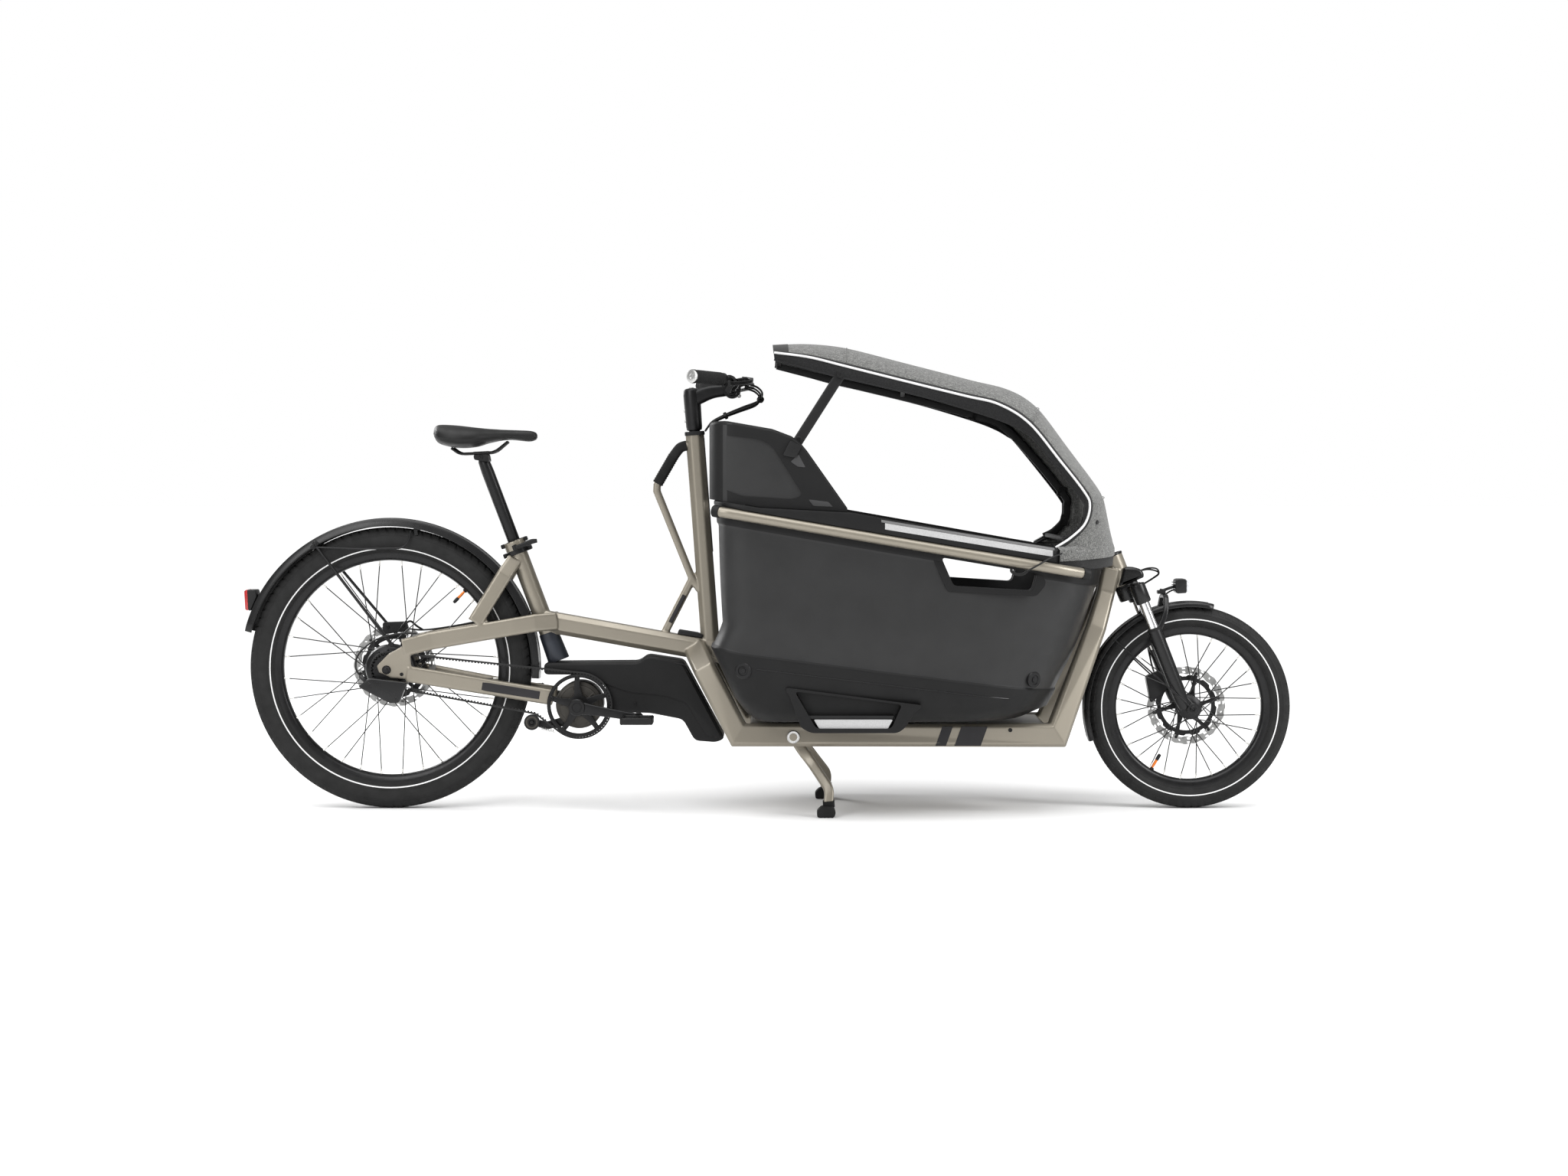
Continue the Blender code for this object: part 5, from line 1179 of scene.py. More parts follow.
# Steering ---------------------------------------------------------------------------------------
def stem():
    """Steering shaft in the column, its bell, the raised arm and the bar clamp with four bolts."""
    top = COLUMN_TOP + COLUMN_UP * 0.012
    bm = bmesh.new()
    lathe(bm, [(-0.28, 0.0138), (-0.006, 0.014), (-0.004, 0.019), (0.004, 0.0202), (0.06, 0.0212),
               (0.084, 0.0214), (0.096, 0.0196), (0.1, 0.015), (0.1015, 0.007)], top, COLUMN_UP, 48)
    path = [top + COLUMN_UP * 0.07 + Vector((-0.004, 0, 0)), Vector((-0.15, 0, 1.052)),
            HANDLEBAR + Vector((-0.01, 0, -0.001))]
    line = filleted(path, 0.02, 8)
    grow = [(1 - 0.1 * i / (len(line) - 1), 1.08 - 0.24 * i / (len(line) - 1)) for i in range(len(line))]
    sweep(bm, line, soft_section(0.035, 0.035, 0.01, 5), scales=grow)
    clamp = [(-0.0235, 0.0162), (-0.0235, 0.0212), (-0.0222, 0.0224), (0.0222, 0.0224), (0.0235, 0.0212),
             (0.0235, 0.0162)]
    lathe(bm, clamp, HANDLEBAR, steps=56, closed=True)
    piece("stem_body", bm, METAL, "steering", ["stem"])
    bm = bmesh.new()
    for y in (-0.015, 0.015):
        for up in (-1, 1):
            spot = HANDLEBAR + Vector((0.014, y, 0.013 * up))
            lathe(bm, [(-0.004, 0.0052), (0.006, 0.0052)], spot, (0.8, 0, 0.55 * up), 20)
            bolt(bm, spot + Vector((0.8, 0, 0.55 * up)).normalized() * 0.006, (0.8, 0, 0.55 * up), 0.0036,
                 0.0028, 16)
    bolt(bm, top + COLUMN_UP * 0.1, COLUMN_UP, 0.0062, 0.003, 20)
    for along in (0.018, 0.044):
        bolt(bm, top + COLUMN_UP * along + Vector((-0.0205, 0, 0)), (-1, 0, 0), 0.0042, 0.003, 16)
    piece("stem_bolts", bm, STEEL, "steering")


BAR_HALF = [(-0.091, 0, 1.059), (-0.0905, 0.04, 1.059), (-0.088, 0.1, 1.065),
            (-0.089, 0.15, 1.072), (-0.103, 0.205, 1.077), (-0.179, 0.312, 1.081)]
GRIP_INNER, GRIP_OUTER = Vector((-0.108, 0.212, 1.0773)), Vector((-0.1812, 0.315, 1.0811))


def mirrored(points, side):
    return [Vector((p[0], p[1] * side, p[2])) for p in points]


def handle_bar():
    """Swept-back bar, thicker in the middle."""
    line = mirrored(BAR_HALF[::-1], -1) + mirrored(BAR_HALF[1:], 1)
    line = filleted(line, 0.04, 6)
    bm = bmesh.new()
    sweep(bm, line, round_section(0.022, count=28), side=(0, 0, 1))
    lathe(bm, [(-0.03, 0.0112), (-0.027, 0.0156), (0.027, 0.0156), (0.03, 0.0112)], HANDLEBAR, steps=40)
    piece("swept_bar", bm, METAL, "steering", ["handlebar"])


def grips():
    """Rubber sleeves with fine ribs, a clamp ring inside and a pale end cap."""
    for name, side in SIDES:
        start, stop = mirrored([GRIP_INNER, GRIP_OUTER], side)
        way = (stop - start).normalized()
        length = (stop - start).length
        bm = bmesh.new()
        ribs = [(0.008, 0.015), (0.012, 0.016)]
        for i in range(13):
            along = 0.016 + i * 0.0072
            ribs += [(along, 0.0165), (along + 0.0024, 0.0165), (along + 0.0032, 0.0156),
                     (along + 0.0064, 0.0156)]
        ribs = [r for r in ribs if r[0] < length - 0.008]
        profile = ribs + [(length - 0.006, 0.017), (length - 0.0015, 0.0166), (length - 0.0015, 0.0112),
                          (0.008, 0.0112)]
        lathe(bm, profile, start, way, 40, closed=True)
        piece("grip_sleeve_" + name, bm, RUBBER, "steering", ["grip_" + name], sharp=50)
        bm = bmesh.new()
        lathe(bm, [(0.0, 0.0112), (0.0, 0.0148), (0.0008, 0.0156), (0.0072, 0.0156), (0.008, 0.0148),
                   (0.008, 0.0112)], start, way, 40, closed=True)
        bolt(bm, start + way * 0.004 + Vector((0, 0, -0.015)), (0, 0, -1), 0.0032, 0.003, 14)
        piece("grip_ring_" + name, bm, METAL, "steering")
        bm = bmesh.new()
        lathe(bm, [(-0.006, 0.0106), (-0.0012, 0.0108), (-0.0012, 0.0162), (0.0008, 0.0158),
                   (0.0022, 0.0128), (0.0022, 0.006), (0.001, 0.0048)], stop, way, 40)
        piece("grip_cap_" + name, bm, STEEL, "steering")


def brake_controls():
    """Clamp, body and curved lever on each side."""
    for name, side in SIDES:
        bm = bmesh.new()
        centre = Vector((-0.088, 0.128 * side, 1.069))
        way = Vector((-0.001, 0.05 * side, 0.007)).normalized()
        lathe(bm, [(-0.0062, 0.0112), (-0.0062, 0.0148), (-0.005, 0.016), (0.005, 0.016),
                   (0.0062, 0.0148), (0.0062, 0.0112)], centre, way, 36, closed=True)
        body = through([centre + Vector((0.012, 0.004 * side, 0.006)), (-0.066, 0.127 * side, 1.078),
                        (-0.056, 0.124 * side, 1.078), (-0.056, 0.11 * side, 1.069)], 5)
        sweep(bm, body, soft_section(0.014, 0.015, 0.0045, 4), side=(0, 0, 1),
              scales=[(1 - 0.3 * i / (len(body) - 1),) * 2 for i in range(len(body))])
        bolt(bm, centre + Vector((0, 0, -0.0155)), (0, 0, -1), 0.0036, 0.003, 14)
        piece("brake_body_" + name, bm, METAL, "steering")
        path = through(mirrored([(-0.056, 0.128, 1.08), (-0.042, 0.148, 1.0775), (-0.0425, 0.19, 1.0712),
                                 (-0.069, 0.24, 1.0662), (-0.088, 0.272, 1.0645),
                                 (-0.0925, 0.281, 1.064)], side), 7)
        grow = []
        for i in range(len(path)):
            t = i / (len(path) - 1)
            grow.append((1.0 - 0.15 * t + (0.3 if t > 0.96 else 0),
                         1.25 - 0.45 * t + (0.55 if t > 0.96 else 0)))
        bm = bmesh.new()
        sweep(bm, path, soft_section(0.0105, 0.0056, 0.002, 3), side=(0, 0, 1), scales=grow)
        lathe(bm, [(-0.0068, 0.004), (-0.006, 0.0048), (0.006, 0.0048), (0.0068, 0.004)],
              (-0.056, 0.13 * side, 1.0795), (0, 0, 1), 20)
        piece("brake_blade_" + name, bm, METAL, name + "_brake", ["brake_lever_" + name])


def display():
    """Small screen beside the stem and the thumb switch on the near side of the bar."""
    bm = bmesh.new()
    outline = rounded_loop([(-0.066, 1.0905), (-0.037, 1.087), (-0.0385, 1.075), (-0.069, 1.079)], 0.003)
    slab(bm, outline, -0.026, 0.026)
    soften(bm, 0.003, 3, 60)
    sweep(bm, [(-0.086, -0.022, 1.07), (-0.066, -0.022, 1.082), (-0.056, -0.018, 1.084)],
          soft_section(0.007, 0.008, 0.002, 3))
    lathe(bm, [(-0.005, 0.0112), (-0.005, 0.0146), (0.005, 0.0146), (0.005, 0.0112)],
          (-0.0905, -0.03, 1.059), (0, 1, 0), 32, closed=True)
    lathe(bm, [(-0.008, 0.0112), (-0.008, 0.0155), (0.008, 0.0155), (0.008, 0.0112)],
          (-0.093, -0.176, 1.0735), (-0.2, -1, 0.05), 32, closed=True)
    sweep(bm, [(-0.093, -0.176, 1.06), (-0.095, -0.188, 1.056)], soft_section(0.022, 0.013, 0.004, 4))
    piece("display_case", bm, PLASTIC, "steering")
    bm = bmesh.new()
    face = [(-0.0655, -0.0215), (-0.0375, -0.0215), (-0.0375, 0.0215), (-0.0655, 0.0215)]
    low, high = Vector((-0.0655, 0, 1.0908)), Vector((-0.0375, 0, 1.0874))
    rings = []
    for lift in (-0.0006, 0.0006):
        rings.append([bm.verts.new((x, y, low.z + (high.z - low.z) * (x - low.x) / (high.x - low.x) + lift))
                      for x, y in face])
    skin(bm, rings)
    piece("display_screen", bm, SCREEN, "steering")


def control_cables():
    """Three jackets from the bar into the column."""
    route = [(-0.054, -0.11, 1.064), (-0.03, -0.085, 1.056), (-0.018, -0.05, 1.042),
             (-0.028, -0.022, 1.024), (-0.07, -0.008, 1.008), (-0.108, -0.003, 0.993),
             (-0.142, 0.0, 0.976), (-0.1585, 0.0, 0.956)]
    bm = bmesh.new()
    for dx, dy, dz in ((0.0, 0.0, 0.0), (0.0035, 0.005, 0.006), (-0.003, 0.0058, -0.005)):
        line = []
        spots = through(route, 8)
        for i, p in enumerate(spots):
            ease = min(1, (len(spots) - 1 - i) / 26)
            line.append(p + Vector((dx, dy, dz)) * (0.35 + 0.65 * ease))
        sweep(bm, line, round_section(0.005, count=12), side=(0, 0.3, 1))
    for t in (0.36, 0.72):
        spots = through(route, 8)
        i = int(t * (len(spots) - 1))
        lathe(bm, [(-0.004, 0.008), (-0.003, 0.009), (0.003, 0.009), (0.004, 0.008)],
              spots[i] + Vector((0.0005, 0.0038, 0.0004)), spots[i + 1] - spots[i], 16)
    cables = new_object("control_cable_set", bm)
    cables.data.materials.append(CABLE)
    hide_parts("control_cables")
    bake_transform(cables)


# Fork and front ---------------------------------------------------------------------------------
def fork_point(down, ahead, y=0.0):
    return CROWN + STEER_DOWN * down + STEER_AHEAD * ahead + Vector((0, y, 0))


def on_both_legs(bm, profile, steps, closed=False, down=0.0, axis=STEER_DOWN):
    """The same turned part on each leg of the fork."""
    for side in (-1, 1):
        lathe(bm, profile, fork_point(down, LEG_OFFSET, LEG_Y * side), axis, steps, closed)


def fork_top():
    """Steerer and crown, with the bright stanchions as pieces of their own."""
    bm = bmesh.new()
    lathe(bm, [(-0.134, 0.0136), (-0.047, 0.014), (-0.045, 0.023), (-0.042, 0.024), (-0.014, 0.024),
               (-0.01, 0.0222)], CROWN, STEER_DOWN, 48)
    outline = [(fork_point(d, a).x, fork_point(d, a).z) for d, a in
               ((-0.0435, 0.004), (-0.0435, 0.038), (-0.012, 0.0415), (-0.012, 0.006))]
    slab(bm, rounded_loop(outline, 0.007, 4), -0.066, 0.066)
    soften(bm, 0.003, 2, 70)
    on_both_legs(bm, [(-0.0445, 0.014), (-0.0435, 0.0185), (-0.04, 0.0198), (0.003, 0.0198),
                      (0.0058, 0.018), (0.0058, 0.0137)], 40, closed=True)
    piece("fork_crown", bm, GLOSS, "fork")
    bm = bmesh.new()
    on_both_legs(bm, [(-0.03, 0.012), (-0.03, 0.0135), (0.204, 0.0135), (0.205, 0.012)], 40)
    piece("stanchions", bm, CHROME, "fork", ["fork_upper"])
    bm = bmesh.new()
    on_both_legs(bm, [(0, 0.0105), (0.0016, 0.0102), (0.0026, 0.0085)], 24, down=-0.0445, axis=-STEER_DOWN)
    lathe(bm, [(-0.047, 0.0255), (-0.0455, 0.0265), (-0.0455, 0.015), (-0.047, 0.015)], CROWN, STEER_DOWN,
          40, closed=True)
    piece("fork_caps", bm, METAL, "fork")


def fork_bottom():
    """Sliding legs with their bridge, axle, dust seals, bolts, caliper and brake hose."""
    bm = bmesh.new()
    for side in (-1, 1):
        foot = fork_point(0, LEG_OFFSET, LEG_Y * side)
        lathe(bm, [(0.081, 0.0137), (0.078, 0.0175), (0.079, 0.0184), (0.09, 0.0186), (0.12, 0.0182),
                   (0.24, 0.018), (0.268, 0.0168), (0.288, 0.0136), (0.2925, 0.0105), (0.2925, 0.002),
                   (0.245, 0.002), (0.245, 0.0143), (0.085, 0.0143)], foot, STEER_DOWN, 44, closed=True)
        centre = FRONT_AXLE + Vector((0, LEG_Y * side, 0))
        lathe(bm, [(-0.0125, 0.0138), (-0.011, 0.015), (0.011, 0.015), (0.0125, 0.0138)], centre,
              steps=36)
        ankle = centre.lerp(fork_point(0.262, LEG_OFFSET, LEG_Y * side), 0.4)
        sweep(bm, [fork_point(0.256, LEG_OFFSET, LEG_Y * side), ankle, centre],
              soft_section(0.0165, 0.023, 0.005, 4), scales=[(1, 1), (1.02, 1.1), (1, 1)])
    arch = filleted([(0.978, -LEG_Y, 0.448), (1.0, -0.058, 0.498), (1.003, -0.036, 0.535),
                     (1.003, 0.036, 0.535), (1.0, 0.058, 0.498), (0.978, LEG_Y, 0.448)], 0.022, 6)
    sweep(bm, arch, soft_section(0.013, 0.0165, 0.004, 4), side=(1, 0, 0))
    lathe(bm, [(-0.0695, 0.005), (-0.069, 0.006), (0.069, 0.006), (0.0695, 0.005)], FRONT_AXLE, steps=24)
    piece("fork_sliders", bm, GLOSS, "fork_legs", ["fork_lower"])
    bm = bmesh.new()
    on_both_legs(bm, [(0.0735, 0.015), (0.0745, 0.0166), (0.0785, 0.0186), (0.0805, 0.0186),
                      (0.0805, 0.0139), (0.0735, 0.0139)], 40, closed=True)
    piece("dust_seals", bm, RUBBER, "fork_legs")
    bm = bmesh.new()
    for side in (-1, 1):
        spot = FRONT_AXLE + Vector((0, (LEG_Y + 0.0125) * side, 0))
        bolt(bm, spot, (0, side, 0), 0.0082, 0.005, 24)
        bolt(bm, fork_point(0.2925, LEG_OFFSET, LEG_Y * side), STEER_DOWN, 0.005, 0.003, 16)
    piece("fork_bolts", bm, METAL, "fork_legs")
    bm = bmesh.new()
    slab(bm, rounded_loop([(0.962, 0.33), (1.008, 0.35), (1.02, 0.3), (0.975, 0.262)], 0.008, 4),
         0.0285, 0.059)
    soften(bm, 0.003, 3, 60)
    body = new_object("front_brake_body", bm)
    disc = bmesh.new()
    lathe(disc, [(-0.0036, 0.1012), (0.0036, 0.1012)],
          FRONT_AXLE + Vector((0, centre_of("front_rotor").y, 0)), steps=64)
    cut(body, disc)
    shade_again(body, 35)
    dress(body, METAL, "fork_legs")
    bm = bmesh.new()
    for x, z in ((0.976, 0.32), (1.006, 0.332), (0.99, 0.286)):
        bolt(bm, (x, 0.059, z), (0, 1, 0), 0.0046, 0.003, 14)
    sweep(bm, through([(0.985, 0.048, 0.342), (0.978, 0.058, 0.372), (0.972, 0.072, 0.42),
                       (0.982, 0.066, 0.47), (0.995, 0.058, 0.505)], 7), round_section(0.0048, count=10))
    piece("front_brake_hose", bm, CABLE, "fork_legs")


def guard_section(half, lip, thick):
    """Cross-section of a mudguard: shallow crown, rolled lips."""
    outer = [(-half, -lip), (-half + 0.001, -lip * 0.45), (-half + 0.0048, -0.0012), (-half * 0.5, 0.0),
             (0, 0.0004), (half * 0.5, 0.0), (half - 0.0048, -0.0012), (half - 0.001, -lip * 0.45),
             (half, -lip)]
    inner = [(y * (1 - thick / half), z - (thick if abs(y) < half * 0.8 else 0.0))
             for y, z in reversed(outer)]
    return outer + inner


def guard(name, centre, radius, start, stop, half, lip, body, replaces):
    """Curved mudguard with a rolled edge and a soft centre ridge."""
    count = 90
    bm = bmesh.new()
    rings = []
    section = guard_section(half, lip, 0.0022)
    for i in range(count + 1):
        t = i / count
        angle = radians(start + (stop - start) * t)
        near_end = min(t, 1 - t) * radians(abs(stop - start)) * radius
        pinch = 1 if near_end > 0.012 else 0.86 + 0.14 * (near_end / 0.012) ** 0.5
        rings.append([bm.verts.new(polar(centre, radius + z, angle, y * pinch)) for y, z in section])
    skin(bm, rings)
    piece(name, bm, GLOSS, body, replaces, sharp=50)
    bm = bmesh.new()
    ridge = [polar(centre, radius + 0.0004,
                   radians(start + (stop - start) * i / count)) for i in range(2, count - 1)]
    sweep(bm, ridge, [(-0.006, -0.0006), (0.006, -0.0006), (0.003, 0.0009), (-0.003, 0.0009)])
    for edge in (-1, 1):
        bead = [polar(centre, radius - lip + 0.0008, radians(start + (stop - start) * i / count),
                      (half - 0.0004) * edge) for i in range(1, count)]
        sweep(bm, bead, round_section(0.003, count=8))
    piece(name + "_beads", bm, GLOSS, body)


def rear_guard():
    guard("rear_mudguard", REAR_AXLE, 0.3785, 165.5, -4, 0.036, 0.019, "root", ["rear_fender"])
    bm = bmesh.new()
    for side in (-1, 1):
        wire = filleted(mirrored([(-0.942, 0.085, 0.42), (-0.96, 0.082, 0.441), (-1.129, 0.04, 0.653),
                                  (-1.1458, 0.035, 0.674)], side), 0.012, 5)
        sweep(bm, wire, round_section(0.0074, count=14))
        lathe(bm, [(0, 0.0062), (0.004, 0.0062), (0.006, 0.0045)], (-0.942, 0.083 * side, 0.42),
              (0, side, 0), 20)
        clip = Vector((-1.14, 0.037 * side, 0.668))
        sweep(bm, [clip - Vector((0.008, 0, 0.01)), clip + Vector((0.006, 0, 0.008))],
              soft_section(0.008, 0.013, 0.003, 3))
        bolt(bm, clip + Vector((0, 0.004 * side, 0)), (0, side, 0), 0.0045, 0.003, 14)
        brace = filleted(mirrored([(-1.14, 0.04, 0.662), (-1.03, 0.043, 0.658), (-0.922, 0.042, 0.66),
                                   (-0.905, 0.041, 0.674), (-0.9, 0.0365, 0.704)], side), 0.02, 5)
        sweep(bm, brace, round_section(0.0046, count=12))
    piece("mudguard_stays", bm, METAL)
    bm = bmesh.new()
    sweep(bm, [(-0.892, 0.0, 0.7005), (-0.884, 0.0, 0.702)], soft_section(0.06, 0.02, 0.003, 3))
    sweep(bm, through([(-0.8, 0, 0.685), (-0.775, 0, 0.66), (-0.74, 0, 0.615), (-0.705, 0, 0.59)], 5),
          soft_section(0.016, 0.005, 0.0015, 2))
    piece("mudguard_bracket", bm, PLASTIC)


def rear_lamp():
    """Housing, ribbed red lens and the foot on the mudguard."""
    bm = bmesh.new()
    housing = rounded_loop([(-1.3155, 0.554), (-1.2945, 0.554), (-1.291, 0.5375), (-1.307, 0.501),
                            (-1.313, 0.5025)], 0.003)
    slab(bm, housing, -0.0255, 0.0255)
    soften(bm, 0.0022, 3, 60)
    sweep(bm, [(-1.299, 0, 0.533), (-1.285, 0, 0.535)], soft_section(0.018, 0.022, 0.004, 3))
    piece("rear_lamp_housing", bm, PLASTIC, "root")
    bm = bmesh.new()
    glass = rounded_loop([(-1.323, 0.551), (-1.318, 0.5545), (-1.3145, 0.5545), (-1.312, 0.503),
                          (-1.316, 0.502), (-1.3205, 0.5045)], 0.002)
    slab(bm, glass, -0.0245, 0.0245)
    soften(bm, 0.002, 3, 60)
    piece("rear_lamp_lens", bm, RED, "root", ["tail_light"])


def front_guard():
    guard("front_mudguard", FRONT_AXLE, 0.268, 199, 77, 0.031, 0.013, "fork_legs", ["front_fender"])
    bm = bmesh.new()
    for side in (-1, 1):
        stay = filleted(mirrored([(1.0665, 0.0815, 0.2565), (1.04, 0.088, 0.28), (0.998, 0.085, 0.317),
                                  (0.872, 0.033, 0.43)], side), 0.02, 5)
        sweep(bm, stay, round_section(0.004, count=12))
    sweep(bm, [(0.992, 0, 0.514), (0.996, 0, 0.533)], soft_section(0.024, 0.008, 0.002, 3))
    piece("front_guard_stays", bm, METAL, "fork_legs")


def front_lamp():
    """Lamp on its bracket above the bridge, with a clear lens."""
    bm = bmesh.new()
    outline = rounded_loop([(1.0285, 0.549), (1.0285, 0.578), (1.034, 0.5815), (1.056, 0.5815),
                            (1.0575, 0.546), (1.034, 0.5445)], 0.005, 4)
    slab(bm, outline, -0.0235, 0.0235)
    soften(bm, 0.004, 4, 60)
    for i in range(4):
        z = 0.553 + i * 0.0065
        sweep(bm, [(1.0265, -0.014, z), (1.0265, 0.014, z)], soft_section(0.005, 0.0022, 0.0008, 2),
              side=(1, 0, 0))
    sweep(bm, through([(0.99, 0, 0.5475), (1.012, 0, 0.556), (1.033, 0, 0.563)], 5),
          soft_section(0.01, 0.007, 0.002, 3))
    slab(bm, rounded_loop([(0.985, 0.5432), (0.985, 0.5515), (1.006, 0.5555), (1.006, 0.5432)], 0.002),
         -0.0078, 0.0078)
    bolt(bm, (0.996, 0, 0.553), (0.1, 0, 1), 0.0042, 0.003, 14)
    piece("front_lamp_body", bm, GLOSS, "fork_legs", ["headlight"])
    bm = bmesh.new()
    slab(bm, rounded_loop([(1.057, 0.579), (1.061, 0.577), (1.0635, 0.572), (1.0635, 0.556),
                           (1.061, 0.55), (1.057, 0.548)], 0.003), -0.0205, 0.0205)
    soften(bm, 0.0018, 3, 60)
    piece("front_lamp_lens", bm, CLEAR, "fork_legs")


def nose():
    """Rounded black cover over the front of the head tube."""
    bm = bmesh.new()
    line = [(0.896, 0.612), (0.927, 0.611), (0.941, 0.606), (0.948, 0.596), (0.9485, 0.586),
            (0.924, 0.5755), (0.899, 0.5665), (0.884, 0.562)]
    outline = rounded_loop(line, 0.008, 4)
    stations = ((0.0338, 0.0075), (0.0325, 0.0035), (0.029, 0.001), (0.023, 0.0))
    rings = []
    for half, inward in stations + tuple(reversed(stations)):
        side = 1 if len(rings) >= len(stations) else -1
        rings.append([bm.verts.new((x, half * side, z)) for x, z in shrunk(outline, inward)])
    skin(bm, rings)
    cover = new_object("nose_cap", bm, 50)
    core = bmesh.new()
    lathe(core, [(-0.2, 0.0252), (0.0, 0.0252)], CROWN, STEER_DOWN, 40)
    cut(cover, core)
    shade_again(cover, 50)
    dress(cover, GLOSS, "root", ["nose_cover"])
    bm = bmesh.new()
    lathe(bm, [(-0.05, 0.0256), (-0.0485, 0.0268), (-0.0465, 0.0268), (-0.0465, 0.018), (-0.05, 0.018)],
          CROWN, STEER_DOWN, 44, closed=True)
    lathe(bm, [(-0.1335, 0.02), (-0.1325, 0.0262), (-0.128, 0.0266), (-0.128, 0.018), (-0.1335, 0.018)],
          CROWN, STEER_DOWN, 44, closed=True)
    piece("headset_rings", bm, METAL)


def front_cables():
    """Loops from the nose cover to the fork, and the lamp's own lead."""
    bm = bmesh.new()
    for shift in (0.0, 0.006):
        line = through([(0.938, 0.005 + shift, 0.6), (0.964, 0.008 + shift, 0.608 - shift * 0.6),
                        (0.986, 0.014 + shift, 0.606 - shift), (0.992, 0.02 + shift, 0.593),
                        (0.98, 0.028 + shift, 0.582), (0.962, 0.034 + shift, 0.57),
                        (0.945, 0.036 + shift, 0.56)], 8)
        sweep(bm, line, round_section(0.0042, count=12))
    loop = new_object("front_cable_loop", bm)
    loop.data.materials.append(CABLE)
    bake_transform(loop)
    bm = bmesh.new()
    sweep(bm, through([(1.03, 0.006, 0.554), (1.018, 0.011, 0.548), (1.008, 0.016, 0.54)], 6),
          round_section(0.0042, count=12))
    piece("front_lamp_cable", bm, CABLE, "fork_legs")


saddle()
seat_post()
seat_lever()
stem()
handle_bar()
grips()
brake_controls()
display()
control_cables()
fork_top()
fork_bottom()
rear_guard()
rear_lamp()
front_guard()
front_lamp()
nose()
front_cables()


# Box --------------------------------------------------------------------------------------------
def level(table, z):
    """Value at a height, read from (height, value) pairs."""
    for (z0, a), (z1, b) in zip(table, table[1:]):
        if z <= z1:
            return a + (b - a) * max(0, (z - z0)) / (z1 - z0)
    return table[-1][1]


REARS = [(0.24, -0.03), (0.268, -0.058), (0.3, -0.082), (0.425, -0.1395), (0.48, -0.113), (0.74, -0.125)]
FRONTS = [(0.24, 0.64), (0.268, 0.702), (0.3, 0.719), (0.335, 0.736), (0.425, 0.778), (0.48, 0.796),
          (0.578, 0.831)]
HALVES = [(0.24, 0.245), (0.268, 0.275), (0.3, 0.29), (0.425, 0.303), (0.48, 0.305)]


def sizes_at(z):
    """Rear end, front end and half width of the outer wall at a height."""
    return level(REARS, z), level(FRONTS, z), level(HALVES, z)


def rail_line(x):
    return 0.753 - 0.1699 * (x + 0.102)


def rim_line(x):
    top = 0.772 - 0.053 * (x + 0.142) if x < 0.2 else 0.754 - 0.176 * (x - 0.2)
    return max(top, rail_line(x) + SIDE_RAIL_R + 0.014)


def crease_line(x):
    """Edge between the raised lower band and the panel above it."""
    return 0.403 - 0.1274 * (x + 0.01) + 0.12 * max(0, -0.065 - x)


def plan_columns():
    """Points round the box, as shares of its length and half width, with the outward direction."""
    rear, front, half = -0.113, 0.772, BOX_HALF_WIDTH
    length = front - rear
    right = [(rear + 0.04, -0.05), (rear, -0.078), (rear, -half * 0.8), (rear + 0.02, -half * 0.95),
             (rear + 0.06, -half), (rear + length * 0.62, -half), (rear + length * 0.78, -half * 0.965),
             (rear + length * 0.9, -half * 0.82), (rear + length * 0.965, -half * 0.58),
             (front, -half * 0.26)]
    outline = right + [(x, -y) for x, y in reversed(right)]
    line = []
    for i, point in enumerate(outline):
        line.append(point)
        if i in (4, 14):
            after = outline[i + 1]
            line += [(point[0] + (after[0] - point[0]) * j / 14, point[1]) for j in range(1, 14)]
    line = rounded_loop(line, 0.032, 3)
    columns = []
    for i, (x, y) in enumerate(line):
        before, after = line[i - 1], line[(i + 1) % len(line)]
        out = Vector((after[1] - before[1], before[0] - after[0])).normalized()
        columns.append(((x - rear) / length, y / half, out.x, out.y))
    return columns


COLUMNS = plan_columns()


def box_ring(bm, height, lift=0.0, sizes=None):
    """One row of vertices round the box, moved outwards by lift.  sizes: rear, front and half width."""
    ring = []
    for u, v, out_x, out_y in COLUMNS:
        z = 0.45
        for _ in range(6):
            rear, front, half = sizes or sizes_at(z)
            x = rear + u * (front - rear) + out_x * lift
            z = height(x) if callable(height) else height
        ring.append(bm.verts.new((x, v * half + out_y * lift, z)))
    return ring


def wall_spot(x, z, side, sizes=None):
    """Point on the outer wall at a place along the box, with the outward direction."""
    rear, front, half = sizes or sizes_at(z)
    best = None
    for u, v, out_x, out_y in COLUMNS:
        if v * side < 0.35:
            continue
        spot = Vector((rear + u * (front - rear), v * half, z))
        if best is None or abs(spot.x - x) < abs(best[0].x - x):
            best = (spot, Vector((out_x, out_y, 0)))
    spot, out = best
    slide = (x - spot.x) / max(abs(out.y), 0.3)
    along = Vector((-out.y, out.x, 0)) * (1 if out.y < 0 else -1)
    return spot + along * slide, out


COLLAR = (-0.131, 0.841, BOX_HALF_WIDTH + 0.02)
ABOVE_RAIL = (-0.127, 0.836, BOX_HALF_WIDTH)
WINDOW = [(0.42, 0.645), (0.652, 0.606), (0.64, 0.564), (0.45, 0.576)]
FOOT_RECESS = [(0.066, 0.32), (0.326, 0.288), (0.3, 0.23), (0.118, 0.23)]


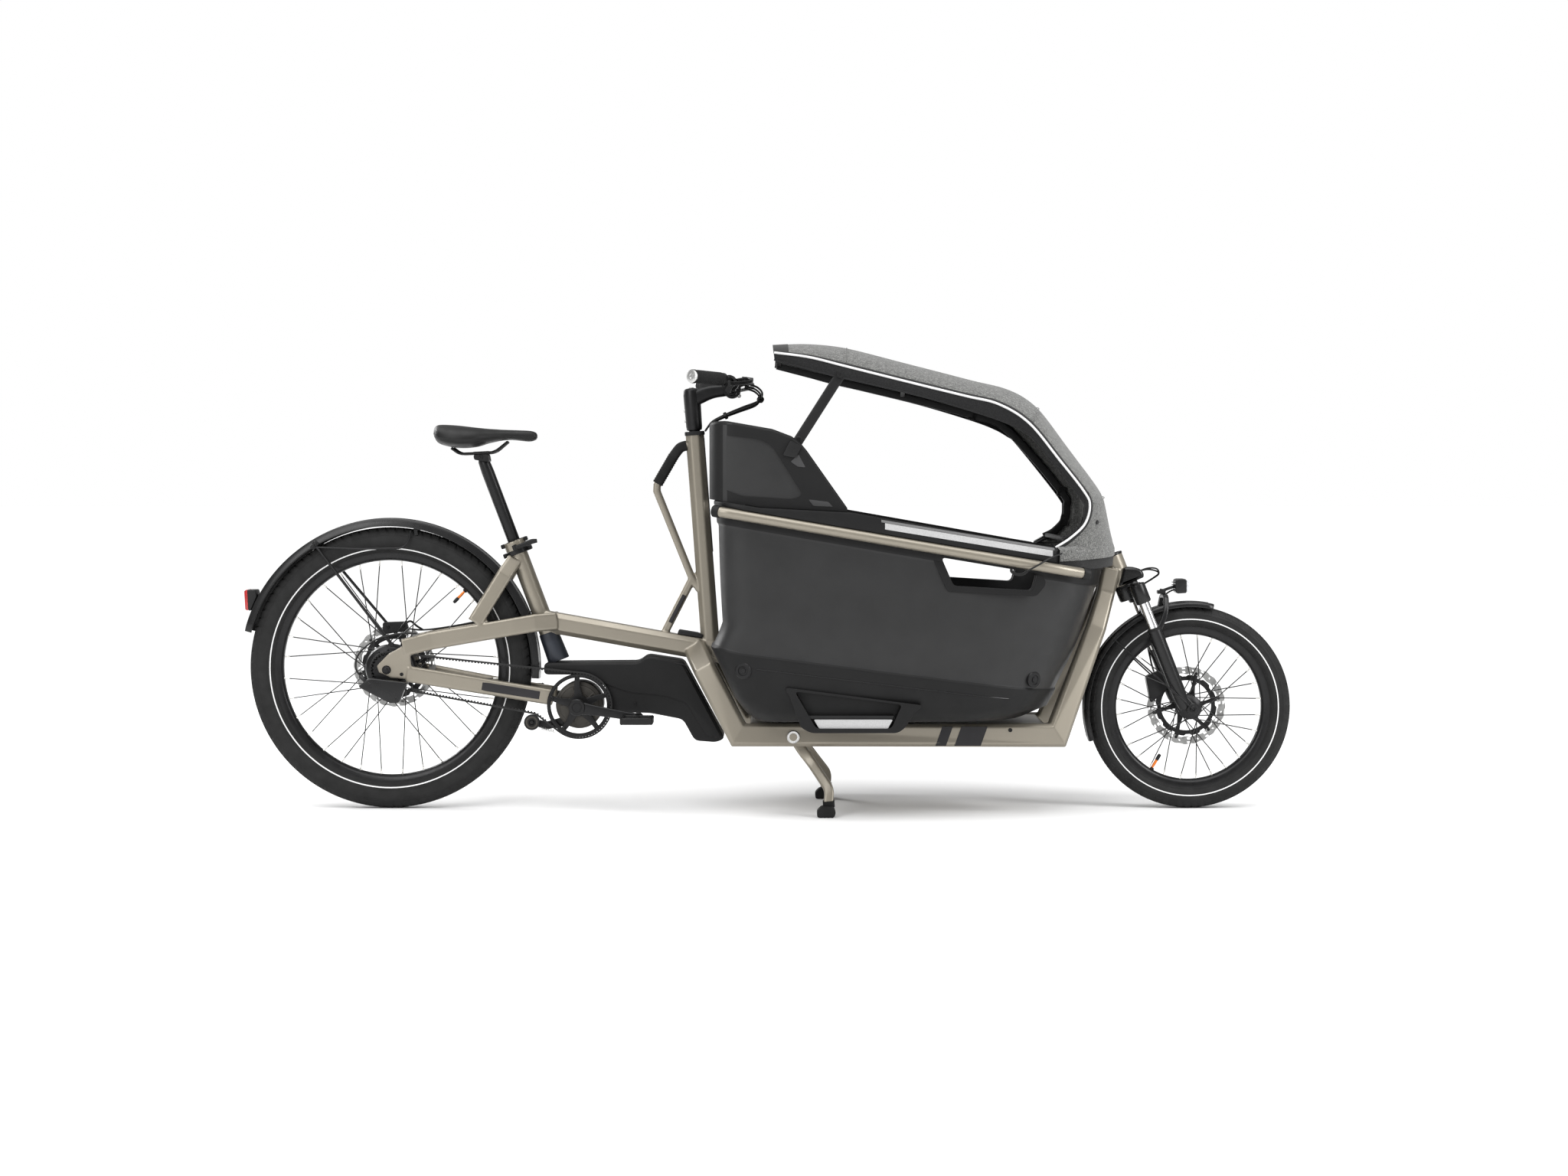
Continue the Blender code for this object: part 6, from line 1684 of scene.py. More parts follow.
def box_shell():
    """Open tub: raised lower band, recessed panel, groove for the rail, stepped collar, liner and floor."""
    bm = bmesh.new()
    rows = [(0.2405, -0.006), (0.2415, -0.0025), (0.245, 0.0), (0.256, 0.0), (0.268, 0.0),
            (0.284, 0.0), (0.3, 0.0)]
    for t in (0.25, 0.5, 0.75):
        rows.append((lambda x, t=t: 0.3 + (crease_line(x) - 0.306) * t, 0.0))
    for gap, lift in ((-0.006, 0.0), (-0.0025, -0.0003), (0.0, -0.0018), (0.0025, -0.0036),
                      (0.006, -0.0042)):
        rows.append((lambda x, gap=gap: crease_line(x) + gap, lift))
    for t in (0.1, 0.2, 0.3, 0.4, 0.5, 0.6, 0.7, 0.8, 0.9):
        rows.append((lambda x, t=t: (crease_line(x) + 0.006) * (1 - t) + (rail_line(x) - 0.036) * t,
                     -0.0042 + 0.0022 * sin(pi * t)))
    for gap, lift in ((-0.036, -0.0042), (-0.0325, -0.0036), (-0.03, -0.0018), (-0.0275, -0.0003),
                      (-0.024, 0.0), (-0.0165, 0.0)):
        rows.append((lambda x, gap=gap: rail_line(x) + gap, lift))
    rings = [box_ring(bm, height, lift) for height, lift in rows]
    over = SIDE_RAIL_R + 0.001
    rings.append(box_ring(bm, lambda x: rail_line(x) + over, 0.0, ABOVE_RAIL))
    rings.append(box_ring(bm, lambda x: rail_line(x) + over, -0.003, COLLAR))
    rings.append(box_ring(bm, lambda x: rail_line(x) + over + 0.0008, -0.0008, COLLAR))
    rings.append(box_ring(bm, lambda x: rail_line(x) + over + 0.003, 0.0, COLLAR))
    for drop, lift in ((0.006, 0.0), (0.0022, -0.001), (0.0005, -0.003), (0.0, -0.006), (0.0, -0.023),
                       (0.001, -0.0265), (0.004, -0.0285)):
        rings.append(box_ring(bm, lambda x, drop=drop: rim_line(x) - drop, lift, COLLAR))
    liner = (-0.118, 0.8, BOX_HALF_WIDTH)
    rings.append(box_ring(bm, lambda x: min(rim_line(x) - 0.06, 0.64), -0.026, (-0.124, 0.815, 0.31)))
    rings.append(box_ring(bm, 0.56, -0.024, liner))
    rings.append(box_ring(bm, 0.44, -0.024, (-0.094, 0.757, BOX_HALF_WIDTH - 0.011)))
    rings.append(box_ring(bm, 0.33, -0.024, (-0.07, 0.716, BOX_HALF_WIDTH - 0.022)))
    rings.append(box_ring(bm, 0.286, -0.024, (-0.048, 0.697, BOX_HALF_WIDTH - 0.04)))
    rings.append(box_ring(bm, 0.276, -0.027, (-0.036, 0.69, BOX_HALF_WIDTH - 0.045)))
    skin(bm, rings)
    tub = new_object("box_tub", bm, 34)
    window = bmesh.new()
    slab(window, rounded_loop(WINDOW, 0.011, 5), -0.5, 0.5)
    cut(tub, window)
    recess = bmesh.new()
    outline = rounded_loop(FOOT_RECESS, 0.01, 4)
    for side in (-1, 1):
        slab(recess, outline, 0.268 * side, 0.4 * side)
    cut(tub, recess)
    shade_again(tub, 34)
    dress(tub, BOX, "root", ["cargo_box"])
    tub.data.materials.append(BOX_TRIM)
    for face in tub.data.polygons:
        x, y, z = face.center
        panel = crease_line(x) + 0.003 < z < rail_line(x) - 0.03 and face.normal.z < 0.5
        outside = face.normal.x * (x - 0.33) + face.normal.y * y > 0
        face.material_index = 0 if panel and outside else 1


def pierced(name, outlines, hole, y_low, y_high, material, width=0.0015):
    """Plate on both walls with an opening through it."""
    bm = bmesh.new()
    for side in (-1, 1):
        slab(bm, outlines, y_low * side, y_high * side)
    soften(bm, width, 3, 50)
    plate = new_object(name, bm)
    opening = bmesh.new()
    slab(opening, hole, -0.5, 0.5)
    cut(plate, opening)
    shade_again(plate, 35)
    return dress(plate, material, "root")


def box_details():
    """Window lips, foot recess, reflectors, bolts, groove and floor mat."""
    window = rounded_loop(WINDOW, 0.011, 5)
    lips = [(0.398, 0.644), (0.434, 0.562), (0.65, 0.55), (0.674, 0.58), (0.668, 0.601)]
    pierced("window_lips", rounded_loop(lips, 0.012, 4), window, 0.296, 0.3046, BOX_TRIM)
    recess = rounded_loop(FOOT_RECESS, 0.01, 4)
    border = [(0.041, 0.33), (0.055, 0.304), (0.081, 0.232), (0.106, 0.219), (0.315, 0.219),
              (0.333, 0.231), (0.355, 0.268), (0.377, 0.286)]
    pierced("foot_recess_frame", rounded_loop(border, 0.01, 4), recess, 0.264, 0.303, BOX_TRIM, 0.004)
    bm = bmesh.new()
    lining = bmesh.new()
    for side in (-1, 1):
        slab(bm, rounded_loop([(0.112, 0.252), (0.304, 0.252), (0.291, 0.2285), (0.126, 0.2285)], 0.004,
                              3), 0.295 * side, 0.299 * side)
        slab(lining, [(0.07, 0.316), (0.322, 0.285), (0.298, 0.226), (0.12, 0.226)], 0.2655 * side,
             0.269 * side)
        slab(lining, [(0.098, 0.261), (0.306, 0.261), (0.304, 0.254), (0.104, 0.254)], 0.266 * side,
             0.3 * side)
    soften(bm, 0.0008, 2, 60)
    piece("recess_reflectors", bm, STRIP_WHITE)
    piece("recess_lining", lining, PLASTIC)
    bm = bmesh.new()
    for side in (-1, 1):
        for x, z in ((-0.059, 0.37), (0.651, 0.344)):
            spot, out = wall_spot(x, z, side)
            lathe(bm, [(-0.004, 0.0195), (0.0012, 0.02), (0.003, 0.018), (0.003, 0.012),
                       (0.001, 0.0108), (0.001, 0.007), (0.003, 0.0062), (0.003, 0.0)], spot, out, 40)
    piece("wall_bolts", bm, METAL)
    bm = bmesh.new()
    for side in (-1, 1):
        line = []
        for i in range(26):
            x = -0.026 + 0.613 * i / 25
            z = 0.374 - 0.1223 * (x + 0.026)
            spot, out = wall_spot(x, z, side)
            line.append(spot + out * 0.0001)
        sweep(bm, line, round_section(0.0026, count=8), side=(0, 0, 1))
    piece("band_groove", bm, GLOSS)
    bm = bmesh.new()
    mat = box_ring(bm, 0.2765, -0.04, (-0.036, 0.69, BOX_HALF_WIDTH - 0.045))
    top = box_ring(bm, 0.28, -0.041, (-0.036, 0.69, BOX_HALF_WIDTH - 0.045))
    skin(bm, [mat, top])
    for i in range(30):
        x = 0.275 + i * 0.012
        slab(bm, [(x, 0.2795), (x + 0.005, 0.2795), (x + 0.004, 0.2812), (x + 0.001, 0.2812)], -0.19,
             0.19)
    piece("floor_mat", bm, RUBBER)


def ribbon(name, low_line, high_line, start, stop, material, lift=0.001):
    """Thin strip stuck round the collar between two height lines, on both sides."""
    bm = bmesh.new()
    for side in (-1, 1):
        rows = ([], [], [], [])
        for i in range(33):
            x = start + (stop - start) * i / 32
            for row, line, away in zip(rows, (low_line, high_line, high_line, low_line),
                                       (lift, lift, -0.0004, -0.0004)):
                spot, out = wall_spot(x, line(x), side, COLLAR)
                row.append(bm.verts.new(spot + out * away))
        skin(bm, [list(ring) for ring in zip(*rows)])
    piece(name, bm, material)


def collar_strips():
    def top(x):
        return 0.739 - 0.1638 * (x - 0.269)

    ribbon("collar_strip_white", lambda x: top(x) - 0.0235, lambda x: top(x) - 0.0085, 0.283, 0.69,
           STRIP_WHITE)
    ribbon("collar_strip_grey", lambda x: top(x) - 0.0078, lambda x: top(x) - 0.0018, 0.274, 0.694,
           STRIP_GREY)


def side_rails():
    bm = bmesh.new()
    y = BOX_HALF_WIDTH + SIDE_RAIL_R + 0.001
    for side in (-1, 1):
        path = filleted([(-0.126, (y - 0.012) * side, 0.757), (-0.102, y * side, 0.753),
                         (0.6, y * side, 0.6337), (0.7, (y - 0.012) * side, 0.6167),
                         (0.775, (y - 0.045) * side, 0.604)], 0.03, 6)
        sweep(bm, path, round_section(SIDE_RAIL_R * 2, count=28))
        for end, way in ((path[0], path[0] - path[1]), (path[-1], path[-1] - path[-2])):
            lathe(bm, [(-0.001, SIDE_RAIL_R - 0.0002), (0.0012, SIDE_RAIL_R - 0.0024)], end, way, 28)
    soften(bm, 0.0008, 2, 60)
    piece("side_rails", bm, PAINT, "root", ["side_rail_right", "side_rail_left"])


def rail_cups():
    """Dark cups that take the ends of the side rails."""
    bm = bmesh.new()
    y = BOX_HALF_WIDTH + SIDE_RAIL_R + 0.001
    for side in (-1, 1):
        for end, after in (((-0.126, y - 0.012, 0.757), (-0.102, y, 0.753)),
                           ((0.775, y - 0.045, 0.604), (0.7, y - 0.012, 0.6167))):
            start, stop = mirrored([end, after], side)
            way = (stop - start).normalized()
            lathe(bm, [(-0.006, 0.006), (-0.006, 0.012), (-0.003, 0.0148), (0.012, 0.015),
                       (0.0135, 0.0142), (0.0135, 0.0118), (0.0, 0.0118), (0.0, 0.006)], start, way, 36,
                  closed=True)
    piece("rail_cups", bm, BOX_TRIM)


def backrest():
    """Raised back with two side wings: rounded corners, a soft top edge and recessed side panels."""
    top_line = [(-0.142, 0.966), (-0.126, 0.9735), (-0.1, 0.9745), (0.012, 0.955), (0.062, 0.936),
                (0.088, 0.913), (0.196, 0.76)]
    plan = filleted([(0.193, -0.288, 0), (-0.13, -0.288, 0), (-0.13, 0.288, 0), (0.193, 0.288, 0)], 0.055,
                    10)
    path = []
    for a, b in zip(plan, plan[1:]):
        count = max(1, int((b - a).length / 0.012))
        path += [a.lerp(b, i / count) for i in range(count)]
    path.append(plan[-1])
    bm = bmesh.new()
    rings = []
    for i, spot in enumerate(path):
        run = (path[min(i + 1, len(path) - 1)] - path[max(i - 1, 0)]).normalized()
        out = Vector((run.y, -run.x, 0))
        top = level(top_line, spot.x)
        foot = rim_line(spot.x) + 0.0012
        top = max(top, foot + 0.004)
        half, edge = 0.0118, min(0.009, (top - foot) * 0.45)
        section = [(-half, foot), (half, foot)]
        for j in range(7):
            angle = pi / 2 * j / 6
            section.append((half - edge + edge * cos(angle), top - edge + edge * sin(angle)))
        for j in range(7):
            angle = pi / 2 * (1 + j / 6)
            section.append((-half + edge + edge * cos(angle), top - edge + edge * sin(angle)))
        rings.append([bm.verts.new(spot - out * u + Vector((0, 0, z))) for u, z in section])
    skin(bm, rings)
    shell = new_object("backrest_body", bm, 34)
    cutter = bmesh.new()
    outline = rounded_loop([(-0.122, 0.942), (-0.018, 0.93), (0.012, 0.913), (0.086, 0.795),
                            (0.06, 0.785), (-0.063, 0.793), (-0.118, 0.816)], 0.014, 5)
    for side in (-1, 1):
        slab(cutter, outline, 0.2968 * side, 0.34 * side)
    cut(shell, cutter)
    shade_again(shell, 34)
    dress(shell, BOX_TRIM, "root", ["backrest_shell"])
    shell.data.materials.append(BOX)
    for face in shell.data.polygons:
        if abs(abs(face.center.y) - 0.2968) < 0.0008 and abs(face.normal.y) > 0.9:
            face.material_index = 1
    bm = bmesh.new()
    for side in (-1, 1):
        for outline in ([(0.075, 0.894), (0.092, 0.862), (0.073, 0.864), (0.056, 0.876)],
                        [(0.099, 0.785), (0.147, 0.779), (0.158, 0.767), (0.111, 0.769)]):
            slab(bm, rounded_loop(outline, 0.003, 3), 0.2955 * side, 0.3008 * side)
    soften(bm, 0.0006, 2, 60)
    piece("wing_inserts", bm, INSERT)
    bm = bmesh.new()
    for side in (-1, 1):
        slab(bm, rounded_loop([(0.056, 0.928), (0.082, 0.912), (0.068, 0.885), (0.037, 0.891)], 0.005, 3),
             0.296 * side, 0.306 * side)
    for y in (-0.2, -0.07, 0.07, 0.2):
        bolt(bm, (-0.1182, y, 0.9), (1, 0, 0), 0.006, 0.003, 18)
    soften(bm, 0.002, 2, 60)
    piece("strut_sockets", bm, PLASTIC)


def bench():
    """Seat board on its front panel, with ribs and belt anchors."""
    bm = bmesh.new()
    outline = rounded_loop([(-0.028, 0.47), (-0.028, 0.492), (0.235, 0.505), (0.248, 0.285),
                            (0.226, 0.285), (0.214, 0.484)], 0.006, 3)
    slab(bm, outline, -0.234, 0.234)
    soften(bm, 0.003, 2, 60)
    for y in (-0.15, 0.0, 0.15):
        sweep(bm, [(0.2425, y, 0.48), (0.253, y, 0.3)], soft_section(0.03, 0.006, 0.002, 3))
    piece("bench_board", bm, PLASTIC, "root", ["bench_seat"])
    bm = bmesh.new()
    for y in (-0.125, 0.125):
        for across in (-0.045, 0.045):
            strap = through([(-0.1125, y + across, 0.86), (-0.1, y + across, 0.76),
                             (-0.086, y + across, 0.62), (-0.03, y + across * 1.1, 0.552)], 6)
            sweep(bm, strap, soft_section(0.024, 0.0022, 0.0008, 2))
    piece("harness_straps", bm, BINDING)


def bench_cushion():
    """Seat pad blown up as cloth, then stitched into three channels."""
    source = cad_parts["seat_cushion"]
    bm = bmesh.new()
    bm.from_mesh(source.data)
    low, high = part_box("seat_cushion")
    pad = new_object("bench_pad", bm)
    remesh = pad.modifiers.new("remesh", "REMESH")
    remesh.mode = "VOXEL"
    remesh.voxel_size = 0.0085
    applied(pad)
    start = [v.co.copy() for v in pad.data.vertices]
    cloth = pad.modifiers.new("cloth", "CLOTH")
    cloth.settings.quality = 5
    cloth.settings.mass = 0.3
    cloth.settings.tension_stiffness = 12
    cloth.settings.compression_stiffness = 12
    cloth.settings.bending_stiffness = 0.8
    cloth.settings.use_pressure = True
    cloth.settings.uniform_pressure_force = 4
    cloth.settings.effector_weights.gravity = 0
    cloth.collision_settings.use_collision = False
    cloth.point_cache.frame_start, cloth.point_cache.frame_end = 1, 20
    scene = bpy.context.scene
    for frame_number in range(1, 21):
        scene.frame_set(frame_number)
    applied(pad)
    scene.frame_set(1)
    for vertex, before in zip(pad.data.vertices, start):
        move = vertex.co - before
        if move.length > 0.008:
            move *= 0.008 / move.length
        spot = before + move
        share = (spot.x - low.x) / (high.x - low.x)
        spot.z = max(spot.z, low.z + 0.013 * share + 0.0002)
        if spot.z > low.z + 0.02 + 0.013 * share:
            for y in (-0.075, 0.075):
                spot.z -= 0.011 * 2.718 ** -(((spot.y - y) / 0.012) ** 2)
        vertex.co = spot
    finer = pad.modifiers.new("finer", "SUBSURF")
    finer.levels = finer.render_levels = 1
    applied(pad)
    pad.data.shade_smooth()
    dress(pad, CUSHION, "root", ["seat_cushion"])


box_shell()
box_details()
collar_strips()
side_rails()
rail_cups()
backrest()
bench()
bench_cushion()


# Canopy -----------------------------------------------------------------------------------------
CANOPY_RIBS = [
    # middle line x, z; edge x, z; half width at the edge
    (0.012, 1.168, 0.016, 1.143, 0.215), (0.1, 1.172, 0.1, 1.131, 0.238),
    (0.193, 1.162, 0.187, 1.109, 0.252), (0.348, 1.122, 0.35, 1.068, 0.262),
    (0.5, 1.084, 0.48, 1.036, 0.268), (0.601, 1.058, 0.56, 1.016, 0.272),
    (0.67, 1.012, 0.634, 0.97, 0.274), (0.745, 0.918, 0.708, 0.881, 0.272),
    (0.81, 0.832, 0.769, 0.804, 0.266), (0.835, 0.79, 0.784, 0.77, 0.258),
    (0.85, 0.745, 0.773, 0.726, 0.254), (0.861, 0.7, 0.738, 0.692, 0.26),
    (0.868, 0.668, 0.7, 0.668, 0.27),
]
ROWS_PER_SPAN, ACROSS = 7, 44


def canopy_rows():
    """Middle and edge points of every row of the cloth, each with its half width."""
    middles = through([(x, z, half) for x, z, _, _, half in CANOPY_RIBS], ROWS_PER_SPAN)
    edges = through([(x, z, half) for _, _, x, z, half in CANOPY_RIBS], ROWS_PER_SPAN)
    return list(zip(middles, edges))


def canopy_spot(row, t, inward=0.0):
    """Point of the cloth on a row, t from -1 to 1 across it, moved inwards."""
    middle, edge = row
    drop = abs(t) ** 2.6
    x, z = middle.x + (edge.x - middle.x) * drop, middle.y + (edge.y - middle.y) * drop
    away = Vector((x - 0.36, z - 0.66)).normalized() * inward
    y = (middle.z - inward * 0.7) * t * (1.25 - 0.25 * t * t)
    return Vector((x - away.x, y, z - away.y))


def edge_of(grid):
    """Vertices round the edge of a grid, in order."""
    return grid[0] + [row[-1] for row in grid[1:]] + grid[-1][-2::-1] + [row[0] for row in grid[-2:0:-1]]


def strip_of(bm, row_points, deep):
    """Closed thin strip between two grids of points."""
    outer = [[bm.verts.new(p) for p in row] for row in row_points]
    inner = [[bm.verts.new(p) for p in row] for row in deep]
    skin(bm, outer, loop=False)
    skin(bm, inner, loop=False)
    rim_out, rim_in = edge_of(outer), edge_of(inner)
    for i in range(len(rim_out)):
        j = (i + 1) % len(rim_out)
        bm.faces.new((rim_out[i], rim_out[j], rim_in[j], rim_in[i]))


def canopy():
    """Roof and front of one shaped cloth, and all that is sewn to it or hangs from it."""
    rows = canopy_rows()
    shares = [-1 + 2 * i / ACROSS for i in range(ACROSS + 1)]
    seam_rows = (2 * ROWS_PER_SPAN, 6 * ROWS_PER_SPAN, 9 * ROWS_PER_SPAN)

    def sag(n, t):
        """Slight hollow between the bows and a fine pucker along the seams."""
        near = min(abs(n - s) for s in seam_rows)
        return (0.0016 * (1 - abs(t) ** 4) * (0.5 - 0.5 * cos(2 * pi * n / (len(rows) - 1) * 4))
                + 0.0007 * sin(t * 58) * max(0, 1 - near / 3))

    outer = [[canopy_spot(row, t, sag(n, t)) for t in shares] for n, row in enumerate(rows)]
    inner = [[canopy_spot(row, t, sag(n, t) + 0.0024) for t in shares] for n, row in enumerate(rows)]
    bm = bmesh.new()
    strip_of(bm, outer, inner)
    cloth = piece("canopy_cloth", bm, CANOPY, "canopy", ["canopy_fabric"], sharp=70)

    bm = bmesh.new()
    for n in seam_rows:
        line = [canopy_spot(rows[n], t, sag(n, t) - 0.0004) for t in shares[1:-1]]
        for shift in (-0.0035, 0.0035):
            sweep(bm, [p + Vector((shift, 0, 0)) for p in line], soft_section(0.0016, 0.0012, 0.0004, 1),
                  side=(1, 0, 0))
    seams = piece("canopy_seams", bm, CANOPY, "canopy")

    bm = bmesh.new()
    for side in (-1, 1):
        run = [canopy_spot(row, side, 0.001) + Vector((0, 0.0012 * side, 0)) for row in rows]
        sweep(bm, run, round_section(0.0058, count=12))
    piping = piece("canopy_piping", bm, PIPING, "canopy")

    bm = bmesh.new()
    for side in (-1, 1):
        grids = []
        for lift in (-0.0012, 0.0036):
            grids.append([[canopy_spot(row, t * side, lift) + Vector((0, 0.0004 * side, 0))
                           for t in (0.955, 0.97, 0.985, 0.999)] for row in rows])
        strip_of(bm, grids[0], grids[1])
    grids = [[[canopy_spot(rows[n], t, sag(n, t) + lift) for t in shares] for n in range(4)]
             for lift in (-0.001, 0.0036)]
    strip_of(bm, grids[0], grids[1])
    binding = piece("canopy_binding", bm, BINDING, "canopy", sharp=60)

    bm = bmesh.new()
    hem, band = ([], []), ([], [])
    for step in range(61):
        t = -1 + 2 * step / 60
        top = canopy_spot(rows[-1], t)
        near, out = collar_spot(top)
        reach = max((top - near).dot(out), 0.0045)
        band_foot = max(0.612 + 0.01 * (1 - abs(t)), 0.6465 - 2.5 * max(0, abs(top.y) - 0.036))
        hem_foot = max(0.6345 + 0.014 * (1 - abs(t)), band_foot + 0.003)
        for i, away in enumerate((0.003, 0.001)):
            base = near + out * (reach + away)
            heights = (0.662, 0.653, hem_foot + 0.0015, hem_foot)
            hem[i].append([top + Vector((0, 0, 0.003)) + out * (away - 0.003)]
                          + [Vector((base.x, base.y, z)) for z in heights])
            under = near + out * (reach * 0.96 + away - 0.0018)
            tucked = near + out * (reach * 0.8 + away)
            halfway = under.lerp(tucked, 0.3)
            band[i].append([Vector((under.x, under.y, hem_foot + 0.006)),
                            Vector((under.x, under.y, hem_foot)),
                            halfway + Vector((0, 0, band_foot * 0.5 + hem_foot * 0.5 - under.z)),
                            Vector((tucked.x, tucked.y, band_foot))])
    strip_of(bm, hem[0], hem[1])
    lower_hem = piece("canopy_hem", bm, CANOPY, "canopy", sharp=60)
    bm = bmesh.new()
    strip_of(bm, band[0], band[1])
    skirt = piece("canopy_skirt", bm, BINDING, "canopy", sharp=60)

    bm = bmesh.new()
    for side in (-1, 1):
        for x, z in ((0.763, 0.795), (0.806, 0.73), (0.752, 0.706)):
            spot, out = cloth_spot(rows, x, z, side)
            lathe(bm, [(-0.003, 0.005), (0.001, 0.0054), (0.0022, 0.0046), (0.0022, 0.0)], spot, out, 22)
    fasteners = piece("canopy_fasteners", bm, PLASTIC, "canopy")

    bm = bmesh.new()
    for side in (-1, 1):
        strap = through([(0.712, 0.292 * side, 0.654), (0.682, 0.316 * side, 0.644),
                         (0.65, 0.3315 * side, 0.627), (0.62, 0.3345 * side, 0.611)], 7)
        sweep(bm, strap, round_section(0.0044, count=12))
        hook = through([(0.624, 0.3345 * side, 0.613), (0.614, 0.335 * side, 0.606),
                        (0.6, 0.335 * side, 0.605), (0.588, 0.334 * side, 0.611),
                        (0.586, 0.332 * side, 0.618)], 6)
        sweep(bm, hook, soft_section(0.0048, 0.007, 0.0016, 3))
    straps = piece("canopy_straps", bm, CABLE, "canopy")
    lining = canopy_lining(rows)


def even(line, count):
    """The line's points, evenly spaced."""
    lengths = [0.0]
    for a, b in zip(line, line[1:]):
        lengths.append(lengths[-1] + (b - a).length)
    spots, i = [], 0
    for n in range(count):
        wanted = lengths[-1] * n / (count - 1)
        while i < len(line) - 2 and lengths[i + 1] < wanted:
            i += 1
        spots.append(line[i].lerp(line[i + 1], (wanted - lengths[i]) / (lengths[i + 1] - lengths[i])))
    return spots


def canopy_lining(rows):
    """Dark inner band from the cloth's edge round the side hoops."""
    edge = [(0.016, 1.125), (0.155, 1.086), (0.25, 1.064), (0.394, 1.029), (0.528, 0.989), (0.59, 0.966),
            (0.626, 0.946), (0.652, 0.924), (0.762, 0.786), (0.772, 0.755), (0.765, 0.722), (0.735, 0.684),
            (0.692, 0.657)]
    bm = bmesh.new()
    for side in (-1, 1):
        outer = even([canopy_spot(row, side, 0.002) for row in rows], 90)
        inner = even(through([(x, 0.256 * side, z) for x, z in edge], 8), 90)
        grids = ([], [])
        for a, b in zip(outer, inner):
            b = Vector((b.x, min(abs(a.y) - 0.004, abs(b.y)) * side, b.z))
            for grid, shift in zip(grids, (0.001, -0.0014)):
                grid.append([a.lerp(b, t) + Vector((0, (shift + 0.0025 * sin(pi * t)) * side, 0))
                             for t in (0, 0.2, 0.4, 0.6, 0.8, 1.0)])
        strip_of(bm, grids[0], grids[1])
        sweep(bm, [row[-1] for row in grids[0]], round_section(0.0042, count=8))
    return piece("canopy_lining", bm, MESH, "canopy", sharp=60)


def collar_spot(top):
    """Nearest place on the outside of the collar to a point of the cloth's lower edge."""
    best = None
    rear, front, half = COLLAR
    for u, v, out_x, out_y in COLUMNS:
        spot = Vector((rear + u * (front - rear), v * half, top.z))
        if best is None or (spot - top).length < (best[0] - top).length:
            best = (spot, Vector((out_x, out_y, 0)))
    spot, out = best
    tangent = Vector((-out.y, out.x, 0))
    return spot + tangent * (top - spot).dot(tangent), out


def cloth_spot(rows, x, z, side):
    """Point on the cloth's flank and its outward direction."""
    best = None
    for n in range(1, len(rows) - 1):
        for i in range(8, 24):
            t = side * (0.4 + 0.6 * i / 24)
            spot = canopy_spot(rows[n], t)
            away = abs(spot.x - x) + abs(spot.z - z)
            if best is None or away < best[0]:
                along = canopy_spot(rows[n + 1], t) - canopy_spot(rows[n - 1], t)
                across = canopy_spot(rows[n], t + 0.02) - canopy_spot(rows[n], t - 0.02)
                out = along.cross(across).normalized()
                best = (away, spot, out if out.y * side > 0 else -out)
    return best[1], best[2]


def canopy_bows():
    """Flat side hoops, rounded cross bows and the two struts, with their joints."""
    hoop = [(0.022, 0.205, 1.128), (0.175, 0.238, 1.09), (0.35, 0.246, 1.049), (0.535, 0.252, 1.001),
            (0.628, 0.252, 0.96), (0.768, 0.238, 0.8), (0.78, 0.232, 0.76), (0.774, 0.228, 0.726),
            (0.748, 0.236, 0.696), (0.722, 0.24, 0.682)]
    bm = bmesh.new()
    for side in (-1, 1):
        sweep(bm, through([(x, y * side, z) for x, y, z in hoop], 7), soft_section(0.01, 0.02, 0.004, 4))
        strut = [(0.176, 0.24 * side, 1.086), (0.0715, 0.259 * side, 0.922)]
        sweep(bm, strut, soft_section(0.011, 0.025, 0.004, 4))
        for spot in ((0.176, 0.248 * side, 1.087), (0.076, 0.265 * side, 0.929)):
            lathe(bm, [(-0.002, 0.009), (0.0015, 0.0092), (0.003, 0.0078), (0.003, 0.004),
                       (0.0015, 0.0036), (0.0015, 0.0)], spot, (0, side, 0), 26)
    for x, half, z in ((0.026, 0.205, 1.127), (0.35, 0.246, 1.049), (0.73, 0.238, 0.686)):
        rise = 0.034 if z > 1 else 0.0
        line = through([(x, -half, z), (x, -half * 0.8, z + rise * 0.62),
                        (x, -half * 0.4, z + rise * 0.97), (x, 0, z + rise),
                        (x, half * 0.4, z + rise * 0.97), (x, half * 0.8, z + rise * 0.62), (x, half, z)],
                       6)
        sweep(bm, line, soft_section(0.013, 0.011, 0.0035, 4), side=(1, 0, 0))
    piece("canopy_bows", bm, PLASTIC, "canopy", ["canopy_frame"])
    bm = bmesh.new()
    for side in (-1, 1):
        for x, y, z in hoop[1:-2:2]:
            sweep(bm, [(x - 0.01, (y + 0.0015) * side, z + 0.003),
                       (x + 0.01, (y + 0.0015) * side, z - 0.002)],
                  soft_section(0.013, 0.028, 0.004, 3))
    piece("bow_sleeves", bm, BINDING, "canopy")


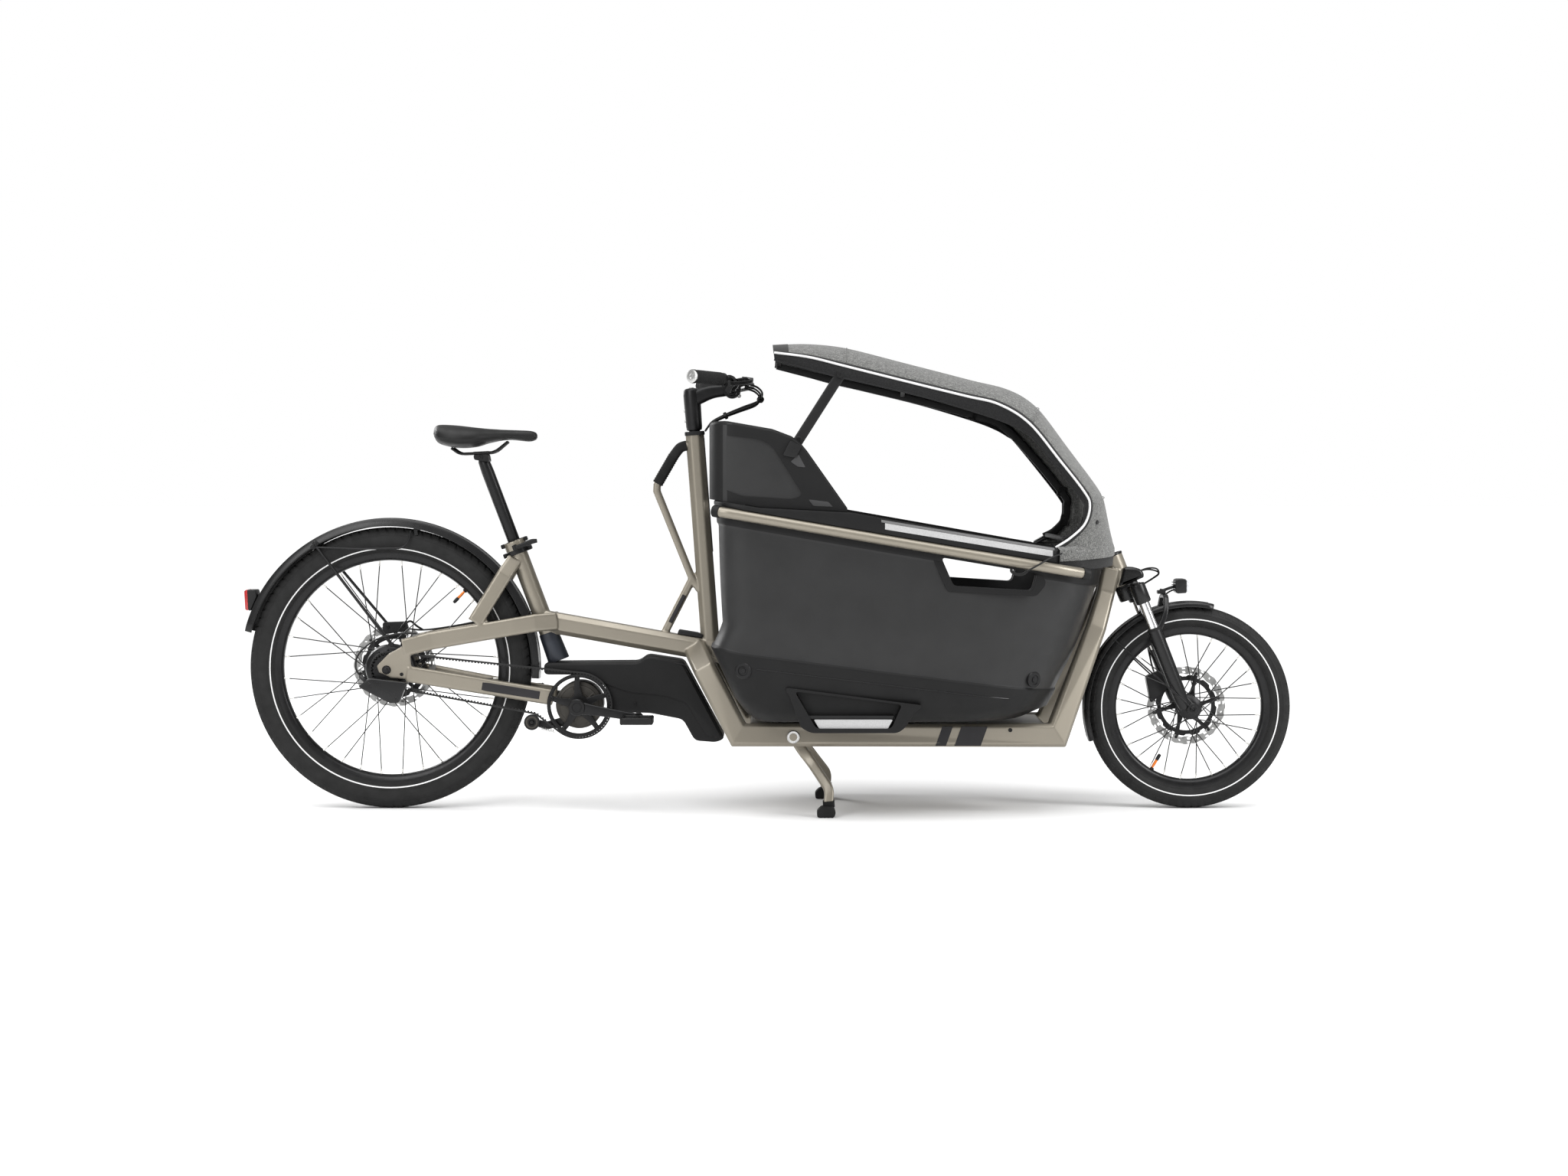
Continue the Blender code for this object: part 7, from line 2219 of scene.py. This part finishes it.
# Stand ------------------------------------------------------------------------------------------
def stand():
    """Two splayed legs on one shaft, caps on its ends, springs and rubber feet."""
    pivot = Vector((0.063, 0, 0.196))
    bm = bmesh.new()
    lathe(bm, [(-0.1715, 0.009), (-0.17, 0.0109), (0.17, 0.0109), (0.1715, 0.009)], pivot, steps=32)
    for side in (-1, 1):
        line = filleted([(0.063, 0.108 * side, 0.196), (0.083, 0.112 * side, 0.16),
                         (0.107, 0.122 * side, 0.13), (0.153, 0.172 * side, 0.066),
                         (0.149, 0.186 * side, 0.03)], 0.02, 6)
        grow = [(1.0 - 0.06 * i / (len(line) - 1),
                 1.06 - 0.14 * i / (len(line) - 1)) for i in range(len(line))]
        sweep(bm, line, soft_section(0.018, 0.026, 0.0065, 5), scales=grow)
        lathe(bm, [(-0.01, 0.0135), (-0.0085, 0.0155), (0.0085, 0.0155), (0.01, 0.0135)],
              pivot + Vector((0, 0.108 * side, 0)), steps=36)
    piece("stand_frame", bm, PAINT, "stand", ["kickstand"])
    bm = bmesh.new()
    for side in (-1, 1):
        lathe(bm, [(0.1665, 0.016), (0.169, 0.0162), (0.171, 0.0145), (0.171, 0.008), (0.1695, 0.007),
                   (0.1695, 0.0)], pivot, (0, side, 0), 36)
        coil = []
        for i in range(121):
            t = i / 120
            spot = Vector((0.072, 0.092 * side, 0.176)).lerp(Vector((0.112, 0.096 * side, 0.19)), t)
            coil.append(spot + Vector((0, 0.005 * cos(2 * pi * 12 * t), 0.005 * sin(2 * pi * 12 * t))))
        sweep(bm, coil, round_section(0.0014, count=6), side=(1, 0.1, 0.2))
    piece("stand_caps", bm, STEEL, "stand")
    for name, side in SIDES:
        bm = bmesh.new()
        outline = rounded_loop([(0.122, 0.0), (0.121, 0.016), (0.133, 0.0275), (0.162, 0.0275),
                                (0.168, 0.012), (0.164, 0.0)], 0.005, 4)
        slab(bm, outline, 0.1685 * side, 0.2055 * side)
        soften(bm, 0.003, 3, 60)
        sweep(bm, [(0.151, 0.1835 * side, 0.025), (0.15, 0.186 * side, 0.04)],
              soft_section(0.0215, 0.029, 0.007, 4))
        for i in range(4):
            x = 0.129 + i * 0.0095
            slab(bm, [(x, 0.0), (x + 0.004, 0.0), (x + 0.004, 0.003), (x, 0.003)], 0.1675 * side,
                 0.2064 * side)
        piece("stand_foot_" + name, bm, RUBBER, "stand", ["kickstand_foot_" + name])


canopy()
canopy_bows()
stand()


# Studio -----------------------------------------------------------------------------------------
def camera():
    data = bpy.data.cameras.new("camera")
    data.lens = 58.96
    data.clip_end = 200
    obj = bpy.data.objects.new("camera", data)
    obj.location = (0.04, -6.5, 0.845)
    downward = 2.53
    obj.rotation_euler = (radians(90 - downward), 0, 0)
    bpy.context.scene.collection.objects.link(obj)
    bpy.context.scene.camera = obj


def area_light(name, place, target, width, height, power):
    data = bpy.data.lights.new(name, "AREA")
    data.shape = "RECTANGLE"
    data.size, data.size_y, data.energy = width, height, power
    obj = bpy.data.objects.new(name, data)
    obj.location = place
    obj.rotation_euler = (Vector(target) - Vector(place)).to_track_quat("-Z", "Y").to_euler()
    bpy.context.scene.collection.objects.link(obj)


def studio():
    bm = bmesh.new()
    half = 60
    corners = ((-half, -half, 0), (half, -half, 0), (half, half, 0), (-half, half, 0))
    bm.faces.new([bm.verts.new(corner) for corner in corners])
    floor = new_object("floor", bm)
    floor.data.materials.append(Finish("floor", (0.86, 0.86, 0.86), 0.9, Specular_IOR_Level=0.0).material)
    floor.location.z = cad_bounds[0].z - 0.0005
    sun = bpy.data.lights.new("overhead", "SUN")
    sun.energy, sun.angle = 2.9, radians(65)
    overhead = bpy.data.objects.new("overhead", sun)
    overhead.rotation_euler = (radians(14), radians(-8), 0)
    bpy.context.scene.collection.objects.link(overhead)
    area_light("key", (-2.6, -4.2, 2.6), (0, 0, 0.5), 2.0, 2.6, 80)
    area_light("rim_left", (-3.2, 2.6, 2.4), (-0.3, 0, 0.6), 1.6, 2.0, 90)
    area_light("rim_right", (3.4, -1.8, 2.2), (0.5, 0, 0.5), 1.2, 2.2, 80)
    world = bpy.data.worlds.new("studio")
    world.use_nodes = True
    nodes, links = world.node_tree.nodes, world.node_tree.links
    background = nodes["Background"]
    background.inputs["Color"].default_value = (1, 1, 1, 1)
    seen = nodes.new("ShaderNodeLightPath")
    strength = nodes.new("ShaderNodeMapRange")
    strength.inputs["To Min"].default_value = 0.38
    strength.inputs["To Max"].default_value = 1.0
    links.new(seen.outputs["Is Camera Ray"], strength.inputs["Value"])
    links.new(strength.outputs[0], background.inputs["Strength"])
    bpy.context.scene.world = world
    bpy.context.scene.view_settings.view_transform = "Standard"


camera()
studio()
